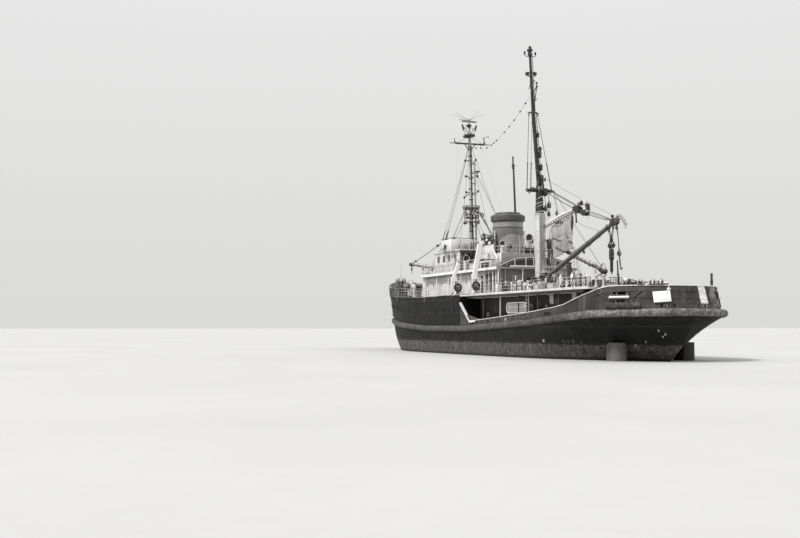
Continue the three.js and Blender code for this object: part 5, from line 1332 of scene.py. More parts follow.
for name, (finish, edge) in NODE_FINISH.items():
    o = NODES[name]
    o.data.materials.clear()
    o.data.materials.append(MATS[finish])
    w = o.modifiers.new("weld", "WELD")
    w.merge_threshold = 0.00008
    if edge:
        b = o.modifiers.new("edges", "BEVEL")
        b.width, b.segments, b.limit_method, b.angle_limit, b.use_clamp_overlap = edge, 2, "ANGLE", math.radians(38), True
    g = o.modifiers.new("shade", "NODES")
    g.node_group = SHADE


# ------------------------------------------------------------------ the hull's own plating, finer than the model's
def hull_surface(y, t, b=None):
    """Point of the ship's side at station y. t: 0 on the keel, 1 at the rub rail."""
    b = half_beam(y) if b is None else b
    zk, n, zr = row(SECTIONS, y, 1), row(SECTIONS, y, 2), main_z(y) - STRAKE
    a = t * math.pi / 2
    return b * math.sin(a) ** (2 / n), zr - (zr - zk) * max(0.0, math.cos(a)) ** (2 / n)


def plate_relief(y, z, x):
    """Lapped strakes, frames that show through the plating, and dents."""
    s = 0.010 * (1 if int(math.floor((z + 6) / 1.38)) % 2 else 0)
    ribs = -0.010 * abs(math.sin(math.pi * y / 0.66)) ** 0.6 * smooth(z, 0.2, 1.0)
    dent = 0.016 * math.sin(0.9 * y + 1.3 * math.sin(0.7 * z)) * math.sin(1.7 * z + 0.6 * math.sin(0.5 * y)) * smooth(z, 0.0, 1.2)
    return s + ribs + dent


def hull_piece():
    stations_ = [stern_point(a) for a in np.arange(84, 0.5, -1.5)] + [(half_beam(y), y) for y in np.arange(STERN_Y, 32.31, 0.22)]
    if stations_[-1][1] < 32.3:
        stations_.append((half_beam(32.3), 32.3))
    ts = np.concatenate([np.linspace(0, 0.55, 16), np.linspace(0.58, 1.0, 30)])
    k = Kit()
    rings = []
    for b, y in stations_:
        half = []
        for t in ts:
            x, z = hull_surface(y, t, b)
            half.append([x, z])
        half[0][0] = 0.0
        zd = main_z(y)
        half[-1] = [b, zd - STRAKE]
        half.append([b, zd])
        half.append([b * 0.5, zd + 0.0])
        h = np.array(half)
        # relief, along the section's own normal
        d = np.gradient(h[:-2], axis=0)
        l = np.maximum(1e-9, np.hypot(d[:, 0], d[:, 1]))
        nx, nz = d[:, 1] / l, -d[:, 0] / l
        for i in range(1, len(h) - 3):
            r = plate_relief(y, h[i, 1], h[i, 0])
            h[i, 0] += nx[i] * r
            h[i, 1] += nz[i] * r
        star = [(x, raked(y, z), z) for x, z in h]
        port = [(-x, yy, z) for x, yy, z in star[1:][::-1]]
        rings.append(star + port)
    n = len(rings[0])
    faces = []
    for i in range(len(rings) - 1):
        for j in range(n):
            q = (j + 1) % n
            faces.append([i * n + j, i * n + q, (i + 1) * n + q, (i + 1) * n + j])
    m = n // 2
    for base in (0, (len(rings) - 1) * n):
        # end plates in strips between the two sides
        for j in range(m):
            a, b_ = j, (n - j) % n
            c, d_ = j + 1, (n - j - 1) % n
            f = [base + a, base + c, base + d_, base + b_]
            f = [x for i, x in enumerate(f) if x not in f[:i]]
            if len(f) > 2:
                faces.append(f)
    k.add(np.array(rings).reshape(-1, 3), faces, "hull_paint_worn")
    return k.make("hull_plating", "ship", sharp=30, replaces=["hull"])


def forward_piece():
    ys = list(np.arange(BREAK_Y, 32.3, 0.22)) + [32.3]
    k = Kit()
    rings = []
    vs = np.linspace(0, 1, 15)
    for y in ys:
        b, bt = half_beam(y), flaredBeam_(y)
        z0, z1 = main_z(y) + 0.0007, upper_z(y)
        half = []
        for v in vs:
            z = z0 + (z1 - z0) * v
            bm = b * 0.62 + bt * 0.38
            x = (1 - v) * b + v * bt + 0.0 if bt - b < 1e-6 else ((1 - v) ** 2 * b + 2 * v * (1 - v) * (2 * bm - (b + bt) / 2) + v * v * bt)
            half.append([x, z])
        h = np.array(half)
        for i in range(1, len(h) - 1):
            h[i, 0] += plate_relief(y, h[i, 1], h[i, 0]) * 0.9
        half = h.tolist() + [[bt * 0.5, z1]]
        rings.append([(x, raked(y, z), z) for x, z in half] + [(-x, raked(y, z), z) for x, z in half[::-1]])
    n = len(rings[0])
    faces = []
    for i in range(len(rings) - 1):
        for j in range(n):
            q = (j + 1) % n
            faces.append([i * n + j, i * n + q, (i + 1) * n + q, (i + 1) * n + j])
    for base in (0, (len(rings) - 1) * n):
        for j in range(n // 2 - 1):
            faces.append([base + j, base + j + 1, base + n - 2 - j, base + n - 1 - j])
    k.add(np.array(rings).reshape(-1, 3), faces, "hull_paint_worn")
    for y in (0.05,):
        for s in (-1, 1):
            for d in (-1, 1):
                k.box((s * 5.75, y + d * 0.34, UPPER_Z + 0.29), (0.64, 0.12, 0.66), "pale_gear", bevel=0.03)
                k.ring((s * 5.75, y + d * 0.415, UPPER_Z + 0.36), (0, 1, 0), 0.11, 0.025, "grey_gear", 14)
    return k.make("forward_plating", "ship", sharp=30, replaces=["forward_hull"])


def flaredBeam_(y):
    return flared_beam(y)


def rail_piece():
    """Half-round rubbing rail of heavy plate, dented, with butt straps."""
    k = Kit()
    ys = [y for y in np.arange(STERN_Y, 22.4, 0.3)]
    star = [stern_point(a) for a in np.arange(84, 0.5, -1.5)] + [(half_beam(y), y) for y in ys]
    path = [(-x, y) for x, y in star[::-1]] + star
    prof = [(0.0, -0.6)] + [(-0.30 * math.cos(a) ** 0.8, -0.30 + 0.30 * math.sin(a)) for a in np.radians(np.linspace(-82, 82, 9))] + [(0.0, 0.0)]
    state = {"i": 0}

    def sec(y, x):
        z = main_z(y)
        g = 0.0007 + 0.03 * forward(y)
        w = 1 - 0.05 * abs(math.sin(1.1 * y + (2.0 if x < 0 else 0.4))) - 0.035 * abs(math.sin(2.9 * y + 0.7 * x))
        return [(-g + e * w, z + d) for e, d in prof]
    k.band(path, sec, "rub_rail_worn")
    for i, (x, y) in enumerate(path[::1]):
        if i % 20 != 10 or i in (0, len(path) - 1):
            continue
        p, q = path[i - 1], path[i + 1]
        d = unit((q[0] - p[0], q[1] - p[1], 0))
        nrm = np.array([-d[1], d[0], 0])
        z = main_z(y)
        for e, dz, hh in ((-0.295, -0.3, 0.3), (-0.235, -0.11, 0.16), (-0.235, -0.49, 0.16)):
            c = np.array([x, raked(y, z), z + dz]) + nrm * e
            tilt = 0 if hh == 0.3 else (38 if dz > -0.3 else -38)
            u = d
            v = nrm * math.sin(math.radians(tilt)) + np.array([0, 0, 1.0]) * math.cos(math.radians(tilt))
            k.box(c, (0.16, hh, 0.02), "rub_rail_worn", np.array([u, v, np.cross(u, v)]).T, 0.006)
    return k.make("rubbing_rail", "ship", sharp=50, replaces=["rub_rail"])


hull_piece()
forward_piece()
rail_piece()


# ------------------------------------------------------------------ fittings of the hull and bulwarks
def hull_x(y, z):
    """Half breadth of the hull's plating at a station and height."""
    zk, n, zr = row(SECTIONS, y, 1), row(SECTIONS, y, 2), main_z(y) - STRAKE
    if z >= zr:
        return half_beam(y)
    c = min(1.0, max(0.0, (zr - z) / (zr - zk)))
    return half_beam(y) * max(0.0, 1 - c ** n) ** (1 / n)


def on_hull(side, y, z, out=0.0, f=hull_x):
    """Point on the plating and its outward normal."""
    e = 0.05
    dy, dz = (f(y + e, z) - f(y - e, z)) / (2 * e), (f(y, z + e) - f(y, z - e)) / (2 * e)
    n = unit((side, -dy, -dz))
    return np.array([side * f(y, z), raked(y, z), z]) + n * out, n


def forward_x(y, z):
    b, bt = half_beam(y), flared_beam(y)
    z0, z1 = main_z(y), upper_z(y)
    v = min(1.0, max(0.0, (z - z0) / (z1 - z0)))
    bm = b * 0.62 + bt * 0.38
    return (1 - v) ** 2 * b + 2 * v * (1 - v) * (2 * bm - (b + bt) / 2) + v * v * bt


def cap_section(e0, e1, z, h=0.06):
    return [(e0, z), (e0 - 0.012, z + h * 0.5), (e0 + 0.01, z + h), (e1 - 0.01, z + h), (e1 + 0.012, z + h * 0.5), (e1, z)]


def bulwark_top():
    k = Kit()
    for side in (-1, 1):
        path = side_path(BREAK_Y - 0.01, WELL_Y, side, step=0.4) if side < 0 else side_path(WELL_Y, BREAK_Y - 0.01, side, step=0.4)
        dent = (lambda y, x: 0.012 * math.sin(1.9 * y + x) + 0.008 * math.sin(4.3 * y))
        k.band(path, lambda y, x: cap_section(edge_inset(y) - 0.045 + dent(y, x), edge_inset(y) + PLATE + 0.05, row(BULWARK_TOP, y) + 0.004), "white_worn")
        # the bright sloping end by the break of the deck
        path = [(side * half_beam(y), y) for y in np.linspace(BREAK_Y - 0.03, -6.7, 12)]
        path = path if side < 0 else path[::-1]
        k.band(path, lambda y, x: [(edge_inset(y) - 0.06, row(BULWARK_TOP, y) - 0.11), (edge_inset(y) - 0.075, row(BULWARK_TOP, y) + 0.085),
                                   (edge_inset(y) + PLATE + 0.07, row(BULWARK_TOP, y) + 0.085), (edge_inset(y) + PLATE + 0.07, row(BULWARK_TOP, y) + 0.055), (edge_inset(y) - 0.04, row(BULWARK_TOP, y) - 0.11)], "white_trim")
    k.band(stern_path(WELL_Y, 2.0), lambda y, x: cap_section(edge_inset(y) + tumble(y) - 0.05 + 0.01 * math.sin(2.1 * x), edge_inset(y) + tumble(y) + PLATE + 0.06, row(STERN_TOP, y) + 0.004, 0.07), "white_worn")
    # stiffening flat just under the stern's edge, and one half way down
    for dz, w in ((-0.42, 0.035), (-0.95, 0.03)):
        k.band(stern_path(WELL_Y - 0.2, 2.0), lambda y, x, dz=dz, w=w: [(edge_inset(y) + tumble(y) * (1 + dz / 1.8) + 0.012, row(STERN_TOP, y) + dz - 0.05), (edge_inset(y) + tumble(y) * (1 + dz / 1.8) - w, row(STERN_TOP, y) + dz),
               (edge_inset(y) + tumble(y) * (1 + dz / 1.8) + 0.012, row(STERN_TOP, y) + dz + 0.05)], "bulwark_plating")
    k.make("bulwark_capping", "ship", sharp=40)

    k = Kit()
    for side in (-1, 1):
        for y in np.arange(-4.2, WELL_Y + 0.2, -1.17):
            x0 = side * (half_beam(y) - edge_inset(y) - PLATE)
            z0, z1 = main_z(y) + 0.01, row(BULWARK_TOP, y) - 0.03
            foot = min(0.42, 0.34 * (z1 - z0) + 0.12)
            k.add([(x0 - side * 0.004, y - 0.012, z0), (x0 - side * foot, y - 0.012, z0), (x0 - side * foot, y - 0.012, z0 + 0.06), (x0 - side * 0.07, y - 0.012, z1), (x0 - side * 0.004, y - 0.012, z1),
                   (x0 - side * 0.004, y + 0.012, z0), (x0 - side * foot, y + 0.012, z0), (x0 - side * foot, y + 0.012, z0 + 0.06), (x0 - side * 0.07, y + 0.012, z1), (x0 - side * 0.004, y + 0.012, z1)],
                  [[0, 1, 2, 3, 4], [9, 8, 7, 6, 5], [0, 5, 6, 1], [1, 6, 7, 2], [2, 7, 8, 3], [3, 8, 9, 4], [4, 9, 5, 0]], "pale_gear")
            k.bar((x0 - side * foot, y, z0 + 0.05), (x0 - side * 0.07, y, z1), 0.09, 0.018, "pale_gear", up=(side, 0, 0.6))
            # the frame behind shows as a line of rivets outside
            xo = side * (half_beam(y) - edge_inset(y))
            for i in range(int((z1 - z0) / 0.16)):
                k.lathe((xo, y, z0 + 0.1 + i * 0.16), (side, 0, 0), [(0, -0.004), (0.022, 0.0), (0.015, 0.012), (0, 0.015)], "bulwark_plating", 6)
        for y in (-21.5, -17.5, -13.5, -9.5, -6.0):
            x0 = side * (half_beam(y) - edge_inset(y) - PLATE * 0.5)
            for dz in (0.165, 0.255):
                k.rod((x0, y - 0.64, main_z(y) + dz), (x0, y + 0.64, main_z(y) + dz), 0.016, "dark_gear", 6)
            xo = side * (half_beam(y) - edge_inset(y) + 0.012)
            for dz in (0.075, 0.36):
                k.box((xo, y, main_z(y) + dz), (0.03, 1.34, 0.035), "bulwark_plating", None, 0.01)
            for dy in (-0.65, 0.65):
                k.box((xo, y + dy, main_z(y) + 0.215), (0.03, 0.035, 0.3), "bulwark_plating", None, 0.01)
        for a in (8, 16, 24, 33, 52, 60, 68, 77):
            p, n, t = on_stern(side * a, edge_inset(stern_point(a)[1]) + PLATE, 0)
            if p[1] > WELL_Y - 0.1:
                continue
            y = p[1]
            z0, z1, tm = main_z(y) + 0.01, row(STERN_TOP, y) - 0.03, tumble(y)
            b0, b1 = p - n * 0.01, p - n * 0.5
            top0, top1 = p - n * (tm + 0.01), p - n * (tm + 0.09)
            e = t * 0.013
            V = [(*(b0 - e)[:2], z0), (*(b1 - e)[:2], z0), (*(b1 - e)[:2], z0 + 0.07), (*(top1 - e)[:2], z1), (*(top0 - e)[:2], z1),
                 (*(b0 + e)[:2], z0), (*(b1 + e)[:2], z0), (*(b1 + e)[:2], z0 + 0.07), (*(top1 + e)[:2], z1), (*(top0 + e)[:2], z1)]
            k.add(V, [[0, 1, 2, 3, 4], [9, 8, 7, 6, 5], [0, 5, 6, 1], [1, 6, 7, 2], [2, 7, 8, 3], [3, 8, 9, 4], [4, 9, 5, 0]], "pale_gear")
    k.make("bulwark_stays", "ship", sharp=40)


bulwark_top()


def quarter_gear():
    """Mooring openings in the stern, their bars, rollers, fenders and fairleads."""
    k = Kit()
    for side in (-1, 1):
        for z, h, m in ((4.62, 0.24, "pale_gear"), (5.36, 0.15, "pale_gear")):
            c, n, t = on_stern(side * 43.5, 0, z)
            y = c[1]
            tm = lambda zz: edge_inset(y) + tumble(y) * max(0, (zz - main_z(y)) / (row(STERN_TOP, y) - main_z(y)))
            # rounded lip round the opening
            pts = []
            for a in np.radians(np.linspace(0, 360, 24, endpoint=False)):
                ca, sa = math.cos(a), math.sin(a)
                u = 0.66 * math.copysign(abs(ca) ** 0.5, ca)
                w = (h + 0.03) * math.copysign(abs(sa) ** 0.5, sa)
                pts.append(c + t * u + np.array([0, 0, w]) - n * (tm(z + w) - 0.01 + 0.018 * u * u))
            k.tube(pts, 0.045, "dark_gear" if z > 5 else "bulwark_plating", 6, closed=True)
            for s in (-1, 1):
                q = c + t * s * 0.42 - n * (tm(z) + 0.2)
                k.lathe(q + (0, 0, -h + 0.01), (0, 0, 1), [(0, 0), (0.09, 0.0), (0.06, 0.07), (0.06, 2 * h - 0.09), (0.09, 2 * h - 0.02), (0, 2 * h - 0.02)], "grey_gear", 10)
        # the bright half-round bar between the two openings
        pts = []
        for a in np.linspace(36.5, 49.0, 9):
            p, n, t = on_stern(side * a, 0, 5.03)
            y = p[1]
            off = edge_inset(y) + tumble(y) * (5.03 - main_z(y)) / (row(STERN_TOP, y) - main_z(y))
            pts.append(p - n * (off - 0.05))
        k.tube(pts, 0.105, "white_trim", 10)
        for q in (pts[0], pts[-1]):
            k.ball(q, 0.13, "white_trim", 10)
        # black bars on the plating each side of the opening: painted shade along the recess's slanted sides
        for a0, z0, a1, z1 in ((27.5, 5.40, 36.5, 4.82), (58.5, 5.52, 53.0, 4.98)):
            pts = []
            for i in range(5):
                a, z = a0 + (a1 - a0) * i / 4, z0 + (z1 - z0) * i / 4
                p, n, t = on_stern(side * a, 0, z)
                off = edge_inset(p[1]) + tumble(p[1]) * (z - main_z(p[1])) / (row(STERN_TOP, p[1]) - main_z(p[1]))
                pts.append(p - n * (off - 0.045))
            k.tube(pts, 0.05, "black_paint", 8)
    k.make("quarter_openings", "ship")

    # roll fender lashed on the rubbing rail under the port opening
    k = Kit()
    for side, a0, a1, r in ((-1, 34.5, 58.5, 0.27), ):
        pts, rad = [], []
        m = 36
        for i in range(m + 1):
            a = a0 + (a1 - a0) * i / m
            p, n, t = on_stern(side * a, 0, 4.1 + r * 0.9)
            pts.append(p + n * (0.11 - 0.05 * abs(math.sin(i * 0.9))) + np.array([0, 0, 0.03 * math.sin(i * 0.45)]))
            rad.append(r * (0.72 if i in (0, m) else 1.0) * (1 - 0.10 * (i % 3 == 0)))
        k.tube(pts, rad, "rubber_worn", 14)
        for i in range(3, m, 6):
            d = pts[i + 1] - pts[i - 1]
            k.ring(pts[i], d, rad[i] * 1.06, 0.025, "dark_gear", 16)
            p, n, t = on_stern(side * (a0 + (a1 - a0) * i / m), 0.22, 4.95)
            k.tube([pts[i] + (0, 0, r), p - n * 0.05], 0.018, "dark_gear", 6)
    k.make("roll_fenders", "ship")

    k = Kit()
    for a, w in ((-67.0, 0.42), (-73.0, 0.42), (-58.0, 0.36)):
        p, n, t = on_stern(a, edge_inset(-31.5) + tumble(-31.5) + 0.06, row(STERN_TOP, -31.5) + 0.06)
        fairlead(k, p, math.degrees(math.atan2(t[1], t[0])), w, 0.36)
    # white hood over the fairleads, with small posts beside it
    for x, h, w in ((-2.2, 0.58, 0.30), (-1.56, 0.72, 0.27), (-0.98, 0.62, 0.28), (-0.62, 0.46, 0.2)):
        k.lathe((x, -30.75, 5.62), (0, 0, 1), [(0, 0), (w * 0.8, 0), (w * 0.72, h * 0.35), (w, h * 0.62), (w * 0.9, h * 0.86), (w * 0.5, h), (0, h + 0.03)], "white_trim", 16)
        k.lathe((x + 0.05, -30.55, 5.62), (0, 0, 1), [(0, 0), (w * 0.5, 0), (w * 0.5, h * 0.9), (w * 0.7, h * 0.95), (w * 0.4, h + 0.05), (0, h + 0.06)], "pale_gear", 12)
    for x, h in ((-2.62, 0.42), (-0.38, 0.36)):
        k.lathe((x, -30.7, 5.7), (0, 0, 1), [(0, 0), (0.13, 0), (0.11, h * 0.6), (0.15, h * 0.8), (0.12, h), (0, h + 0.03)], "white_trim", 12)
    for x in (-1.82, -1.12):
        k.lathe((x - 0.04, -31.0, 5.6), (0, 0, 1), [(0, 0), (0.22, 0.0), (0.19, 0.06), (0.18, 0.42), (0.21, 0.5), (0, 0.52)], "black_paint", 14)
    # deck gear in the stern well
    for s in (-1, 1):
        bitts(k, (s * 4.35, -28.6, main_z(-28.6) + 0.01), s * 12)
        bitts(k, (s * 2.05, -31.05, main_z(-31.0) + 0.01), 90)
    k.make("stern_mooring_gear", "ship")


quarter_gear()


def stern_fittings():
    k = Kit()
    # board's brackets and the lamp beside it
    c, n, t = on_stern(-73.2, 0.36, 5.05)
    for s in (-0.45, 0.45):
        for z in (-0.28, 0.3):
            p = c + t * s + np.array([0, 0, z])
            k.rod(p + n * 0.02, p - n * 0.28, 0.02, "dark_gear", 6)
            k.ball(p + n * 0.0, 0.035, "dark_gear", 6)
    k.make("board_brackets", "ship")

    k = Kit()
    p, n, t = on_stern(-78.5, edge_inset(-32) + tumble(-32) * 0.75 - 0.08, 5.62)
    k.box(p, (0.26, 0.16, 0.22), "white_trim", np.array([t, n, (0, 0, 1)]).T, 0.03)
    k.lathe(p + n * 0.08, n, [(0, 0), (0.075, 0), (0.085, 0.04), (0.06, 0.07), (0, 0.08)], "lamp_glass", 12)
    k.rod(p + (0, 0, 0.1), p + (0, 0, 0.34), 0.03, "white_trim", 8)
    k.bar(p - n * 0.04 + (0, 0, -0.1), p - n * 0.22 + (0, 0, -0.2), 0.08, 0.03, "white_trim")
    # thin wire stretched along the bulwark
    wire = []
    for x in np.linspace(-1.35, 1.55, 9):
        yb = STERN_Y - STERN_L * max(0.0, 1 - (abs(x) / STERN_B) ** STERN_E) ** (1 / STERN_E)
        wire.append((x, yb + edge_inset(-32) + tumble(-32) * 0.72 - 0.03, 5.56 - 0.03 * math.cos(x)))
    k.tube(wire, 0.012, "wire_rope", 5)
    for w in (wire[0], wire[-1]):
        k.ball(w, 0.035, "dark_gear", 6)
    # truck and cleat of the stern pole
    k.lathe((3.34, -30.67, 5.62), (0, 0, 1), [(0.055, 0), (0.12, 0.01), (0.12, 0.1), (0.1, 0.14), (0.1, 0.62), (0.125, 0.64), (0.125, 0.74), (0.095, 0.76), (0.09, 1.22), (0.11, 1.24), (0.11, 1.3), (0.05, 1.33)], "black_paint", 12, closed=True)
    k.ball((3.34, -30.67, 6.97), 0.06, "grey_gear", 8)
    k.box((3.34, -30.73, 5.3), (0.2, 0.04, 0.04), "grey_gear", None, 0.01)
    for z in (4.4, 5.7):
        k.ring((3.34, -30.67, z), (0, 0, 1), 0.07, 0.018, "grey_gear", 12)
        k.bar((3.34, -30.67, z), (3.42, -30.95, z), 0.05, 0.02, "grey_gear")
    k.make("stern_lamp_and_pole_gear", "ship")

    # outlets, rings and anodes on the plating
    k = Kit()
    for side, y, z, r in ((-1, -20.3, 1.55, 0.09), (-1, -22.9, 1.5, 0.12), (-1, -23.4, 1.5, 0.10), (-1, -23.9, 1.52, 0.12), (-1, -24.7, 1.5, 0.09), (-1, -12.5, 1.3, 0.13), (-1, -6.0, 1.6, 0.09),
                          (-1, 1.5, 1.7, 0.11), (-1, 7.5, 1.5, 0.09), (1, -21.5, 1.5, 0.12), (1, -17.2, 1.6, 0.09), (1, -11.0, 1.4, 0.16), (1, -5.2, 1.7, 0.09), (1, 3.0, 1.5, 0.12), (1, 9.5, 1.6, 0.09)):
        p, n = on_hull(side, y, z, 0.004)
        k.lathe(p, n, [(r, -0.03), (r * 1.02, 0.03), (r * 1.15, 0.045), (r * 1.4, 0.03), (r * 1.5, 0.0), (r * 1.5, -0.03)], "pale_gear" if (side, y) == (-1, -20.3) else "dark_gear", 14, closed=True)
        k.lathe(p, n, [(0, -0.02), (r, -0.02), (r, 0.0), (0, 0.0)], "black_paint", 12)
        for i in range(6):
            u, v, _ = basis(n)
            a = i * math.pi / 3
            k.lathe(p + (u * math.cos(a) + v * math.sin(a)) * r * 1.3, n, [(0, 0), (0.018, 0.0), (0.015, 0.045), (0, 0.05)], "dark_gear", 6)
    for side in (-1, 1):
        for y, z in ((-31.15, 2.45), (-31.25, 2.15), (-30.95, 1.98), (-29.4, 1.55), (-28.4, 1.3), (-26.4, 0.3), (-24.8, -0.4)):
            p, n = on_hull(side, y, z, 0.015)
            u, v, _ = basis(n)
            k.box(p, (0.13, 0.24, 0.05), "zinc_grey", np.array([u, v, n]).T, 0.02)
    k.make("hull_outlets", "ship")

    # sea chests and anodes under water
    k = Kit()
    for side in (-1, 1):
        for y in np.arange(-14, 16, 3.1):
            p, n = on_hull(side, y, -2.2, 0.02)
            u, v, _ = basis(n)
            k.box(p, (0.5, 0.16, 0.07), "zinc_grey", np.array([np.cross(v, n), v, n]).T, 0.03)
        for y, z in ((-2.0, -1.6), (5.2, -1.8), (-8.4, -2.0)):
            p, n = on_hull(side, y, z, 0.006)
            u, v, _ = basis(n)
            R = np.array([np.cross(v, n), v, n]).T
            k.box(p, (1.0, 0.7, 0.03), "bilge_paint", R, 0.01)
            for i in range(9):
                k.box(p + R @ np.array([-0.4 + i * 0.1, 0, 0.025]), (0.035, 0.6, 0.03), "dark_gear", R, 0.01)
    # flanges and bolts of the shaft tubes, straps of the rudders
    for side in (-1, 1):
        x = side * 3.155
        k.lathe((x, -24.0, -1.95), (0, 1, 0), [(0.26, 0), (0.34, 0.02), (0.34, 0.12), (0.26, 0.14)], "bilge_paint", 16, closed=True)
        for i in range(8):
            a = i * math.pi / 4
            k.lathe((x + 0.305 * math.cos(a), -24.0, -1.95 + 0.305 * math.sin(a)), (0, -1, 0), [(0, -0.01), (0.025, -0.01), (0.025, 0.03), (0, 0.035)], "dark_gear", 6)
    k.make("underwater_fittings", "ship")
    for side, body in ((-1, "port_rudder"), (1, "starboard_rudder")):
        k = Kit()
        x = side * 3.155
        for z in (-0.75, -1.6, -2.5):
            for s in (-1, 1):
                k.bar((x + s * 0.125, -26.45, z), (x + s * 0.045, -28.1, z), 0.03, 0.16, "dark_gear", up=(0, 0, 1))
                for i in range(6):
                    t = i / 5
                    k.lathe((x + s * (0.14 - 0.07 * t), -26.55 - 1.35 * t, z), (s, 0, 0), [(0, -0.01), (0.024, 0), (0.016, 0.016), (0, 0.02)], "dark_gear", 6)
        for dz in (-0.35, -3.1):
            k.box((x, -27.3, dz), (0.2, 0.5, 0.12), "zinc_grey", None, 0.03)
        k.make("rudder_straps_" + ("port" if side < 0 else "starboard"), body)


stern_fittings()


def forward_fittings():
    k = Kit()
    for side in (-1, 1):
        for y in (-1.2, 1.4, 4.0, 6.6, 9.2, 11.8, 14.4, 17.0, 19.6, 22.2):
            p, n = on_hull(side, y, main_z(y) + 1.45, 0.0, forward_x)
            port(k, p, n, 0.15, rim="hull_paint_worn", ledge=True, out=0.008)
        # closed mooring chocks near the deck's edge
        for y in (6.5, 16.5, 27.5):
            p, n = on_hull(side, y, upper_z(y) + (0.45 if y > 18 else -0.28), 0.02, lambda yy, zz: flared_beam(yy))
            u = unit(np.cross((0, 0, 1), n))
            pts = [p + u * 0.34 * math.cos(a) + np.array([0, 0, 0.2 * math.sin(a)]) for a in np.radians(np.linspace(0, 360, 18, endpoint=False))]
            k.tube(pts, 0.055, "dark_gear", 8, closed=True)
            k.prism([(0.33 * math.cos(a), 0.19 * math.sin(a)) for a in np.radians(np.linspace(0, 360, 16, endpoint=False))], -0.03, 0.0, "black_paint", (p, u, (0, 0, 1), n))
        # hawse pipe and stockless anchor
        y, z = 27.6, 5.1
        p, n = on_hull(side, y, z, 0.0, forward_x)
        u = unit(np.cross((0, 0, 1), n)); w = np.cross(n, u)
        pts = [p + n * 0.05 + u * 0.42 * math.cos(a) + w * 0.5 * math.sin(a) for a in np.radians(np.linspace(0, 360, 22, endpoint=False))]
        k.tube(pts, 0.09, "hull_paint_worn", 8, closed=True)
        k.prism([(0.4 * math.cos(a), 0.48 * math.sin(a)) for a in np.radians(np.linspace(0, 360, 20, endpoint=False))], -0.02, 0.015, "black_paint", (p, u, w, n))
        c = p + n * 0.14
        k.bar(c + w * 0.35, c - w * 0.85, 0.15, 0.2, "dark_gear", up=n)
        k.box(c - w * 0.92, (0.95, 0.34, 0.3), "dark_gear", np.array([u, w, n]).T, 0.08)
        for s in (-1, 1):
            f = [(0.24, -0.95), (0.56, -0.86), (0.6, -0.35), (0.5, 0.05), (0.36, -0.3), (0.24, -0.6)]
            k.prism([(s * a, b) for a, b in f], -0.02, 0.09, "dark_gear", (c + n * 0.03, u, w, n))
            k.lathe(c - w * 0.92 + u * s * 0.44, u * s, [(0, 0), (0.17, 0), (0.14, 0.08), (0, 0.1)], "dark_gear", 12)
        shackle(k, c + w * 0.45, w, 0.13, 0.035, "dark_gear")
    k.make("bow_side_fittings", "ship")

    k = Kit()
    path = [(side_, y) for side_, y in (side_path(18.5, 32.3, -1, flared_beam, 0.4) + side_path(32.3, 18.5, 1, flared_beam, 0.4))][::-1]
    k.band(path, lambda y, x: cap_section(-0.03, 0.16, upper_z(y) + 1.004, 0.06), "bulwark_plating")
    for side in (-1, 1):
        for y in np.arange(19.2, 31.6, 1.1):
            b = flared_beam(y)
            x0 = side * (b - 0.12)
            z0, z1 = upper_z(y), upper_z(y) + 0.96
            k.bar((x0 - side * 0.4, raked(y, z0), z0 + 0.02), (x0 - side * 0.05, raked(y, z1), z1), 0.09, 0.02, "pale_gear", up=(side, 0, 0.6))
            k.bar((x0 - side * 0.01, raked(y, z0), z0 + 0.03), (x0 - side * 0.4, raked(y, z0), z0 + 0.03), 0.02, 0.05, "pale_gear")
    k.make("bow_capping", "ship", sharp=40)


forward_fittings()


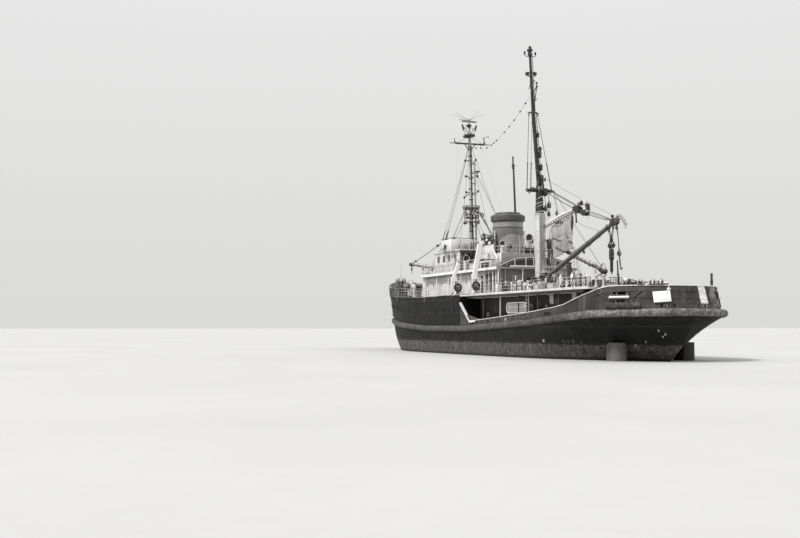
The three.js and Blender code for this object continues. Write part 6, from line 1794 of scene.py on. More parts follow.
# ------------------------------------------------------------------ deckhouses, bridge and funnel
def house_fittings():
    k = Kit()
    for s in (-1, 1):
        for y in (-5.35, -3.75, -0.4, 1.9, 4.2, 6.5, 8.8, 11.1, 13.2):
            port(k, (s * 3.7, y, 7.42), (s, 0, 0), 0.18)
        # weather door in the side of the house
        c = np.array([s * 3.72, -2.3, UPPER_Z + 1.13])
        k.box(c, (0.06, 0.72, 1.78), "house_dark_and_painted_shade", None, 0.03)
        for dz in (-0.92, 0.92):
            k.box(c + (0, 0, dz), (0.1, 0.86, 0.06), "white_trim", None, 0.012)
        for dy in (-0.4, 0.4):
            k.box(c + (0, dy, 0), (0.1, 0.06, 1.86), "white_trim", None, 0.012)
        for dz in (-0.6, 0.0, 0.6):
            for dy in (-0.3, 0.3):
                k.bar(c + (s * 0.05, dy, dz), c + (s * 0.05, dy + 0.0, dz + 0.16), 0.03, 0.02, "grey_gear", up=(s, 0, 0))
        port(k, c + (s * 0.03, 0, 0.45), (s, 0, 0), 0.13, ledge=False)
        # plate bands and pipes along the wall
        k.box((s * 3.72, 4.0, UPPER_Z + 0.16), (0.05, 21.0, 0.2), "house_dark_and_painted_shade", None, 0.01)
        for z, r in ((8.22, 0.04), (8.1, 0.028)):
            k.tube([(s * 3.78, -6.3, z), (s * 3.78, 3.0, z), (s * 3.78, 14.3, z)], r, "white_worn", 8)
            for y in np.arange(-6.0, 14.3, 1.7):
                k.box((s * 3.745, y, z), (0.09, 0.05, 0.1), "grey_gear", None, 0.01)
    for x in (-0.75, 0.75):
        pane(k, (x, -6.62, 7.35), (0, -1, 0), 0.55, 0.5, "grey_gear")
    for x in (-3.3, 3.3, 0.0):
        k.tube([(x, -6.68, UPPER_Z + 0.02), (x, -6.68, 8.38)], 0.045, "pale_gear", 8)
        for z in (6.5, 7.4, 8.1):
            k.ring((x, -6.68, z), (0, 0, 1), 0.055, 0.015, "grey_gear", 10)
    for x in (-2.0, 2.0):
        for dx in (-0.44, 0.44):
            k.box((x + dx, -6.63, UPPER_Z + 1.1), (0.05, 0.06, 1.95), "pale_gear", None, 0.012)
        k.box((x, -6.66, UPPER_Z + 2.12), (1.1, 0.14, 0.03), "pale_gear", None, 0.01)
        k.box((x, -6.66, UPPER_Z + 0.1), (0.92, 0.09, 0.06), "pale_gear", None, 0.01)
        lamp(k, (x + 0.62, -6.72, UPPER_Z + 1.85), 0.07, 0.2)
    for x in (-1.6, -0.55, 0.55, 1.6):
        pane(k, (x, 14.62, 7.4), (0, 1, 0), 0.42, 0.42)
    k.make("house_ports_and_doors", "ship")

    # pillars and beams under the bridge deck's overhang
    k = Kit()
    for s in (-1, 1):
        for i, y in enumerate((-6.85, -3.5, 2.4, 5.8, 9.2, 12.6)):
            z0 = upper_z(y) + 0.01
            k.rod((s * 4.1, y, z0), (s * 4.1, y, 8.39), 0.06 if i else 0.085, "white_trim", 10)
            k.lathe((s * 4.1, y, z0), (0, 0, 1), [(0, 0), (0.16, 0), (0.16, 0.03), (0.09, 0.06), (0, 0.1)], "white_trim", 12)
            k.box((s * 4.1, y, 8.36), (0.3, 0.3, 0.05), "white_trim", None, 0.02)
        for y in np.arange(-6.6, 13.2, 0.95):
            k.add([(s * 3.71, y - 0.012, 8.395), (s * 4.36, y - 0.012, 8.395), (s * 4.36, y - 0.012, 8.33), (s * 3.71, y - 0.012, 8.1),
                   (s * 3.71, y + 0.012, 8.395), (s * 4.36, y + 0.012, 8.395), (s * 4.36, y + 0.012, 8.33), (s * 3.71, y + 0.012, 8.1)],
                  [[0, 1, 2, 3], [7, 6, 5, 4], [0, 4, 5, 1], [1, 5, 6, 2], [2, 6, 7, 3], [3, 7, 4, 0]], "pale_gear")
        # bright fascia along the deck's edge
        k.box((s * 4.415, 3.1, 8.46), (0.03, 20.4, 0.25), "white_trim", None, 0.01)
        k.box((s * 4.425, 3.1, 8.335), (0.05, 20.4, 0.03), "white_trim", None, 0.01)
        k.bar((s * 4.41, 13.4, 8.46), (s * 3.2, 15.22, 8.46), 0.03, 0.25, "white_trim", bevel=0.01)
    k.box((0, -7.02, 8.49), (8.84, 0.03, 0.12), "grey_gear", None, 0.01)
    k.box((0, 15.22, 8.46), (6.4, 0.03, 0.25), "white_trim", None, 0.01)
    for x in (-1.5, 0.95):
        k.rod((x, -6.88, UPPER_Z + 0.01), (x, -6.88, 8.39), 0.06, "white_trim", 10)
    k.make("bridge_deck_edge", "ship")

    # black panels with white trims on the side wall at the house's after end, painted shade of a recess there, with the
    # white pipes that stand before it
    k = Kit()
    for s in (-1, 1):
        for y0, y1, z0, z1 in ((-6.45, -5.3, 6.15, 8.2), (-5.1, -4.25, 6.3, 8.15), (-4.05, -3.25, 6.3, 8.15)):
            k.box((s * 3.73, (y0 + y1) / 2, (z0 + z1) / 2), (0.04, y1 - y0, z1 - z0), "black_paint", None, 0.012)
            for z in (z0, z1):
                k.box((s * 3.745, (y0 + y1) / 2, z), (0.06, y1 - y0 + 0.1, 0.07), "white_trim", None, 0.012)
        for y, x, r in ((-5.95, 3.92, 0.075), (-5.2, 3.9, 0.10), (-4.15, 3.86, 0.06), (-3.15, 3.86, 0.06)):
            k.rod((s * x, y, 5.93), (s * x, y, 8.38), r, "white_trim", 12)
            for z in (6.3, 7.3, 8.15):
                k.ring((s * x, y, z), (0, 0, 1), r * 1.1, 0.02, "grey_gear", 14)
                k.bar((s * x, y, z), (s * 3.71, y, z), 0.06, 0.04, "grey_gear")
            k.lathe((s * x, y, 5.92), (0, 0, 1), [(0, 0), (r * 1.9, 0), (r * 1.9, 0.03), (r, 0.05), (0, 0.05)], "grey_gear", 14)
    k.make("side_wall_recess", "ship")

    # after end of the bridge deck: dark screen with a rounded top, and its bright cap and posts
    k = Kit()
    top = [(-3.98, 8.57), (-3.78, 8.72), (-3.35, 8.93), (-2.9, 9.12), (-2.45, 9.28), (-2.0, 9.38), (-1.2, 9.47), (0, 9.53), (1.2, 9.55), (2.0, 9.52), (2.6, 9.36), (3.2, 9.08), (3.7, 8.78), (3.98, 8.57)]
    y = -6.86
    left, right = [p for p in top if p[0] <= 0], [p for p in top if p[0] >= 0]
    k.prism(left + [(0, 8.555), (-3.98, 8.555)], -0.02, 0.02, "house_dark_and_painted_shade", ((0, y, 0), (1, 0, 0), (0, 0, 1), (0, 1, 0)))
    k.prism(right + [(3.98, 8.555), (0, 8.555)], -0.02, 0.02, "pale_gear", ((0, y, 0), (1, 0, 0), (0, 0, 1), (0, 1, 0)))
    for x, w, z0, z1 in ((0.55, 0.4, 8.66, 9.2), (1.35, 0.5, 8.62, 9.05), (2.4, 0.34, 8.7, 9.15)):
        k.box((x, y - 0.04, (z0 + z1) / 2), (w, 0.05, z1 - z0), "black_paint", None, 0.02)
    k.tube([(a, y, b + 0.02) for a, b in top], 0.045, "pale_gear", 8)
    k.tube([(a * 0.985, y - 0.05, b - 0.17) for a, b in top[1:-1]], 0.02, "grey_gear", 6)
    for x in (-3.2, -2.35, -1.15, -0.3, 0.8, 1.9, 2.9):
        z = float(np.interp(x, [a for a, _ in top], [b for _, b in top]))
        k.box((x, y - 0.045, (8.56 + z) / 2), (0.075, 0.05, z - 8.58), "white_trim" if x in (-2.35, -1.15, -0.3) else "grey_gear", None, 0.012)
        k.bar((x, y + 0.03, z - 0.1), (x, y + 0.5, 8.57), 0.05, 0.03, "grey_gear")
    k.box((-0.4, y - 0.06, 8.66), (5.0, 0.04, 0.15), "white_trim", None, 0.012)
    for x in np.arange(-2.7, 2.0, 0.45):
        k.lathe((x, y - 0.08, 8.66), (0, -1, 0), [(0, 0), (0.022, 0), (0.015, 0.015), (0, 0.018)], "grey_gear", 6)
    k.make("after_screen", "ship")

    k = Kit()
    for s in (-1, 1):
        rail(k, [(s * 4.32, -6.7, BRIDGE_Z), (s * 4.32, 13.3, BRIDGE_Z), (s * 3.12, 15.1, BRIDGE_Z), (s * 0.1, 15.1, BRIDGE_Z)], mat="pale_gear")
    k.make("bridge_deck_rails", "ship")


house_fittings()


def wheelhouse_fittings():
    k = Kit()
    z = 10.2
    for x in (-1.5, -0.5, 0.5, 1.5):
        pane(k, (x, 12.88, z), (0, 1, 0), 0.70, 0.78)
    for s in (-1, 1):
        for y in (7.3, 8.9, 10.5):
            pane(k, (s * 3.33, y, z), (s, 0, 0), 0.78, 0.78)
        pane(k, (s * (2.7 - 0.014), 12.25 - 0.014, z), (s, 1, 0), 0.70, 0.78)
        pane(k, (s * 2.1, 4.42, z), (0, -1, 0), 0.78, 0.78, "grey_gear")
        for z2 in (8.75, 10.75):
            k.box((s * 3.36, 8.2, z2), (0.04, 6.7, 0.06), "white_trim", None, 0.01)
        # brackets and stays under the wings
        for y in (5.6, 7.7):
            k.tube([(s * 3.37, y, 9.75), (s * 3.6, y, 10.35), (s * 3.93, y, 10.87)], 0.04, "white_trim", 8)
        k.rod((s * 3.95, 8.0, 10.89), (s * 4.2, 8.0, 8.6), 0.035, "white_trim", 8)
        k.rod((s * 3.95, 5.45, 10.89), (s * 4.2, 5.3, 8.6), 0.035, "white_trim", 8)
        k.rod((s * 2.85, 4.02, BRIDGE_Z + 0.01), (s * 2.85, 4.02, 10.89), 0.065, "white_trim", 10)
        k.rod((s * 1.0, 4.02, BRIDGE_Z + 0.01), (s * 1.0, 4.02, 10.89), 0.05, "white_trim", 10)
        # grab rail along the side
        k.tube([(s * 3.44, 6.3, 9.5), (s * 3.44, 11.3, 9.5)], 0.022, "grey_gear", 6)
        for y in (6.4, 8.0, 9.7, 11.2):
            k.rod((s * 3.36, y, 9.5), (s * 3.44, y, 9.5), 0.014, "grey_gear", 5)
        # door frames
        for dy in (-0.44, 0.44):
            k.box((s * 3.37, 5.6 + dy, BRIDGE_Z + 1.1), (0.05, 0.06, 1.95), "white_trim", None, 0.012)
        k.box((s * 3.4, 5.6, BRIDGE_Z + 2.1), (0.12, 1.05, 0.03), "white_trim", None, 0.01)
    # dark block and dark bell shape that paint the shade under the roof's after edge (painted shade), and lockers
    # against the after wall
    k.box((-2.75, 4.1, 10.72), (1.3, 0.5, 0.28), "house_dark_and_painted_shade", None, 0.05)
    k.lathe((-2.2, 3.98, 10.25), (0, 0, 1), [(0, 0), (0.12, 0.02), (0.3, 0.3), (0.3, 0.42), (0, 0.5)], "house_dark_and_painted_shade", 14)
    locker(k, (-0.2, 4.0, BRIDGE_Z), (1.1, 0.5, 0.9), "white_worn")
    locker(k, (-2.0, 3.9, BRIDGE_Z), (0.7, 0.55, 0.75), "grey_gear")
    k.make("wheelhouse_windows", "ship")

    # open bridge: rim rail, posts, lamps, binnacle
    k = Kit()
    rim = [(-1.45, 5.34), (-3.96, 5.34), (-3.96, 8.08), (-2.87, 9.87), (-1.48, 11.26), (1.48, 11.26), (2.87, 9.87), (3.96, 8.08), (3.96, 5.34), (1.45, 5.34)]
    k.tube([(x, y, OPEN_TOP + 0.03) for x, y in rim], 0.055, "white_trim", 8)
    k.tube([(x, y, OPEN_TOP + 0.2) for x, y in rim], 0.03, "dark_gear", 6)
    for (x0, y0), (x1, y1) in zip(rim[:-1], rim[1:]):
        n = max(1, int(math.hypot(x1 - x0, y1 - y0) / 0.8))
        for i in range(n):
            x, y = x0 + (x1 - x0) * i / n, y0 + (y1 - y0) * i / n
            k.rod((x, y, OPEN_TOP + 0.03), (x, y, OPEN_TOP + 0.2), 0.018, "dark_gear", 6)
            k.box((x, y, OPEN_Z + 0.52), (0.05, 0.05, 1.0), "white_worn", math.degrees(math.atan2(y1 - y0, x1 - x0)), 0.012)
    for s in (-1, 1):
        # side light screens on the wings
        k.box((s * 4.06, 7.1, 11.42), (0.03, 1.1, 0.42), "pale_gear", None, 0.01)
        k.box((s * 4.16, 6.58, 11.42), (0.24, 0.04, 0.46), "black_paint", None, 0.01)
        k.box((s * 4.16, 7.1, 11.2), (0.24, 1.1, 0.03), "black_paint", None, 0.01)
        lamp(k, (s * 4.17, 6.75, 11.22), 0.08, 0.26, "port_lamp" if s < 0 else "starboard_lamp")
        # wing repeaters
        k.lathe((s * 3.4, 7.7, OPEN_Z + 0.01), (0, 0, 1), [(0, 0), (0.2, 0), (0.2, 0.03), (0.08, 0.06), (0.07, 0.95), (0.17, 1.0), (0.2, 1.08), (0.17, 1.18), (0, 1.22)], "grey_gear", 14)
    # lamp box on the after side of the bulwark, and its pipe
    k.box((-2.05, 5.12, 11.4), (0.56, 0.3, 0.52), "grey_gear", None, 0.04)
    k.lathe((-2.05, 4.97, 11.4), (0, -1, 0), [(0, 0), (0.2, 0), (0.22, 0.05), (0.16, 0.07), (0, 0.06)], "lamp_glass", 16)
    k.tube([(-1.62, 5.2, 11.95), (-1.62, 5.16, 11.5), (-1.6, 5.16, 10.95)], 0.05, "house_dark_and_painted_shade", 8)
    # searchlight forward, binnacle and telegraph
    for x, y in ((2.3, 8.6), (-2.3, 8.6)):
        k.lathe((x, y, OPEN_Z + 0.01), (0, 0, 1), [(0, 0), (0.16, 0), (0.16, 0.03), (0.06, 0.06), (0.05, 1.15), (0, 1.15)], "grey_gear", 12)
        k.tube([(x - 0.22, y, OPEN_Z + 1.5), (x - 0.22, y, OPEN_Z + 1.2), (x, y, OPEN_Z + 1.12), (x + 0.22, y, OPEN_Z + 1.2), (x + 0.22, y, OPEN_Z + 1.5)], 0.025, "grey_gear", 6)
        k.lathe((x, y - 0.2, OPEN_Z + 1.48), (0, 1, 0), [(0, 0), (0.14, 0.02), (0.2, 0.12), (0.21, 0.38), (0.19, 0.4), (0, 0.36)], "grey_gear", 16)
        k.lathe((x, y + 0.17, OPEN_Z + 1.48), (0, 1, 0), [(0, 0), (0.18, 0.0), (0.12, 0.025), (0, 0.03)], "lamp_glass", 16)
    k.lathe((0, 7.75, OPEN_Z + 0.01), (0, 0, 1), [(0, 0), (0.32, 0), (0.32, 0.06), (0.22, 0.1), (0.18, 0.8), (0.27, 0.86), (0.27, 1.02), (0.2, 1.16), (0.08, 1.24), (0, 1.25)], "grey_gear", 18)
    for s in (-1, 1):
        k.ball((s * 0.38, 7.75, OPEN_Z + 0.92), 0.11, "dark_gear", 12)
        k.rod((s * 0.2, 7.75, OPEN_Z + 0.92), (s * 0.38, 7.75, OPEN_Z + 0.92), 0.025, "grey_gear", 6)
    k.lathe((0.95, 8.0, OPEN_Z + 0.01), (0, 0, 1), [(0, 0), (0.17, 0), (0.09, 0.05), (0.08, 0.9), (0, 0.9)], "grey_gear", 12)
    k.lathe((0.95, 7.9, OPEN_Z + 1.02), (0, 1, 0), [(0, 0), (0.17, 0), (0.19, 0.03), (0.19, 0.17), (0.17, 0.2), (0, 0.2)], "grey_gear", 16)
    locker(k, (-1.6, 10.0, OPEN_Z), (1.3, 0.6, 0.95), "grey_gear")
    locker(k, (1.9, 10.0, OPEN_Z), (0.9, 0.5, 0.9), "grey_gear")
    k.make("open_bridge_fittings", "ship")

    # roof of the wheelhouse aft and the ladder up to it
    k = Kit()
    steps(k, (1.0, 2.65, BRIDGE_Z + 0.02), (1.0, 4.0, OPEN_Z + 0.02), across=(1, 0, 0))
    rail(k, [(-3.45, 4.0, OPEN_Z), (-3.45, 5.2, OPEN_Z)], rails=(0.5, 0.95), every=1.2)
    rail(k, [(3.45, 4.0, OPEN_Z), (3.45, 5.2, OPEN_Z)], rails=(0.5, 0.95), every=1.2)
    rail(k, [(-3.4, 3.98, OPEN_Z), (-1.5, 3.98, OPEN_Z)], rails=(0.5, 0.95), every=1.0)
    rail(k, [(1.5, 3.98, OPEN_Z), (3.4, 3.98, OPEN_Z)], rails=(0.5, 0.95), every=1.0)
    k.make("bridge_ladder", "ship")


wheelhouse_fittings()


def funnel_fittings():
    k = Kit()
    # glazed lattice with a peaked top over the casing's wall
    x = -2.06
    posts = [(-1.42, 12.02), (-0.72, 12.12), (0.0, 12.2), (0.72, 12.36), (1.1, 12.5), (1.6, 12.24)]
    for y, z in posts:
        k.rod((x, y, 11.13), (x, y, z), 0.055, "black_paint", 6)
    for a, b in zip(posts[:-1], posts[1:]):
        k.rod((x, *a), (x, *b), 0.06, "black_paint", 6)
    for z in (11.2, 11.62, 11.98):
        k.rod((x, -1.42, z), (x, 1.6, z), 0.06 if z < 11.9 else 0.075, "black_paint", 6)
    for y0, y1, z0, z1 in ((-0.7, -0.02, 11.66, 11.94), (0.75, 1.55, 11.66, 11.94), (-1.38, -0.75, 11.24, 11.58), (0.02, 0.7, 11.24, 11.58)):
        k.box((x + 0.01, (y0 + y1) / 2, (z0 + z1) / 2), (0.02, y1 - y0, z1 - z0), "house_dark_and_painted_shade", None, 0.005)
    for y0, y1, z0, z1 in ((0.02, 0.7, 11.66, 11.94), (-0.7, -0.02, 11.24, 11.58)):
        k.box((x + 0.01, (y0 + y1) / 2, (z0 + z1) / 2), (0.02, y1 - y0, z1 - z0), "white_worn", None, 0.005)
    k.bar((x, 1.1, 12.5), (x + 0.3, 1.5, 12.1), 0.07, 0.04, "black_paint")
    # cap of the casing's wall
    for s in (-1, 1):
        k.box((s * 2.05, 0.3, 11.16), (0.16, 3.66, 0.05), "white_trim", None, 0.015)
        for y in np.arange(-1.3, 2.0, 0.65):
            k.box((s * 2.115, y, 10.65), (0.03, 0.05, 0.92), "white_worn", None, 0.01)
    k.box((0, 2.05, 11.16), (4.2, 0.16, 0.05), "white_trim", None, 0.015)
    k.make("casing_lattice", "ship")

    k = Kit()
    # rings, rungs, whistle and steam pipes of the funnel
    for z, r, m in ((12.98, 0.035, "black_paint"), (10.32, 0.06, "grey_gear"), (11.9, 0.018, "grey_gear"), (14.5, 0.05, "black_paint")):
        R = FUNNEL_R + (0.01 if z < 14 else -0.33)
        k.ring((0, FUNNEL_Y, z), (0, 0, 1), R, r, m, 48, 6)
    for i in range(28):
        a = i * 2 * math.pi / 28
        k.lathe((math.cos(a) * (FUNNEL_R + 0.02), FUNNEL_Y + math.sin(a) * (FUNNEL_R + 0.02), 10.24), (0, 0, 1), [(0, -0.03), (0.05, -0.03), (0.04, 0.04), (0, 0.05)], "grey_gear", 6)
        k.lathe((math.cos(a) * (FUNNEL_R + 0.205), FUNNEL_Y + math.sin(a) * (FUNNEL_R + 0.205), 14.0), (math.cos(a), math.sin(a), 0), [(0, 0), (0.03, 0), (0.02, 0.02), (0, 0.025)], "black_paint", 6)
    # mesh over the mouth
    for i in range(-4, 5):
        h = math.sqrt(max(0, 1.15 ** 2 - (i * 0.25) ** 2))
        k.rod((i * 0.25, FUNNEL_Y - h, 14.5), (i * 0.25, FUNNEL_Y + h, 14.5), 0.018, "black_paint", 5)
        k.rod((-h, FUNNEL_Y + i * 0.25, 14.48), (h, FUNNEL_Y + i * 0.25, 14.48), 0.018, "black_paint", 5)
    for a, z0, z1 in ((128, 10.3, 13.6), ):
        for i in range(11):
            z = z0 + 0.3 * i
            for s in (-1, 1):
                t = math.radians(a + s * 7)
                k.rod((math.cos(t) * FUNNEL_R, FUNNEL_Y + math.sin(t) * FUNNEL_R, z), (math.cos(t) * (FUNNEL_R + 0.14), FUNNEL_Y + math.sin(t) * (FUNNEL_R + 0.14), z), 0.016, "grey_gear", 5)
            t0, t1 = math.radians(a - 7), math.radians(a + 7)
            k.rod((math.cos(t0) * (FUNNEL_R + 0.14), FUNNEL_Y + math.sin(t0) * (FUNNEL_R + 0.14), z), (math.cos(t1) * (FUNNEL_R + 0.14), FUNNEL_Y + math.sin(t1) * (FUNNEL_R + 0.14), z), 0.016, "grey_gear", 5)
    # steam and waste pipes with their clips
    for a, r, z1, m in ((192, 0.07, 12.55, "white_trim"), (199, 0.045, 12.2, "house_dark_and_painted_shade"), (62, 0.09, 14.7, "grey_gear"), (78, 0.06, 14.4, "grey_gear"), (-38, 0.085, 12.6, "white_trim"), (-28, 0.06, 12.0, "pale_gear")):
        t = math.radians(a)
        R = FUNNEL_R + r + 0.05 + (0.22 if z1 > 13.5 else 0)
        X, Y = math.cos(t) * R, FUNNEL_Y + math.sin(t) * R
        k.tube([(X, Y, 10.21), (X, Y, 11.3), (X, Y, z1)], r, m, 10)
        for z in (10.7, 11.6, 12.4, 13.4):
            if z < z1:
                k.ring((X, Y, z), (0, 0, 1), r * 1.12, 0.018, "grey_gear", 12)
                k.rod((X, Y, z), (math.cos(t) * (FUNNEL_R - 0.01), FUNNEL_Y + math.sin(t) * (FUNNEL_R - 0.01), z), 0.016, "grey_gear", 5)
        k.lathe((X, Y, z1), (0, 0, 1), [(r, -0.02), (r * 1.35, 0), (r * 1.35, 0.05), (r * 0.9, 0.06), (r * 0.8, -0.02)], m, 12, closed=True)
    # whistle on a bracket forward
    k.lathe((0.2, FUNNEL_Y + FUNNEL_R + 0.45, 13.1), (0, 0, 1), [(0, 0), (0.05, 0), (0.06, 0.1), (0.12, 0.14), (0.12, 0.6), (0.1, 0.66), (0, 0.68)], "screw_bronze_worn", 14)
    k.bar((0.2, FUNNEL_Y + FUNNEL_R - 0.02, 13.1), (0.2, FUNNEL_Y + FUNNEL_R + 0.5, 13.1), 0.2, 0.05, "grey_gear")
    for a in (20, 110, 200, 290):
        t = math.radians(a)
        p = np.array([math.cos(t) * (FUNNEL_R + 0.03), FUNNEL_Y + math.sin(t) * (FUNNEL_R + 0.03), 13.55])
        shackle(k, p, (math.cos(t), math.sin(t), -0.5), 0.05, 0.016, "grey_gear")
    k.make("funnel_pipes", "ship")

    # things on and round the casing
    k = Kit()
    rail(k, [(-2.03, -1.6, 10.2), (-2.03, -3.24, 10.2), (2.03, -3.24, 10.2), (2.03, -1.6, 10.2)], h=0.75, rails=(0.5, 1.0), every=0.85, mat="pale_gear")
    cowl(k, (1.15, -2.75, 10.2), 1.35, 0.2, 180)
    cowl(k, (1.72, -2.2, 10.2), 1.1, 0.17, 200, "white_trim")
    cowl(k, (-1.75, -2.7, 10.2), 0.75, 0.15, 190, "white_trim")
    cowl(k, (-1.1, -2.95, 10.2), 0.45, 0.13, 180, "house_dark_and_painted_shade")
    k.box((1.15, -3.05, 10.5), (0.95, 0.34, 0.56), "black_paint", None, 0.03)
    for i in range(5):
        k.box((0.8 + i * 0.17, -3.235, 10.5), (0.05, 0.03, 0.46), "dark_gear", None, 0.008)
    # lattice of stowed gratings aft of the funnel
    for i in range(7):
        k.rod((0.3 + i * 0.21, -2.55, 11.0), (0.62 + i * 0.19, -2.6, 12.1), 0.022, "white_trim", 5)
        k.rod((0.3 + i * 0.2, -2.6, 11.95 - i * 0.1), (1.75, -2.6, 11.6 - i * 0.12), 0.018, "white_trim", 5)
    k.tube([(0.3, -2.57, 10.2), (0.3, -2.57, 12.1), (1.9, -2.57, 12.1), (1.9, -2.57, 10.2)], 0.035, "pale_gear", 6)
    # doors, grilles and pipes on the casing's sides
    for s in (-1, 1):
        c = np.array([s * 2.12, -0.4, 9.5])
        k.box(c, (0.05, 0.7, 1.6), "grey_gear", None, 0.02)
        for dz in (-0.83, 0.83):
            k.box(c + (0, 0, dz), (0.08, 0.84, 0.06), "white_trim", None, 0.01)
        for dy in (-0.38, 0.38):
            k.box(c + (0, dy, 0), (0.08, 0.06, 1.7), "white_trim", None, 0.01)
        for i in range(9):
            k.box((s * 2.13, 1.2, 9.0 + i * 0.1), (0.05, 0.95, 0.02), "grey_gear", None, 0.005)
        k.box((s * 2.115, 1.2, 9.4), (0.04, 1.1, 1.0), "house_dark_and_painted_shade", None, 0.01)
        k.tube(curve([(s * 2.2, -1.5, 11.0), (s * 2.24, -1.75, 10.5), (s * 2.3, -2.4, 10.05), (s * 2.32, -2.75, 9.6), (s * 2.32, -2.85, 8.58)], 5), 0.07, "white_trim", 10)
        k.tube(curve([(s * 2.2, -0.8, 10.15), (s * 2.32, -1.5, 9.9), (s * 2.36, -2.0, 9.4), (s * 2.38, -2.1, 8.58)], 5), 0.045, "pale_gear", 8)
        for z in (9.0, 9.5):
            k.ring((s * 2.32, -2.83, z), (0, 0, 1), 0.09, 0.02, "grey_gear", 12)
        # white house on the bridge deck, with a wide dark window
        locker_ = (s * 3.55, -3.2)
        k.box((locker_[0], locker_[1], 8.98), (0.62, 2.6, 0.84), "white_trim", None, 0.03)
        k.box((locker_[0] + s * 0.315, locker_[1] - 0.05, 8.93), (0.03, 2.05, 0.5), "black_paint", None, 0.01)
        for dy in (-1.08, 0.98):
            k.box((locker_[0] + s * 0.33, locker_[1] + dy, 8.93), (0.05, 0.07, 0.6), "white_trim", None, 0.01)
        k.box((locker_[0] + s * 0.33, locker_[1], 9.22), (0.06, 2.3, 0.07), "white_trim", None, 0.01)
        k.box((locker_[0], locker_[1], 9.42), (0.74, 2.72, 0.05), "house_dark_and_painted_shade", None, 0.015)
        k.tube([(s * 3.9, -4.55, 9.45), (s * 3.9, -1.85, 9.45)], 0.03, "black_paint", 6)
        mushroom(k, (s * 3.3, 0.9, BRIDGE_Z), 0.7, 0.13, "white_trim")
        cowl(k, (s * 3.5, 2.6, BRIDGE_Z), 1.1, 0.18, 180, "white_worn")
        locker(k, (s * 3.85, -0.4, BRIDGE_Z), (0.5, 1.2, 0.6), "white_worn")
        k.box((s * 3.2, -5.6, BRIDGE_Z + 0.3), (0.8, 1.2, 0.55), "grey_gear", None, 0.05)
    k.make("casing_fittings", "ship")


funnel_fittings()


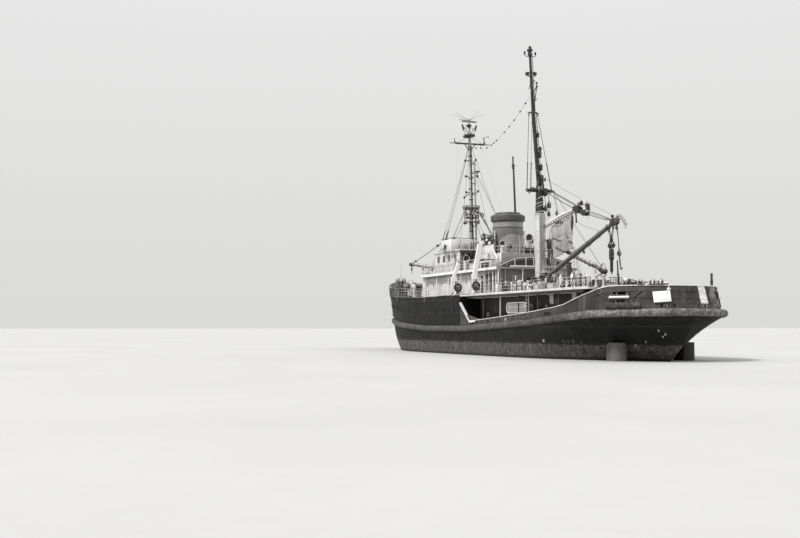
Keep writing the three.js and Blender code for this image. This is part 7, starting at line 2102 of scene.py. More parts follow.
def davit_gear():
    """Frames with their worm gear beside the davits' feet, and the falls' blocks on the davits."""
    k = Kit()
    for s in (-1, 1):
        for y, dark in ((-5.15, True), (0.05, False)):
            yy, X = y - 0.62, 5.75 + (0.3 if dark else 0.0)
            for x0, x1 in ((X - 0.37, X - 0.23), (X + 0.27, X + 0.39)):
                k.bar((s * x0, yy, UPPER_Z + 0.01), (s * (x1 - 0.04), yy, UPPER_Z + 1.45), 0.10, 0.08, "white_trim")
            k.box((s * X, yy, UPPER_Z + 1.5), (0.86, 0.1, 0.12), "white_trim", None, 0.03)
            k.box((s * X, yy, UPPER_Z + 0.06), (0.86, 0.42, 0.1), "white_trim", None, 0.03)
            k.box((s * X, yy + 0.04, UPPER_Z + 0.78), (0.5, 0.1, 0.9), "pale_gear", None, 0.03)
            k.lathe((s * X, yy - 0.08, UPPER_Z + 0.82), (0, -1, 0), [(0.3, 0), (0.42, 0.0), (0.45, 0.06), (0.42, 0.12), (0.3, 0.12)], "black_paint", 22, closed=True)
            k.lathe((s * X, yy - 0.04, UPPER_Z + 0.82), (0, -1, 0), [(0, 0), (0.14, 0), (0.12, 0.14), (0, 0.16)], "grey_gear", 14)
            for i in range(5):
                a = i * 2 * math.pi / 5 + 0.3
                k.bar((s * X, yy - 0.12, UPPER_Z + 0.82), (s * X + math.cos(a) * 0.33, yy - 0.12, UPPER_Z + 0.82 + math.sin(a) * 0.33), 0.07, 0.05, "black_paint", up=(0, 1, 0))
            for x0, x1 in ((X - 0.45, X - 0.17), (X + 0.45, X + 0.2)):
                k.bar((s * x0, yy - 0.3, UPPER_Z + 0.03), (s * x1, yy - 0.08, UPPER_Z + 0.42), 0.1, 0.06, "white_trim")
            k.tube([(s * X, yy - 0.14, UPPER_Z + 0.82), (s * X, yy - 0.36, UPPER_Z + 0.82), (s * (X + 0.25), yy - 0.36, UPPER_Z + 0.7)], 0.03, "dark_gear", 8)
    k.make("davit_winding_frames", "ship")
    for tag, y, top in (("fore", 0.05, (0.30, 3.0)), ("aft", -5.15, (0.85, 4.85))):
        for side, sn in ((-1, "port"), (1, "starboard")):
            k = Kit()
            X, Z = side * 5.75, UPPER_Z + 0.36
            P = lambda dx, dz, dy=0.0: np.array([X + side * dx, y + dy, Z + dz])
            if tag == "aft":
                # head sheave, tackle made fast along the arm
                block(k, P(-0.86, 4.62, 0), (0, 1, 0), 0.16, 0.12, "grey_gear")
                k.ring(P(-0.86, 4.85, 0), (0, 1, 0), 0.13, 0.04, "grey_gear", 14)
                for dy in (-0.14, 0.14):
                    k.tube([P(-0.86, 4.5, dy * 0.3), P(-0.42, 3.4, dy), P(-0.12, 2.0, dy), P(0.02, 0.9, dy)], 0.014, "pale_rope", 5)
                ribs = [(0.12, 0.3), (0.13, 0.75), (0.14, 1.2), (0.1, 1.7), (0.0, 2.2), (-0.1, 2.75), (-0.2, 3.3), (-0.3, 3.85), (-0.4, 4.35)]
                wide = 0.50
            else:
                block(k, P(-0.40, 3.1, 0), (0, 1, 0), 0.13, 0.10, "grey_gear")
                ribs = [(0.1, 0.35), (0.13, 0.8), (0.15, 1.3), (0.05, 1.75), (-0.13, 2.25), (-0.28, 2.7)]
                wide = 0.42
            for i, (dx, dz) in enumerate(ribs):
                w = wide * (1.2 if dz < 1.6 else 0.9)
                for dy in (-0.13, 0.13):
                    k.lathe(P(dx - w * 0.36, dz, dy * 0.9), (0, math.copysign(1, dy), 0), [(0, 0), (0.022, 0.0), (0.016, 0.02), (0, 0.024)], "white_trim", 6)
                    k.lathe(P(dx + w * 0.36, dz, dy * 0.9), (0, math.copysign(1, dy), 0), [(0, 0), (0.022, 0.0), (0.016, 0.02), (0, 0.024)], "white_trim", 6)
            k.lathe(P(0, 0, -0.3), (0, 1, 0), [(0, 0), (0.12, 0), (0.12, 0.04), (0, 0.05)], "dark_gear", 12)
            k.lathe(P(0, 0, 0.3), (0, -1, 0), [(0, 0), (0.12, 0), (0.12, 0.04), (0, 0.05)], "dark_gear", 12)
            cl = P(0.05, 1.05, -0.16)
            k.box(cl, (0.34, 0.05, 0.05), "dark_gear", None, 0.015)
            k.box(cl + (0, 0.02, 0), (0.1, 0.06, 0.1), "dark_gear", None, 0.015)
            k.make(f"davit_gear_{tag}_{sn}", f"{tag}_{sn}_davit")


davit_gear()
def gaff_and_cloth():
    """Short gaff on the mainmast, the weathered cloth that hangs from it, and the gear stowed at the mast beside it."""
    k = Kit()
    A, B = np.array([0.42, -7.95, 12.5]), np.array([0.95, -12.75, 13.55])
    d = unit(B - A)
    k.tube([A, A + (B - A) * 0.04, A + (B - A) * 0.5, A + (B - A) * 0.96, B], 0.12, "pale_gear", 12)
    k.tube([A + (B - A) * 0.05 + (0, 0, 0.17), A + (B - A) * 0.3 + (0.02, 0, 0.25), A + (B - A) * 0.62 + (-0.02, 0, 0.28), A + (B - A) * 0.95 + (0, 0, 0.18)], 0.14, "white_trim", 10)
    for t in np.arange(0.08, 0.97, 0.09):
        k.ring(A + (B - A) * t + (0, 0, 0.06), d, 0.19, 0.022, "dark_gear", 14)
    for t, h in ((0.2, 0.34), (0.34, 0.4), (0.52, 0.36), (0.7, 0.3)):
        k.rod(A + (B - A) * t + (0, 0, 0.1), A + (B - A) * (t + 0.03) + (0, 0, h), 0.04, "grey_gear", 6)
    # jaws at the mast, peak band, and the shackle and slim dark spindle under the peak
    k.bar(A + (-0.2, 0.1, 0), A + (0.06, -0.12, 0.02), 0.3, 0.3, "dark_gear")
    k.ring(B - d * 0.12, d, 0.15, 0.035, "dark_gear", 16)
    p = np.array([0.97, -12.35, 13.36])
    k.rod(p + (0, 0, 0.06), p - (0, 0, 0.14), 0.035, "dark_gear", 8)
    k.lathe(p - (0, 0, 1.62), (0, -0.09, 1), [(0, 0), (0.035, 0.02), (0.05, 0.2), (0.1, 0.34), (0.115, 0.8), (0.1, 1.28), (0.06, 1.42), (0.05, 1.5), (0, 1.52)], "black_paint", 14)
    # dark strop round the gaff's middle, where the cloth is drawn up
    m = A + (B - A) * 0.46
    k.tube(curve([m + (-0.14, 0.62, -0.08), m + (-0.17, 0.3, -0.26), m + (-0.17, -0.1, -0.3), m + (-0.14, -0.45, -0.1)], 5), 0.055, "black_paint", 8)
    k.make("mast_gaff", "ship")

    # gear stowed on brackets at the mast's side
    k = Kit()
    for c, s, m, r in (((0.66, -8.4, 10.75), (0.36, 0.62, 0.95), "black_paint", 6), ((0.68, -8.55, 9.85), (0.38, 0.8, 0.75), "dark_gear", -5), ((0.62, -8.35, 9.2), (0.34, 0.6, 0.5), "black_paint", 9)):
        k.box(c, s, m, r, 0.09)
        k.box((c[0], c[1], c[2] + s[2] / 2 + 0.02), (s[0] * 0.9, s[1] * 0.9, 0.05), "grey_gear", r, 0.015)
        k.box((c[0] - 0.02, c[1] - s[1] / 2 - 0.03, c[2]), (s[0] * 0.5, 0.03, s[2] * 0.7), "dark_gear", r, 0.01)
    for z in (9.05, 9.7, 10.4, 11.2):
        k.bar((0.3, -7.85, z), (0.66, -8.35, z), 0.07, 0.06, "grey_gear")
    for x, y, z0, z1 in ((0.82, -8.95, 9.1, 10.1), (0.5, -8.86, 8.9, 9.8), (0.86, -8.05, 11.4, 12.3)):
        k.rod((x, y, z0), (x + 0.03, y - 0.12, z1), 0.045, "pale_gear", 8)
        k.lathe((x, y, z0 - 0.04), (0, 0, 1), [(0, 0), (0.08, 0), (0.08, 0.06), (0, 0.08)], "dark_gear", 10)
    k.make("mast_side_gear", "ship")

    # cloth: straight folds that run down from the gaff, with a few slack creases across them
    NU, NV = 120, 44
    Y0, Y1, DROP = -8.75, -12.3, 3.15
    span = B[1] - A[1]
    verts = np.zeros((NV + 1, NU + 1, 3))
    for j in range(NV + 1):
        v = j / NV
        for i in range(NU + 1):
            u = i / NU
            y = Y0 + (Y1 - Y0) * u + 0.05 * math.sin(17 * u + 1.0)
            t = (y - A[1]) / span
            a = 0.05 + 0.06 * min(1.0, v * 2.2)
            x = A[0] + (B[0] - A[0]) * t + a * math.sin(2 * math.pi * 6.3 * u + 0.9 * math.sin(2.2 * u * math.pi) + 0.5 * v) + 0.035 * math.sin(2 * math.pi * 2.1 * u - 2.4 * v)
            x += 0.05 * math.exp(-((v - 0.36 - 0.22 * u) / 0.05) ** 2) - 0.05 * math.exp(-((v - 0.62 - 0.12 * u) / 0.06) ** 2)
            z = A[2] + (B[2] - A[2]) * t - 0.13 - 0.06 * math.sin(math.pi * ((u * 5) % 1.0)) - v * DROP - 0.12 * v * math.sin(math.pi * u)
            verts[j, i] = (max(0.72, x + 0.12), y + 0.04 * v * math.sin(7 * v + 9 * u), z)
    du = np.linalg.norm(np.diff(verts, axis=1), axis=2).sum(axis=1)
    dv = np.linalg.norm(np.diff(verts, axis=0), axis=2).sum(axis=0)
    k = Kit()
    faces = [[j * (NU + 1) + i, (j + 1) * (NU + 1) + i, (j + 1) * (NU + 1) + i + 1, j * (NU + 1) + i + 1] for j in range(NV) for i in range(NU)]
    k.add([tuple(p) for p in verts.reshape(-1, 3)], faces, "cloth_pale")
    o = k.make("hung_cloth", "ship", sharp=180, fix=False)
    m = o.modifiers.new("thickness", "SOLIDIFY")
    m.thickness = 0.012 * S
    m.offset = 0
    # the cut is a parallelogram, its upper edge rising along the gaff
    w, h = float(du.mean()), float(dv.mean())


gaff_and_cloth()


# ------------------------------------------------------------------ masts and standing rigging
def turnbuckle(k, a, b, at_=0.0, length=0.9):
    """Bottle screw low on a stay from a (low) to b (high)."""
    a, b = np.asarray(a, float), np.asarray(b, float)
    d = unit(b - a)
    p, q = a + d * (at_ + 0.12), a + d * (at_ + 0.12 + length)
    k.rod(p, q, 0.045, "dark_gear", 8)
    k.rod(a, p, 0.028, "dark_gear", 6)
    shackle(k, a + d * 0.02, d, 0.07, 0.022, "dark_gear")
    for t in (0.0, 1.0):
        c = p + (q - p) * t
        k.lathe(c - d * 0.05, d, [(0, 0), (0.06, 0.01), (0.06, 0.09), (0, 0.1)], "dark_gear", 8)
    for dz in (0.14, 0.26):
        k.lathe(q + d * dz, d, [(0, 0), (0.04, 0.0), (0.04, 0.06), (0, 0.06)], "dark_gear", 6)


def stay(k, a, b, r=0.02, drop=0.0, screw=True):
    a, b = np.asarray(a, float), np.asarray(b, float)
    k.tube(sag(a, b, drop, 12), r, "wire_rope", 6)
    if screw:
        turnbuckle(k, a, b)
    shackle(k, b, a - b, 0.06, 0.018, "dark_gear")


def mainmast():
    k = Kit()
    # heights above the crosstree are laid out on a slightly shorter pole and stretched to fit
    M = lambda x, z, dy=0.0: np.array(on_mast(x, z if z < CROSS_Z + 0.3 else z + (z - CROSS_Z - 0.3) * 0.0222, dy))
    # hoops, deck collar, doublings and cleats of the heavy column
    for z, r, h in ((5.93, 0.62, 0.09), (6.15, 0.53, 0.05), (8.0, 0.51, 0.06), (10.1, 0.51, 0.05), (12.0, 0.51, 0.05), (13.7, 0.53, 0.12)):
        k.lathe(M(0, z), (0, 0, 1), [(r - 0.06, 0), (r, 0.01), (r, h - 0.01), (r - 0.06, h)], "pale_gear" if z > 6.2 else "grey_gear", 28, closed=True)
    for i in range(14):
        a = i * 2 * math.pi / 14
        k.lathe(M(math.cos(a) * 0.575, 6.02, math.sin(a) * 0.575), (0, 0, 1), [(0, 0), (0.03, 0), (0.025, 0.03), (0, 0.035)], "grey_gear", 6)
    # seam down the column, ladder on the starboard side and cable runs on the after side
    for a in (200, 320, 80):
        t = math.radians(a)
        k.rod(M(math.cos(t) * 0.492, 6.2, math.sin(t) * 0.492), M(math.cos(t) * 0.492, 13.65, math.sin(t) * 0.492), 0.014, "pale_gear", 5)
    for a, r in ((252, 0.026), (258, 0.026), (246, 0.018)):
        t = math.radians(a)
        pts = [M(math.cos(t) * 0.53, z, math.sin(t) * 0.53) for z in np.linspace(6.0, 13.6, 14)]
        k.tube([p + (0.006 * math.sin(i * 2.1), 0, 0) for i, p in enumerate(pts)], r, "grey_gear", 6)
    for z in np.arange(6.6, 13.6, 0.9):
        t = math.radians(252)
        k.box(M(math.cos(t) * 0.52, z, math.sin(t) * 0.52), (0.2, 0.05, 0.05), "grey_gear", -18, 0.01)
    ladder(k, M(0.62, 9.2, 0.15), M(0.62, 13.6, 0.15), 0.36, (0, 1, 0), 0.3, 0.024, "pale_gear")
    for z in (9.4, 11.0, 12.6, 13.5):
        for dy in (-0.02, 0.32):
            k.rod(M(0.62, z, dy), M(0.42, z, dy * 0.7 + 0.05), 0.018, "pale_gear", 5)
    # lugs under the crosstree
    for s in (-1, 1):
        k.lathe(M(s * 1.12, 15.86), (0, 0, -1), [(0, 0), (0.1, 0), (0.1, 0.06), (0.05, 0.1), (0, 0.1)], "black_paint", 10)
    k.make("mainmast_column_fittings", "ship")

    k = Kit()
    # neck: bands and turns of wire in light and dark, laid on a slant
    for i, (z0, tilt, m, r) in enumerate(((14.02, 0.10, "pale_gear", 0.05), (14.35, -0.16, "black_paint", 0.07), (14.62, 0.18, "pale_gear", 0.045), (14.9, 0.12, "pale_gear", 0.05), (15.15, -0.12, "black_paint", 0.06), (15.42, 0.22, "pale_gear", 0.05), (15.7, 0.1, "black_paint", 0.07))):
        R = 0.40 - 0.035 * (z0 - 13.9) + 0.0
        pts = [M(math.cos(a) * (R + 0.01), z0 + tilt * math.cos(a), math.sin(a) * (R + 0.01)) for a in np.radians(np.linspace(0, 360, 26, endpoint=False))]
        k.tube(pts, r * 0.75, m, 6, closed=True)
    # plates and dark box-like blocks of the hounds
    k.box(M(-0.62, 16.12, -0.02), (1.2, 0.42, 0.22), "black_paint", None, 0.06)
    k.box(M(0.52, 16.12, 0.0), (1.25, 0.4, 0.2), "black_paint", None, 0.06)
    k.lathe(M(-0.75, 16.02, 0), (0, 0, 1), [(0, 0), (0.3, 0.0), (0.34, 0.08), (0.3, 0.26), (0.12, 0.36), (0, 0.37)], "black_paint", 14)
    k.lathe(M(0.5, 15.5, -0.18), (0, 0, 1), [(0, 0), (0.16, 0.03), (0.24, 0.14), (0.24, 0.5), (0.12, 0.62), (0, 0.63)], "black_paint", 14)
    k.tube([M(0.44, 16.2, -0.05), M(0.44, 16.55, -0.05), M(0.48, 16.72, -0.05)], 0.08, "black_paint", 8)
    k.box(M(-0.02, 16.3, -0.24), (0.52, 0.12, 0.42), "grey_gear", None, 0.05)
    for s in (-1, 1):
        for dz in (-0.12, 0.12):
            k.box(M(s * 0.7, 16.06 + dz, 0), (1.3, 0.34, 0.035), "black_paint", None, 0.012)
        k.tube([M(s * 1.3, 16.0, 0.1), M(s * 1.42, 16.05, 0.1), M(s * 1.42, 16.15, 0.1), M(s * 1.3, 16.2, 0.1)], 0.05, "black_paint", 8)
    # lead blocks that hang under the hounds
    block(k, M(0.86, 14.62, -0.35), (1, 0, 0), 0.26, 0.2, "black_paint")
    block(k, M(0.42, 14.25, -0.45), (1, 0.3, 0), 0.22, 0.18, "black_paint")
    k.tube(curve([M(0.8, 15.9, -0.15), M(0.86, 15.3, -0.3), M(0.86, 14.9, -0.35)], 5), 0.03, "wire_rope", 6)
    k.tube(curve([M(0.4, 15.5, -0.3), M(0.42, 14.9, -0.42), M(0.42, 14.5, -0.45)], 5), 0.03, "wire_rope", 6)
    block(k, M(0.80, 13.75, -0.42), (1, 0, 0), 0.2, 0.16, "dark_gear")
    k.tube([M(0.84, 14.4, -0.38), M(0.80, 13.98, -0.42)], 0.025, "wire_rope", 6)
    # rope falls that run down the column from these blocks
    for pts, r in (([M(0.86, 14.4, -0.4), M(0.62, 12.0, -0.5), M(0.66, 9.0, -0.6), M(0.7, 6.35, -0.7)], 0.02),
                   ([M(0.36, 14.1, -0.5), M(0.32, 12.2, -0.52), M(0.38, 11.4, -0.54), M(0.44, 8.6, -0.5), M(0.45, 7.32, -0.6)], 0.022),
                   ([M(0.5, 14.1, -0.5), M(0.26, 11.0, -0.54), M(-0.3, 8.9, -0.5), M(-0.36, 7.32, -0.62)], 0.016)):
        k.tube(curve(pts, 5), r, "pale_rope", 6)
    for x in (-0.37, 0.45):
        k.bar(M(x, 7.3, -0.3), M(x, 7.3, -0.68), 0.05, 0.05, "dark_gear")
        k.rod(M(x - 0.17, 7.32, -0.66), M(x + 0.17, 7.32, -0.66), 0.03, "dark_gear", 6)
    k.make("mainmast_hounds", "ship")

    # pole above: lamps, steps, screens, arms and the small gaff
    k = Kit()
    for z in np.arange(16.7, 29.2, 0.42):
        r = 0.23 - 0.04 * (z - 16) / 7.6 if z < 23.6 else 0.17 - 0.06 * (z - 23.6) / 6.4
        for s in (-1, 1):
            k.tube([M(s * 0.12, z, -r * 0.8), M(s * 0.14, z, -r - 0.14), M(0, z, -r - 0.16)], 0.014, "black_paint", 5)
    for z, r in ((18.2, 0.26), (20.0, 0.25), (21.8, 0.235), (23.55, 0.225), (25.4, 0.18), (27.0, 0.165), (28.7, 0.14)):
        k.lathe(M(0, z), (0, 0, 1), [(r - 0.06, 0), (r, 0.01), (r, 0.07), (r - 0.06, 0.08)], "dark_gear", 16, closed=True)
    # boxes, cables and lamps on the after side of the pole
    cab = [M(0.24, z, -0.16) for z in np.linspace(16.2, 23.4, 16)] + [M(0.17, z, -0.12) for z in np.linspace(23.7, 29.3, 10)]
    k.tube([p + (0.012 * math.sin(i * 1.7), 0, 0) for i, p in enumerate(cab)], 0.03, "black_paint", 6)
    for z, w, h, x in ((17.1, 0.34, 0.95, 0.24), (18.3, 0.3, 0.6, 0.26), (19.55, 0.26, 0.7, 0.27), (20.1, 0.3, 0.35, 0.33), (21.4, 0.2, 0.5, 0.24), (16.75, 0.24, 0.5, -0.16), (17.8, 0.28, 0.5, -0.14)):
        k.box(M(x, z, -0.2), (w, 0.26, h), "black_paint" if z < 19 else "dark_gear", 8, 0.05)
        k.lathe(M(x, z + h / 2, -0.2), (0, 0, 1), [(0, 0), (0.07, 0), (0.05, 0.06), (0, 0.07)], "dark_gear", 8)
    # lamps at the knee
    for s in (-1, 1):
        k.tube([M(s * 0.3, 23.62, 0), M(s * 0.46, 23.6, 0), M(s * 0.48, 23.52, 0)], 0.035, "black_paint", 6)
        lamp(k, M(s * 0.48, 23.3, 0), 0.09, 0.24, "lamp_glass", "black_paint")
        k.lathe(M(s * 0.48, 23.52, 0), (0, 0, 1), [(0, 0), (0.15, 0), (0.13, 0.04), (0, 0.05)], "black_paint", 12)
    # gaff with its topping wires on the starboard side
    tip, root_ = M(0.54, 26.12, -0.02), M(0.18, 24.4, -0.04)
    k.tube([M(0.12, 23.6, -0.02), root_, tip, M(0.55, 26.5, -0.02)], 0.045, "black_paint", 6)
    k.tube([M(0.1, 24.7, 0), M(0.36, 25.1, 0), M(0.16, 25.35, 0)], 0.03, "black_paint", 6)
    k.rod(M(0.12, 25.55, 0), tip, 0.05, "black_paint", 8)
    for z in (26.15, 26.5):
        k.ball(M(0.55, z, -0.02), 0.12, "black_paint", 10)
    k.ball(M(0.42, 24.9, -0.02), 0.07, "black_paint", 8)
    k.rod(M(-0.1, 26.4, 0), M(-0.34, 25.85, 0), 0.035, "black_paint", 6)
    k.rod(M(-0.15, 26.6, 0), M(-0.05, 25.9, 0), 0.03, "black_paint", 6)
    # crossbar with two dark lamps on it
    for s, dz in ((-1, -0.06), (1, 0.0)):
        k.box(M(s * 0.42, 27.38 + dz, 0), (0.34, 0.28, 0.34), "black_paint", None, 0.06)
        k.lathe(M(s * 0.42, 27.2 + dz, 0), (0, 0, -1), [(0, 0), (0.1, 0), (0.1, 0.12), (0, 0.14)], "lamp_glass", 12)
    k.tube([M(-0.3, 27.2, 0), M(-0.14, 27.05, 0), M(-0.02, 27.0, 0)], 0.05, "black_paint", 6)
    # upturned arms near the truck
    for s in (-1, 1):
        k.tube(curve([M(0, 29.02, 0), M(s * 0.38, 29.02, 0), M(s * 0.58, 29.12, 0), M(s * 0.58, 29.45, 0)], 4), 0.035, "black_paint", 6)
        k.lathe(M(s * 0.58, 29.2, 0), (0, 0, 1), [(0, 0), (0.08, 0.02), (0.1, 0.1), (0.1, 0.24), (0.06, 0.3), (0, 0.31)], "black_paint", 12)
    k.lathe(M(0, 29.08, 0), (0, 0, 1), [(0, 0), (0.2, 0.02), (0.24, 0.12), (0.2, 0.28), (0, 0.3)], "black_paint", 14)
    k.lathe(M(0, 29.52, 0), (0, 0, 1), [(0, 0), (0.24, 0), (0.3, 0.05), (0.3, 0.17), (0.2, 0.2), (0, 0.2)], "black_paint", 16)
    for s in (-1, 1):
        k.lathe(M(s * 0.16, 29.7, 0), (0, 0, 1), [(0, 0), (0.09, 0), (0.1, 0.1), (0.09, 0.24), (0.05, 0.28), (0, 0.28)], "lamp_glass", 12)
    k.make("mainmast_pole_fittings", "ship")

    # shrouds and stays
    k = Kit()
    for a, b, r in (((-1.36, MAST_Y, 16.2), M(-0.48, 23.5), 0.026), ((1.3, MAST_Y, 16.25), M(0.46, 23.5), 0.026), ((-0.9, MAST_Y + 0.1, 16.25), M(-0.14, 23.4), 0.016)):
        stay(k, a, b, r)
        d = unit(np.asarray(b) - np.asarray(a))
        k.rod(np.asarray(a) + d * 1.1, np.asarray(a) + d * 2.5, 0.045, "dark_gear", 8)
        k.ball(np.asarray(a) + d * 2.5, 0.08, "dark_gear", 8)
    k.make("mainmast_stays", "ship")

    # aerial wire with egg insulators, from the foremast's yard to the pole of the mainmast
    k = Kit()
    a, b = np.array([2.35, FOREMAST_Y, 23.15]), M(-0.12, 25.25, 0.2)
    wire = sag(a, b, 0.5, 24)
    k.tube(wire, 0.012, "wire_rope", 5)
    for t in (0.05, 0.12, 0.19, 0.40, 0.52, 0.64, 0.78, 0.90):
        p = np.array([np.interp(t * (len(wire) - 1), range(len(wire)), np.array(wire)[:, j]) for j in range(3)])
        d = unit(b - a)
        k.lathe(p - d * 0.12, d, [(0, 0), (0.05, 0.02), (0.09, 0.08), (0.06, 0.12), (0.09, 0.16), (0.05, 0.22), (0, 0.24)], "dark_gear", 8)
    k.make("aerial_wire", "ship")


mainmast()


def foremast():
    k = Kit()
    F = lambda x, z, dy=0.0: np.array(on_foremast(x, dy, z))
    # second, thinner pole close beside the first, with its clamps
    k.tube([F(0.50, z, -0.12) for z in np.linspace(OPEN_Z + 0.02, 21.2, 12)], 0.10, "foremast_paint", 10)
    for z in (12.6, 14.0, 17.6, 18.8, 20.0, 21.0):
        k.box(F(0.32, z, -0.06), (0.5, 0.16, 0.1), "grey_gear", None, 0.02)
        k.lathe(F(0.50, z - 0.05, -0.12), (0, 0, 1), [(0.09, 0), (0.135, 0.01), (0.135, 0.09), (0.09, 0.1)], "grey_gear", 12, closed=True)
    for z in np.arange(12.0, 22.6, 0.36):
        for s in (-1, 1):
            k.tube([F(-0.12 * s - 0.02, z, -0.2), F(-0.15 * s - 0.02, z, -0.4), F(-0.02, z, -0.42)], 0.013, "dark_gear", 5)
    for a, r in ((-80, 0.03), (-65, 0.022), (-95, 0.018)):
        t = math.radians(a)
        k.tube([F(math.cos(t) * 0.24 + 0.006 * math.sin(2 * z), z, math.sin(t) * 0.24) for z in np.linspace(11.2, 23.0, 18)], r, "dark_gear", 5)
    for z in (12.2, 13.4, 17.0, 18.2, 19.4, 21.9, 22.7):
        k.lathe(F(0, z - 0.04), (0, 0, 1), [(0.16, 0), (0.255, 0.01), (0.255, 0.08), (0.16, 0.09)], "dark_gear", 16, closed=True)
    # side brackets with their lamps
    for pts, end in (([F(-0.2, 21.38), F(-0.55, 21.36)], (-0.6, 21.36)), ([F(0.1, 21.1), F(0.5, 21.25), F(0.66, 21.5)], (0.7, 21.52)),
                     ([F(0.1, 19.45), F(0.75, 19.62), F(0.86, 19.62)], (0.86, 19.66)), ([F(-0.2, 19.6), F(-0.5, 19.6)], (-0.56, 19.6)),
                     ([F(-0.2, 17.8), F(-0.5, 17.8)], (-0.56, 17.8)), ([F(0.15, 17.72), F(0.7, 17.78), F(0.85, 17.95)], (0.88, 17.98)),
                     ([F(-0.15, 17.65), F(-0.5, 17.5), F(-0.74, 17.25)], (-0.8, 17.2))):
        k.tube(pts, 0.05, "dark_gear", 6)
        k.lathe(F(end[0], end[1] - 0.13), (0, 0, 1), [(0, 0), (0.1, 0.01), (0.12, 0.06), (0.1, 0.2), (0.12, 0.24), (0, 0.28)], "dark_gear", 12)
    # small platform to starboard with its strut
    k.box(F(0.78, 20.18), (0.66, 0.5, 0.12), "dark_gear", None, 0.03)
    k.bar(F(0.88, 20.1), F(0.82, 19.62), 0.1, 0.06, "dark_gear")
    k.bar(F(0.5, 20.12), F(0.2, 19.9), 0.08, 0.05, "dark_gear")
    k.lathe(F(0.95, 20.24), (0, 0, 1), [(0, 0), (0.1, 0), (0.1, 0.06), (0.05, 0.1), (0, 0.1)], "black_paint", 10)
    k.make("foremast_pole_fittings", "ship")

    # the two crowded platforms over the tripod
    k = Kit()
    for z, R in ((15.95, 0.92), (14.95, 0.80)):
        for h in (0.30, 0.0):
            k.ring(F(0.03, z + h), (0, 0, 1), R, 0.035, "dark_gear", 28, 6)
        for i in range(9):
            a = i * 2 * math.pi / 9 + 0.2
            k.rod(F(0.03 + math.cos(a) * R, z, math.sin(a) * R), F(0.03 + math.cos(a) * R, z + 0.3, math.sin(a) * R), 0.025, "dark_gear", 6)
        for i in range(8):
            a = i * math.pi / 4
            k.bar(F(math.cos(a) * 0.2, z, math.sin(a) * 0.2), F(0.03 + math.cos(a) * R, z, math.sin(a) * R), 0.09, 0.04, "dark_gear")
    for i in range(8):
        a = i * math.pi / 4 + 0.3
        k.rod(F(0.03 + math.cos(a) * 0.86, 16.0, math.sin(a) * 0.86), F(0.03 + math.cos(a) * 0.72, 14.9, math.sin(a) * 0.72), 0.022, "dark_gear", 6)
    RNG.seed(41)
    for i in range(18):
        a = RNG.uniform(0, 2 * math.pi)
        R = RNG.uniform(0.45, 0.85)
        z = RNG.choice((15.35, 15.5, 15.7, 14.45, 14.35, 14.6))
        c = F(math.cos(a) * R, z, math.sin(a) * R)
        m = RNG.choice(("dark_gear", "black_paint", "grey_gear", "pale_gear"))
        if i % 3 == 0:
            k.box(c, (RNG.uniform(0.14, 0.26), RNG.uniform(0.14, 0.24), RNG.uniform(0.16, 0.34)), m, math.degrees(a), 0.03)
        elif i % 3 == 1:
            k.lathe(c, (0, 0, 1), [(0, -0.14), (0.09, -0.13), (0.13, -0.05), (0.13, 0.1), (0.08, 0.16), (0, 0.17)], m, 12)
        else:
            d = np.array([math.cos(a), math.sin(a), 0])
            k.lathe(c, d, [(0, -0.1), (0.1, -0.08), (0.15, 0.04), (0.15, 0.12), (0.12, 0.12), (0, 0.08)], m, 12)
        k.rod(c + (0, 0, 0.12), c + (0, 0, 0.5), 0.02, "dark_gear", 5)
    # lamps that stand under the lower ring
    for x, z in ((-0.72, 14.35), (0.78, 14.4), (-0.35, 14.3), (0.4, 14.32)):
        lamp(k, F(x, z - 0.12, -0.35), 0.1, 0.28, "lamp_glass", "black_paint")
        k.rod(F(x, z + 0.15, -0.35), F(x * 0.9, 14.95, -0.3), 0.03, "black_paint", 6)
    # sheave held out to starboard, with its bracket
    k.ring(F(1.22, 15.3, -0.2), (0, 1, 0), 0.2, 0.055, "dark_gear", 22, 8)
    k.lathe(F(1.22, 15.3, -0.26), (0, 1, 0), [(0, 0), (0.07, 0), (0.07, 0.12), (0, 0.12)], "dark_gear", 10)
    for i in range(4):
        a = i * math.pi / 2 + 0.4
        k.rod(F(1.22, 15.3, -0.2), F(1.22 + math.cos(a) * 0.2, 15.3 + math.sin(a) * 0.2, -0.2), 0.022, "dark_gear", 5)
    k.bar(F(0.75, 15.1, -0.1), F(1.2, 15.3, -0.2), 0.08, 0.05, "dark_gear")
    k.bar(F(0.85, 15.9, -0.1), F(1.2, 15.4, -0.2), 0.06, 0.04, "dark_gear")
    k.make("foremast_platforms", "ship")

    # head of the foremast: yard, dark top platform, horned arms, aerials
    k = Kit()
    for s in (-1, 1):
        k.rod(F(s * 0.1, 23.30), F(s * 1.75, 23.3), 0.095, "dark_gear", 10)
        k.ball(F(s * 2.36, 23.3), 0.07, "dark_gear", 8)
        k.rod(F(s * 1.82, 23.3), F(s * 1.86, 23.82), 0.045, "dark_gear", 6)
        k.lathe(F(s * 1.82, 23.3), (0, 0, 1), [(0, 0), (0.1, 0.02), (0.08, 0.2), (0.03, 0.24), (0, 0.24)], "dark_gear", 10)
        for x in (0.7, 1.25, 1.6):
            k.lathe(F(s * x, 23.3), (s, 0, 0), [(0, 0), (0.12, 0), (0.12, 0.05), (0, 0.05)], "dark_gear", 10)
        k.rod(F(s * 1.7, 23.32), F(0, 24.1), 0.016, "wire_rope", 5)
        k.rod(F(s * 0.6, 23.24), F(s * 0.1, 22.5), 0.05, "dark_gear", 6)
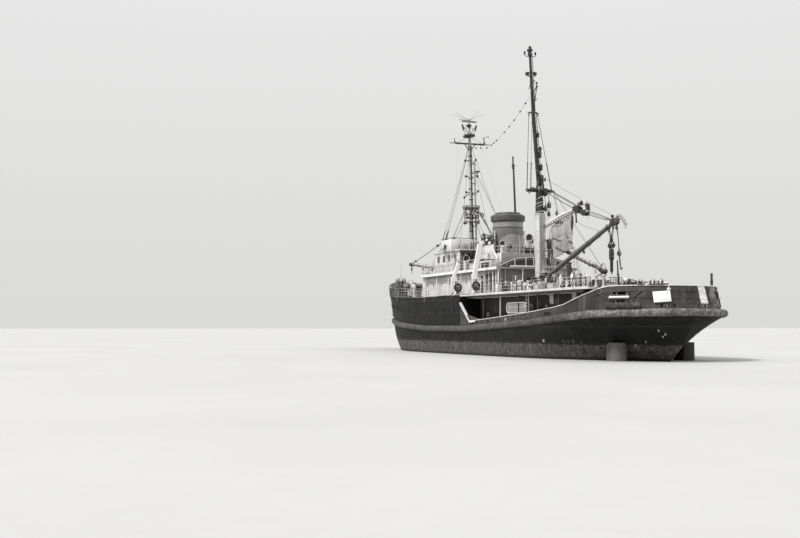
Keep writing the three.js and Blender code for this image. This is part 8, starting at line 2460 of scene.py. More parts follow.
        # horns
        k.rod(F(s * 0.5, 24.35), F(s * 0.82, 25.2), 0.035, "grey_gear", 6)
        k.rod(F(s * 0.72, 24.8), F(s * 0.85, 25.35), 0.085, "black_paint", 8)
        k.ball(F(s * 0.86, 25.4), 0.1, "black_paint", 8)
        k.rod(F(s * 0.1, 25.15), F(s * 0.75, 25.0), 0.03, "grey_gear", 6)
    k.lathe(F(0, 24.08), (0, 0, 1), [(0, 0), (0.5, 0.0), (0.62, 0.06), (0.62, 0.26), (0.4, 0.3), (0, 0.3)], "black_paint", 20)
    k.box(F(-0.33, 24.12), (0.75, 0.6, 0.3), "black_paint", None, 0.07)
    k.lathe(F(0, 24.4), (0, 0, 1), [(0, 0), (0.18, 0), (0.14, 0.1), (0.12, 0.3), (0, 0.3)], "grey_gear", 12)
    k.lathe(F(-0.05, 25.15), (0, 0, 1), [(0, 0), (0.14, 0.02), (0.3, 0.16), (0.3, 0.28), (0.14, 0.36), (0, 0.37)], "black_paint", 14)
    k.box(F(-0.15, 25.36), (0.5, 0.28, 0.12), "black_paint", 15, 0.03)
    # slim scanner bar and whips
    k.bar(F(-1.15, 25.98), F(0.75, 25.86), 0.12, 0.09, "grey_gear")
    k.lathe(F(-0.02, 25.7), (0, 0, 1), [(0, 0), (0.13, 0), (0.1, 0.1), (0.07, 0.24), (0, 0.24)], "grey_gear", 12)
    for p in ((-2.05, 26.6), (-1.5, 26.85), (1.55, 27.25), (2.0, 26.85)):
        base = F(-0.2 if p[0] < 0 else 0.1, 26.0)
        tip = F(p[0], p[1], 0.2)
        mid = (base + tip) / 2 + (0, 0, 0.06)
        k.tube([base, mid, tip], [0.022, 0.017, 0.011], "grey_gear", 5)
    k.lathe(F(-0.02, 25.95), (0, 0, 1), [(0, 0), (0.07, 0), (0.09, 0.08), (0.04, 0.14), (0, 0.14)], "dark_gear", 10)
    # small aerial frame over the yard's starboard end
    k.tube([F(1.7, 23.36), F(1.72, 23.9), F(1.8, 24.1), F(2.35, 24.3)], 0.025, "dark_gear", 5)
    k.ball(F(1.74, 24.0), 0.09, "dark_gear", 8)
    k.rod(F(2.35, 24.3), F(2.3, 24.05), 0.02, "dark_gear", 5)
    for x, z in ((0.75, 22.95), (1.35, 23.0), (2.1, 23.05)):
        k.rod(F(x, 23.3), F(x, z), 0.012, "wire_rope", 5)
        k.lathe(F(x, z - 0.2), (0, 0, 1), [(0, 0), (0.06, 0.02), (0.09, 0.1), (0.06, 0.18), (0, 0.2)], "dark_gear", 8)
    k.make("foremast_head", "ship")

    # stays
    k = Kit()
    for a, b, r, d in (((-3.85, 8.1, OPEN_TOP + 0.05), F(-0.2, 23.0, -0.05), 0.017, 0.22), ((3.85, 8.1, OPEN_TOP + 0.05), F(0.2, 23.0, -0.05), 0.017, 0.22),
                       ((-3.3, 4.6, OPEN_Z + 0.03), F(-0.25, 21.4, -0.1), 0.014, 0.12), ((3.0, 4.5, OPEN_Z + 0.03), F(0.6, 20.1, -0.1), 0.014, 0.1),
                       ((3.35, 4.9, OPEN_Z + 0.03), F(0.9, 19.7, -0.1), 0.012, 0.08),
                       ((0.0, KING_Y, 13.05), F(0, 22.9, 0.25), 0.016, 0.2), ((-2.9, 9.8, OPEN_TOP + 0.02), F(-0.15, 22.6, 0.1), 0.014, 0.1), ((2.9, 9.8, OPEN_TOP + 0.02), F(0.15, 22.6, 0.1), 0.014, 0.1)):
        stay(k, a, b, r, d, screw=a[2] > 11.5 or abs(a[0]) > 2)
    # from the lower platform down to starboard, and the second tripod bars
    for a, b, r in (((2.95, 8.0, OPEN_Z + 0.05), F(1.35, 15.2, -0.2), 0.03), ((3.3, 7.6, OPEN_Z + 0.05), F(1.05, 15.4, -0.2), 0.025), ((-2.9, 8.3, OPEN_Z + 0.05), F(-0.72, 14.9, 0), 0.03),
                    ((-0.9, 8.2, OPEN_Z + 0.05), F(-0.3, 14.5, -0.3), 0.035), ((1.3, 8.2, OPEN_Z + 0.05), F(0.5, 14.5, -0.3), 0.035), ((2.1, 8.2, OPEN_Z + 0.05), F(0.7, 14.6, -0.3), 0.03)):
        k.rod(a, b, r, "grey_gear", 6)
    # halyards from the yard to the bridge
    for x0, x1, y1 in ((-1.6, -3.2, 5.6), (-1.2, -2.9, 5.5), (1.25, 3.1, 5.5), (1.6, 3.3, 5.6)):
        k.tube(sag((x1, y1, OPEN_TOP), F(x0, 23.2), 0.15, 10), 0.008, "pale_rope", 4)
    k.make("foremast_stays", "ship")

    # aerial pole, with its collars and foot
    k = Kit()
    P = lambda z: np.array([3.34 - 0.4 * (z - 11.06) / 10.24, 4.35, z])
    for z, r, h in ((11.06, 0.26, 0.06), (11.12, 0.17, 0.5), (15.4, 0.13, 0.1), (19.95, 0.14, 0.32), (20.4, 0.13, 0.12), (21.2, 0.11, 0.12)):
        k.lathe(P(z), P(z + 1) - P(z), [(0.05, 0), (r, 0.0), (r, h * 0.85), (r * 0.8, h), (0.05, h)], "black_paint", 14, closed=True)
    k.ring(P(20.3) + (0, -0.02, 0), (0, 0, 1), 0.2, 0.03, "black_paint", 14)
    for s in (-1, 1):
        k.rod(P(20.5), P(20.3) + (s * 0.2, 0, 0), 0.022, "black_paint", 5)
    k.tube([P(z) + (0.13 + 0.01 * math.sin(z * 3), 0, 0) for z in np.linspace(11.3, 20.2, 12)], 0.018, "black_paint", 5)
    k.make("aerial_pole_collars", "ship")

    # kingpost forward
    k = Kit()
    for z, r in ((upper_z(KING_Y) + 0.04, 0.42), (8.2, 0.33), (10.4, 0.31), (12.9, 0.30)):
        k.lathe((0, KING_Y, z), (0, 0, 1), [(r - 0.1, 0), (r, 0.01), (r, 0.08), (r - 0.1, 0.09)], "grey_gear", 24, closed=True)
    k.lathe((0, KING_Y, 13.0), (0, 0, 1), [(0, 0), (0.27, 0), (0.2, 0.06), (0.1, 0.1), (0.1, 0.16), (0, 0.17)], "grey_gear", 16)
    ladder(k, (-0.42, KING_Y, 6.4), (-0.38, KING_Y, 12.6), 0.34, (0, 1, 0), 0.3, 0.02, "pale_gear")
    for z in (7.0, 9.3, 11.6):
        for dy in (-0.17, 0.17):
            k.rod((-0.42, KING_Y + dy, z), (-0.22, KING_Y + dy * 0.7, z), 0.016, "pale_gear", 5)
    for s in (-1, 1):
        stay(k, (s * 4.3, 14.6, upper_z(14.6) + 0.05), (s * 0.22, KING_Y, 12.6), 0.02)
        stay(k, (s * 3.1, 15.2, BRIDGE_Z + 0.03), (s * 0.22, KING_Y - 0.1, 12.8), 0.016)
    k.bar((0.3, KING_Y, 7.3), (0.3, KING_Y + 0.3, 7.3), 0.05, 0.05, "dark_gear")
    k.make("kingpost_fittings", "ship")


foremast()


# ------------------------------------------------------------------ derrick booms and their tackle
def boom_frame(heel, turn, up):
    """Luffing pin, direction along the boom, sideways and upwards of it."""
    f = np.array([-math.sin(turn), math.cos(turn), 0.0])
    d = f * math.cos(up) + np.array([0, 0, math.sin(up)])
    side = np.array([math.cos(turn), math.sin(turn), 0.0])
    pin = np.asarray(heel, float) + f * 0.3
    return pin, d, side, unit(np.cross(side, d))


def heel_gear(name, body, heel, turn):
    """Worn collars, nuts and grease cups of a boom's swivel."""
    k = Kit()
    h = np.asarray(heel, float)
    for s in (-1, 1):
        k.lathe(h + (0, 0, s * 0.33), (0, 0, s), [(0.1, -0.04), (0.18, -0.03), (0.19, 0.03), (0.15, 0.05), (0.1, 0.05)], "dark_gear", 16, closed=True)
    f = np.array([-math.sin(turn), math.cos(turn), 0.0])
    side = np.array([math.cos(turn), math.sin(turn), 0.0])
    for s in (-1, 1):
        k.lathe(h + f * 0.3 + side * s * 0.245, side * s, [(0, 0), (0.1, 0), (0.1, 0.03), (0.06, 0.05), (0.06, 0.07), (0, 0.08)], "dark_gear", 10)
        k.lathe(h + f * 0.1 + side * s * 0.15 + (0, 0, 0.17), (0, 0, 1), [(0, 0), (0.03, 0), (0.03, 0.04), (0.015, 0.06), (0, 0.07)], "grey_gear", 8)
    return k.make(name, body)


def boom_bands(k, P, d, side, up, table, mat="boom_dark"):
    """Hoops with two or three eyes. table: distance, radius, (eye angles)."""
    for t, r, eyes in table:
        k.lathe(P(t) - d * 0.05, d, [(r - 0.03, 0), (r + 0.015, 0.01), (r + 0.015, 0.09), (r - 0.03, 0.1)], mat, 18, closed=True)
        for a in eyes:
            e = unit(side * math.cos(math.radians(a)) + up * math.sin(math.radians(a)))
            k.ring(P(t) + e * (r + 0.07), d, 0.055, 0.02, "dark_gear", 12)
            k.lathe(P(t) + e * (r - 0.02), e, [(0, 0), (0.04, 0), (0.03, 0.05), (0, 0.05)], "dark_gear", 8)


def main_derrick_gear():
    heel = (0, -8.85, 7.55)
    pin, d, side, up = boom_frame(heel, math.pi, math.radians(18.6))
    P = lambda t, u=0.0, w=0.0: pin + d * t + side * u + up * w
    heel_gear("main_derrick_heel_gear", "main_derrick_swivel", heel, math.pi)
    k = Kit()
    boom_bands(k, P, d, side, up, [(0.55, 0.165, ()), (1.1, 0.175, (90,)), (3.4, 0.2, (90, -90)), (6.1, 0.24, (90,)), (8.6, 0.23, (-90, 0, 180)), (10.4, 0.215, (-90, 90)), (11.9, 0.2, (-90, 90)), (12.85, 0.19, (-90, 90, 0, 180))])
    # lead sheaves and cleats under the boom, and a pale strip along its top that stands for the light falling there
    # (painted highlight)
    for t in (4.2, 7.4):
        block(k, P(t, 0, -0.42), side, 0.13, 0.1, "black_paint", up)
    k.tube([P(t, 0.05, 0.17 + 0.075 * math.sin(math.pi * min(1, t / 13.5))) for t in np.linspace(0.8, 11.8, 20)], 0.02, "pale_gear", 6)
    for t in (1.6, 2.1):
        k.bar(P(t, 0, -0.15), P(t, 0, -0.28), 0.05, 0.05, "dark_gear")
        k.rod(P(t - 0.14, 0, -0.28), P(t + 0.14, 0, -0.28), 0.028, "dark_gear", 6)
    # cheeks, sheaves and pins of the head
    for s in (-1, 1):
        k.prism([(12.75, -0.17), (13.2, -0.27), (13.52, -0.2), (13.58, 0.1), (13.35, 0.3), (12.9, 0.2)], -0.02, 0.02, "black_paint", (P(0, s * 0.262), d, up, side))
        k.lathe(P(13.3, s * 0.29), side * s, [(0, 0), (0.09, 0), (0.09, 0.04), (0.05, 0.06), (0, 0.06)], "dark_gear", 10)
        k.lathe(P(13.0, s * 0.28, -0.12), side * s, [(0, 0), (0.05, 0), (0.05, 0.03), (0, 0.03)], "dark_gear", 8)
    for u in (-0.11, 0.11):
        k.lathe(P(13.3, u - 0.06), side, [(0.1, 0.0), (0.3, 0.0), (0.23, 0.06), (0.3, 0.12), (0.1, 0.12)], "grey_gear", 20, closed=True)
    # upright lug on the head, and the pale horn that curves out past it
    k.bar(P(13.0, 0, 0.2), P(13.02, 0, 0.62), 0.14, 0.1, "black_paint")
    k.lathe(P(13.02, -0.08, 0.62), side, [(0, 0), (0.13, 0), (0.13, 0.16), (0, 0.16)], "black_paint", 14)
    horn = curve([P(13.45, 0, 0.12), P(13.85, 0, 0.28), P(14.2, 0, 0.12), P(14.62, 0, -0.52), P(14.75, 0, -0.95)], 6)
    k.tube(horn, [0.11, 0.12] + [0.13] * (len(horn) - 4) + [0.12, 0.06], "grey_gear", 10)
    k.tube(curve([P(14.25, 0.02, -0.82), P(14.5, 0.02, -1.12), P(14.8, 0.02, -1.1), P(15.0, 0.02, -0.9)], 5), 0.055, "pale_gear", 8)
    k.ball(P(14.6, 0, -0.5), 0.17, "grey_gear", 10)
    k.rod(P(14.3, 0, -0.1), P(13.5, 0, -0.15), 0.05, "dark_gear", 6)
    # second purchase: block made fast under the head
    block(k, P(13.35, 0, -0.62), side, 0.15, 0.12, "black_paint", (0, 0, 1))
    k.rod(P(13.3, 0, -0.2), P(13.35, 0, -0.42), 0.05, "black_paint", 6)
    k.make("main_derrick_fittings", "main_derrick")

    # legs from the boom to the tackle's link
    top = np.array([0, -9.15 - 12.6 * math.cos(math.radians(18.6)), 7.55 + 12.6 * math.sin(math.radians(18.6))])
    link = top + (0, 0, -1.3)
    for nm, t in (("inner", 12.05), ("outer", 13.0)):
        k = Kit()
        a = P(t, 0, -0.12)
        for u in (-0.07, 0.07):
            k.tube([a + side * u, (a + link) / 2 + side * u * 0.8, link + side * u * 0.5], 0.035, "wire_rope", 6)
        k.ring(P(t, 0, -0.02), d, 0.21, 0.035, "wire_rope", 20)
        for f in (0.25, 0.8):
            q = a + (link - a) * f
            k.lathe(q - unit(link - a) * 0.05, link - a, [(0, 0), (0.1, 0.0), (0.1, 0.1), (0, 0.1)], "dark_gear", 8)
        o = k.make("tackle_leg_" + nm, None)
        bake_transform(o)
    # fittings of the tackle itself
    k = Kit()
    H = lambda z, y=0.0, x=0.0: top + np.array([x, y, z])
    k.ring(H(-1.2), (1, 0, 0), 0.11, 0.035, "black_paint", 14)
    for s in (-1, 1):
        k.lathe(H(-1.35, 0, s * 0.1), (s, 0, 0), [(0, 0), (0.07, 0), (0.07, 0.04), (0, 0.05)], "dark_gear", 8)
        # curled ears of the spreader
        k.tube(curve([H(-1.95, s * 0.12), H(-2.0, s * 0.36), H(-1.82, s * 0.43), H(-1.62, s * 0.4), H(-1.52, s * 0.24)], 4), 0.06, "dark_gear", 8)
        k.ball(H(-1.5, s * 0.2), 0.075, "dark_gear", 8)
    for x in (-0.125, 0.125):
        k.prism([(-0.18, -2.95), (-0.11, -3.08), (0.11, -3.08), (0.18, -2.95), (0.19, -2.3), (0.1, -2.08), (-0.1, -2.08), (-0.19, -2.3)], -0.016, 0.016, "black_paint", (H(0, 0, x), (0, 1, 0), (0, 0, 1), (1, 0, 0)))
    for z in (-2.35, -2.78):
        k.lathe(H(z, 0, -0.165), (1, 0, 0), [(0, 0), (0.05, 0), (0.05, 0.33), (0, 0.33)], "dark_gear", 8)
        k.lathe(H(z, 0, -0.06), (1, 0, 0), [(0.05, 0), (0.185, 0), (0.15, 0.06), (0.185, 0.12), (0.05, 0.12)], "grey_gear", 18, closed=True)
    for i in range(6):
        a = i * math.pi / 3
        k.tube([H(z, math.sin(a) * (0.125 - 0.004 * j), math.cos(a) * (0.125 - 0.004 * j)) for j, z in enumerate((-2.95, -3.3, -3.7, -4.02))], 0.03, "black_paint", 5)
    for z in (-3.2, -3.6, -3.95):
        k.ring(H(z), (0, 0, 1), 0.138, 0.025, "dark_gear", 16)
    k.lathe(H(-4.12), (0, 0, 1), [(0, -0.06), (0.08, -0.04), (0.125, 0.02), (0.12, 0.1), (0, 0.1)], "dark_gear", 12)
    k.tube(curve([H(-4.14, -0.02), H(-4.24, -0.12), H(-4.3, -0.02), H(-4.22, 0.09)], 4), 0.03, "dark_gear", 6)
    k.make("tackle_fittings", "main_tackle")

    # topping lift: wires, the big many-sheaved block half way, and wires on to the boom's head
    k = Kit()
    A = np.array([0.0, -8.92, 16.0])
    B = P(12.85, 0, 0.26)
    w = unit(B - A)
    n = unit(np.cross((1, 0, 0), w))
    # the block's weight makes the lift hang in a shallow bight, deepest where the block is
    dip = lambda y: -0.36 * ((A[1] - y) / 6.95 if y > -15.87 else (y - B[1]) / (-15.87 - B[1]))
    Q = lambda y, x=0.0, h=0.0: A + w * ((A[1] - y) / -w[1]) + np.array([x, 0, max(-0.36, min(0.0, dip(y)))]) + n * h
    hi = 1 if n[2] > 0 else -1
    for x, h in ((0.12, 0.16), (-0.08, -0.18), (0.2, 0.02)):
        k.tube([Q(-8.95, x * 0.5, h * hi * 0.8), Q(-12.0, x, h * hi), Q(-14.9, x, h * hi * 0.9)], 0.036 if abs(h) > 0.1 else 0.02, "wire_rope", 6)
    for x, h, y1 in ((0.1, 0.12, -20.9), (-0.1, -0.12, -20.5), (0.02, 0.0, -20.2)):
        k.tube([Q(-17.0, x, h * hi), Q(-18.8, x, h * hi), Q(y1, x * 0.8, h * hi * 0.6)], 0.032 if abs(h) > 0.05 else 0.018, "wire_rope", 6)
    k.rod(Q(-20.2, 0, 0), B, 0.05, "dark_gear", 8)
    shackle(k, B + (0, 0, 0.02), -w, 0.11, 0.03, "dark_gear")
    # upper and lower blocks joined by links: the heavy dark mass
    for y0, y1, r in ((-14.75, -15.75, 0.34), (-16.1, -17.0, 0.27)):
        m = Q((y0 + y1) / 2, 0, -0.10 * hi)
        for x in (-0.22, -0.075, 0.075, 0.22):
            out = [(math.cos(a) * (y0 - y1) * 0.58, math.sin(a) * r) for a in np.radians(np.linspace(0, 360, 16, endpoint=False))]
            k.prism(out, -0.022, 0.022, "black_paint", (m + np.array([x, 0, 0]), w, n, np.cross(w, n)))
        for x in (-0.15, 0.0, 0.15):
            k.lathe(m + np.array([x - 0.045, 0, 0]), (1, 0, 0), [(0.05, 0), (r * 0.86, 0), (r * 0.7, 0.045), (r * 0.86, 0.09), (0.05, 0.09)], "dark_gear", 16, closed=True)
        k.rod(m - np.array([0.3, 0, 0]), m + np.array([0.3, 0, 0]), 0.06, "black_paint", 8)
        k.box(m + w * (y0 - y1) * 0.35, (0.52, 0.1, 0.3), "black_paint", np.array([(1, 0, 0), w, n]).T, 0.03)
    for x in (-0.16, 0.16):
        k.bar(Q(-15.5, x, -0.1 * hi), Q(-16.3, x, -0.12 * hi), 0.12, 0.05, "black_paint")
    # pale crescent guards that stand over them, with dark ends
    for x in (-0.1, 0.12):
        g = curve([Q(-15.1, x, 0.2 * hi), Q(-15.45, x, 0.62 * hi), Q(-16.0, x, 0.98 * hi), Q(-16.6, x, 0.78 * hi), Q(-16.95, x, 0.38 * hi), Q(-17.05, x, 0.05 * hi)], 5)
        k.tube(g, 0.09, "pale_gear", 8)
        k.tube(g[len(g) // 2 + 3:-3], 0.12, "black_paint", 8)
    k.bar(Q(-15.5, 0.0, 0.72 * hi), Q(-15.85, 0.0, 0.5 * hi), 0.3, 0.16, "black_paint")
    k.tube([Q(-14.95, 0, -0.3 * hi), Q(-15.0, 0, -0.3 * hi) + (0, 0, -0.5), Q(-15.05, 0, -0.3 * hi) + (0, 0, -0.95)], 0.075, "black_paint", 8)
    k.ball(Q(-15.05, 0, -0.3 * hi) + (0, 0, -1.0), 0.11, "dark_gear", 10)
    k.tube(sag(Q(-15.05, 0.02, -0.3 * hi) + (0, 0, -0.98), P(10.6, 0, 0.3), 0.12, 10), 0.014, "wire_rope", 5)
    k.tube([Q(-17.0, 0.1, 0), Q(-17.02, 0.1, 0) + (0, 0, -0.5), Q(-17.04, 0.1, 0) + (0, 0, -0.85)], 0.02, "pale_rope", 5)
    o = k.make("main_topping_lift", None)
    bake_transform(o)

    # thin upper wire from an outrigger on the mast
    k = Kit()
    A2, B2 = np.array([0.0, -8.85, 17.15]), P(13.02, 0, 0.72)
    k.tube(sag(A2, B2, 0.10, 14), 0.014, "wire_rope", 5)
    o = k.make("main_upper_guy", None)
    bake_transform(o)
    k = Kit()
    k.bar(on_mast(0, 17.1, -0.1), (0, -8.85, 17.12), 0.08, 0.06, "black_paint")
    k.bar(on_mast(0, 16.4, -0.15), (0, -8.75, 17.06), 0.06, 0.04, "black_paint")
    block(k, (0, -8.85, 16.95), (1, 0, 0), 0.1, 0.08, "black_paint", becket=False)
    k.make("mast_outrigger", "ship")

    # second fall and its gear hang upright from the boom's head
    k = Kit()
    f0 = P(13.35, 0, -0.85)
    for x, y, r, z1 in ((0.0, -22.35, 0.04, 9.25), (0.05, -22.2, 0.02, 9.3)):
        k.tube([f0 + (x, 0, 0), np.array([x, (f0[1] + y) / 2 - 0.02, (f0[2] + z1) / 2]), np.array([x, y, z1])], r, "wire_rope", 6)
    block(k, (0, -22.35, 9.0), (1, 0, 0), 0.2, 0.18, "black_paint")
    k.rod((0, -22.38, 8.75), (0, -22.5, 8.0), 0.06, "dark_gear", 8)
    k.tube(curve([(0, -22.5, 8.0), (0, -22.55, 7.75), (0, -22.7, 7.62), (0, -22.8, 7.78)], 4), 0.05, "dark_gear", 8)
    o = k.make("second_purchase", None)
    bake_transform(o)


main_derrick_gear()


def other_derricks():
    heel = (1.5, -7.85, 10.64)
    dn = math.atan2(10.64 - 7.67, 9.35)
    pin, d, side, up = boom_frame(heel, math.pi, -dn)
    P = lambda t, u=0.0, w=0.0: pin + d * t + side * u + up * w
    heel_gear("side_derrick_heel_gear", "side_derrick_swivel", heel, math.pi)
    k = Kit()
    boom_bands(k, P, d, side, up, [(0.6, 0.15, ()), (2.6, 0.18, (90,)), (4.7, 0.21, (90,)), (6.9, 0.19, (90, -90)), (8.8, 0.17, (90, 0, 180))], "boom_pale")
    for s in (-1, 1):
        k.prism([(8.95, -0.14), (9.5, -0.24), (9.78, -0.15), (9.8, 0.12), (9.5, 0.24), (9.0, 0.16)], -0.016, 0.016, "dark_gear", (P(0, s * 0.215), d, up, side))
        k.lathe(P(9.45, s * 0.225), side * s, [(0, 0), (0.07, 0), (0.07, 0.04), (0, 0.05)], "dark_gear", 8)
    k.lathe(P(9.45, -0.07), side, [(0.05, 0), (0.27, 0), (0.2, 0.07), (0.27, 0.14), (0.05, 0.14)], "grey_gear", 18, closed=True)
    # open half ring over the head, a pale strip along the upper side as a painted highlight, and chafing rings round
    # the boom
    k.tube(curve([P(8.98, 0, 0.2), P(9.02, 0, 0.46), P(9.3, 0, 0.64), P(9.58, 0, 0.5), P(9.66, 0, 0.24)], 6), 0.07, "pale_gear", 8)
    k.tube(curve([P(9.0, 0, -0.12), P(9.25, 0, -0.28), P(9.7, 0, -0.2), P(9.8, 0, 0.05)], 5), 0.1, "black_paint", 8)
    k.tube([P(t, 0.02, 0.13 + 0.07 * math.sin(math.pi * t / 9.6)) for t in np.linspace(1.0, 8.5, 14)], 0.045, "pale_gear", 6)
    for t in np.arange(2.0, 8.4, 0.7):
        k.ring(P(t), d, 0.175 + 0.03 * math.sin(math.pi * t / 9.6), 0.02, "dark_gear", 14)
    for t, h in ((7.5, 0.3), (7.9, 0.38), (8.2, 0.33)):
        k.rod(P(t, 0, 0.1), P(t - 0.06, 0, h), 0.05, "pale_gear", 6)
    k.make("side_derrick_fittings", "side_derrick")
    k = Kit()
    A, B = np.array([1.5, -7.92, 15.9]), P(9.1, 0, 0.2)
    k.tube(sag(A, B, 0.1, 12), 0.014, "wire_rope", 5)
    k.tube([A + (0.04, 0, 0), A + (B - A) * 0.5 + (0.06, 0, 0.02), B + (0.05, 0, 0)], 0.01, "wire_rope", 5)
    o = k.make("side_topping_lift", None)
    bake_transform(o)

    # gear of the side derrick's hounds: hanging blocks, a long dark purchase, dropped hooks
    k = Kit()
    top = np.array([1.5, -7.85, 16.0])
    k.tube([(1.3, -7.85, 16.05), (1.5, -7.85, 16.05), (1.55, -7.9, 15.9)], 0.05, "black_paint", 6)
    for s, (y, z) in ((1, (-8.5, 13.8)), (1, (-9.3, 12.75))):
        block(k, (1.42, y, z), (1, 0, 0), 0.15, 0.12, "dark_gear")
        k.tube([(1.44, -7.9, 15.8), (1.42, (y - 7.9) / 2, (z + 16.2) / 2), (1.42, y, z + 0.26)], 0.016, "wire_rope", 5)
    k.make("side_hounds_gear", "ship")

    heel = (0, KING_Y + 1.0, 9.6)
    pin, d, side, up = boom_frame(heel, 0.0, math.radians(6))
    P2 = lambda t, u=0.0, w=0.0: pin + d * t + side * u + up * w
    heel_gear("fore_derrick_heel_gear", "fore_derrick_swivel", heel, 0.0)
    k = Kit()
    boom_bands(k, P2, d, side, up, [(0.6, 0.15, ()), (2.9, 0.18, (90,)), (5.3, 0.21, (90, -90)), (8.0, 0.18, (90,)), (9.9, 0.16, (90, -90, 0, 180))], "boom_pale")
    for s in (-1, 1):
        k.prism([(10.0, -0.14), (10.5, -0.24), (10.75, -0.15), (10.78, 0.12), (10.5, 0.24), (10.05, 0.16)], -0.016, 0.016, "dark_gear", (P2(0, s * 0.215), d, up, side))
        k.lathe(P2(10.4, s * 0.225), side * s, [(0, 0), (0.07, 0), (0.07, 0.04), (0, 0.05)], "dark_gear", 8)
    k.lathe(P2(10.4, -0.07), side, [(0.05, 0), (0.27, 0), (0.2, 0.07), (0.27, 0.14), (0.05, 0.14)], "grey_gear", 18, closed=True)
    for t in (3.2, 6.4):
        block(k, P2(t, 0, -0.36), side, 0.11, 0.09, "black_paint", up)
    block(k, P2(10.35, 0, -0.6), side, 0.15, 0.12, "black_paint", (0, 0, 1))
    k.rod(P2(10.35, 0, -0.1), P2(10.35, 0, -0.4), 0.04, "black_paint", 6)
    k.tube(curve([P2(10.35, 0, -0.8), P2(10.4, 0, -0.95), P2(10.3, 0, -1.08), P2(10.22, 0, -0.98)], 4), 0.035, "dark_gear", 6)
    k.make("fore_derrick_fittings", "fore_derrick")
    k = Kit()
    A, B = np.array([0.0, KING_Y + 1.2, 12.8]), P2(9.95, 0, 0.2)
    for x in (-0.06, 0.06):
        k.tube(sag(A + (x, 0, 0), B + (x, 0, 0), 0.05, 12), 0.02, "wire_rope", 5)
    m = A + (B - A) * 0.16
    block(k, m, (1, 0, 0), 0.17, 0.2, "black_paint", unit(A - B), becket=False)
    m = A + (B - A) * 0.9
    block(k, m, (1, 0, 0), 0.14, 0.18, "black_paint", unit(B - A), becket=False)
    o = k.make("fore_topping_lift", None)
    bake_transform(o)


other_derricks()


# ------------------------------------------------------------------ gear on the upper deck and in the side passage
def turns(k, a, b, r, wire, mat="wire_rope", n=14, skip=0.0):
    """Wire wound on a barrel from a to b."""
    a, b = np.asarray(a, float), np.asarray(b, float)
    u, v, w = basis(b - a)
    l = float(np.linalg.norm(b - a)) - 2 * wire
    count = max(3, int(l * (1 - skip) / (wire * 2.15)))
    pts = []
    for i in range(count * n + 1):
        t = i / n
        q = 2 * math.pi * t
        pts.append(a + w * (wire + t * wire * 2.15) + (u * math.cos(q) + v * math.sin(q)) * (r + wire * 0.92))
    k.tube(pts, wire, mat, 5)


def winch_details(name, x, y, z):
    k = Kit()
    c = z + 0.62
    turns(k, (x - 0.48, y, c), (x + 0.48, y, c), 0.30, 0.022, n=16, skip=0.25)
    for s in (-1, 1):
        # warping ends, gear cases, bearing caps
        k.lathe((x + s * 0.87, y, c), (s, 0, 0), [(0.19, 0), (0.30, 0.0), (0.31, 0.03), (0.24, 0.09), (0.22, 0.18), (0.26, 0.26), (0.32, 0.29), (0.32, 0.32), (0.1, 0.34), (0, 0.34)], "dark_gear", 20)
        k.lathe((x + s * 0.70, y, c), (s, 0, 0), [(0.18, 0.0), (0.34, 0.0), (0.34, 0.02), (0.24, 0.035), (0.18, 0.035)], "grey_gear", 20, closed=True)
        for i in range(6):
            a = i * math.pi / 3
            k.lathe((x + s * 0.855, y + math.cos(a) * 0.29, c + math.sin(a) * 0.29), (s, 0, 0), [(0, 0), (0.022, 0), (0.02, 0.02), (0, 0.025)], "grey_gear", 6)
        k.ring((x + s * 0.55, y, c), (1, 0, 0), 0.47, 0.022, "grey_gear", 26)
        for i in range(6):
            a = i * math.pi / 3 + 0.3
            k.bar((x + s * 0.615, y + math.cos(a) * 0.3, c + math.sin(a) * 0.3), (x + s * 0.615, y + math.cos(a) * 0.45, c + math.sin(a) * 0.45), 0.05, 0.02, "grey_gear", up=(1, 0, 0))
        for t in (-0.42, 0.42):
            k.bar((x + s * 0.785, y + t, z + 0.12), (x + s * 0.785, y + t * 0.4, z + 0.52), 0.06, 0.2, "dark_gear", up=(1, 0, 0))
            k.lathe((x + s * 0.92, y + t * 1.35, z + 0.14), (0, 0, 1), [(0, 0), (0.04, 0), (0.035, 0.04), (0, 0.05)], "grey_gear", 6)
    # brake band, its screw and wheel, the motor and its case
    k.ring((x - 0.55, y, c), (1, 0, 0), 0.485, 0.03, "dark_gear", 26, 6, (20, 300))
    k.rod((x - 0.55, y - 0.36, c + 0.34), (x - 0.55, y - 0.7, c + 0.42), 0.022, "grey_gear", 6)
    wheel(k, (x - 0.55, y - 0.72, c + 0.43), (0, -1, 0.2), 0.17, "grey_gear", 5)
    k.lathe((x - 0.35, y + 0.52, z + 0.36), (1, 0, 0), [(0, 0), (0.16, 0.01), (0.19, 0.04), (0.19, 0.5), (0.21, 0.52), (0.21, 0.56), (0.17, 0.6), (0.1, 0.66), (0, 0.66)], "grey_gear", 18)
    for i in range(7):
        k.ring((x - 0.28 + i * 0.065, y + 0.52, z + 0.36), (1, 0, 0), 0.195, 0.012, "grey_gear", 18, 4)
    k.box((x - 0.05, y + 0.52, z + 0.6), (0.2, 0.16, 0.12), "dark_gear", None, 0.03)
    k.box((x + 0.0, y + 0.52, z + 0.155), (0.6, 0.3, 0.05), "dark_gear", None, 0.01)
    k.tube(curve([(x - 0.05, y + 0.6, z + 0.62), (x - 0.05, y + 0.78, z + 0.5), (x - 0.1, y + 0.86, z + 0.1), (x - 0.1, y + 0.86, z + 0.02)], 5), 0.025, "rubber_worn", 6)
    for s in (-1, 1):
        for t in (-0.6, 0.6):
            k.lathe((x + s * 0.9, y + t, z + 0.14), (0, 0, 1), [(0, 0), (0.035, 0), (0.03, 0.03), (0, 0.035)], "grey_gear", 6)
    k.make(name, "ship")


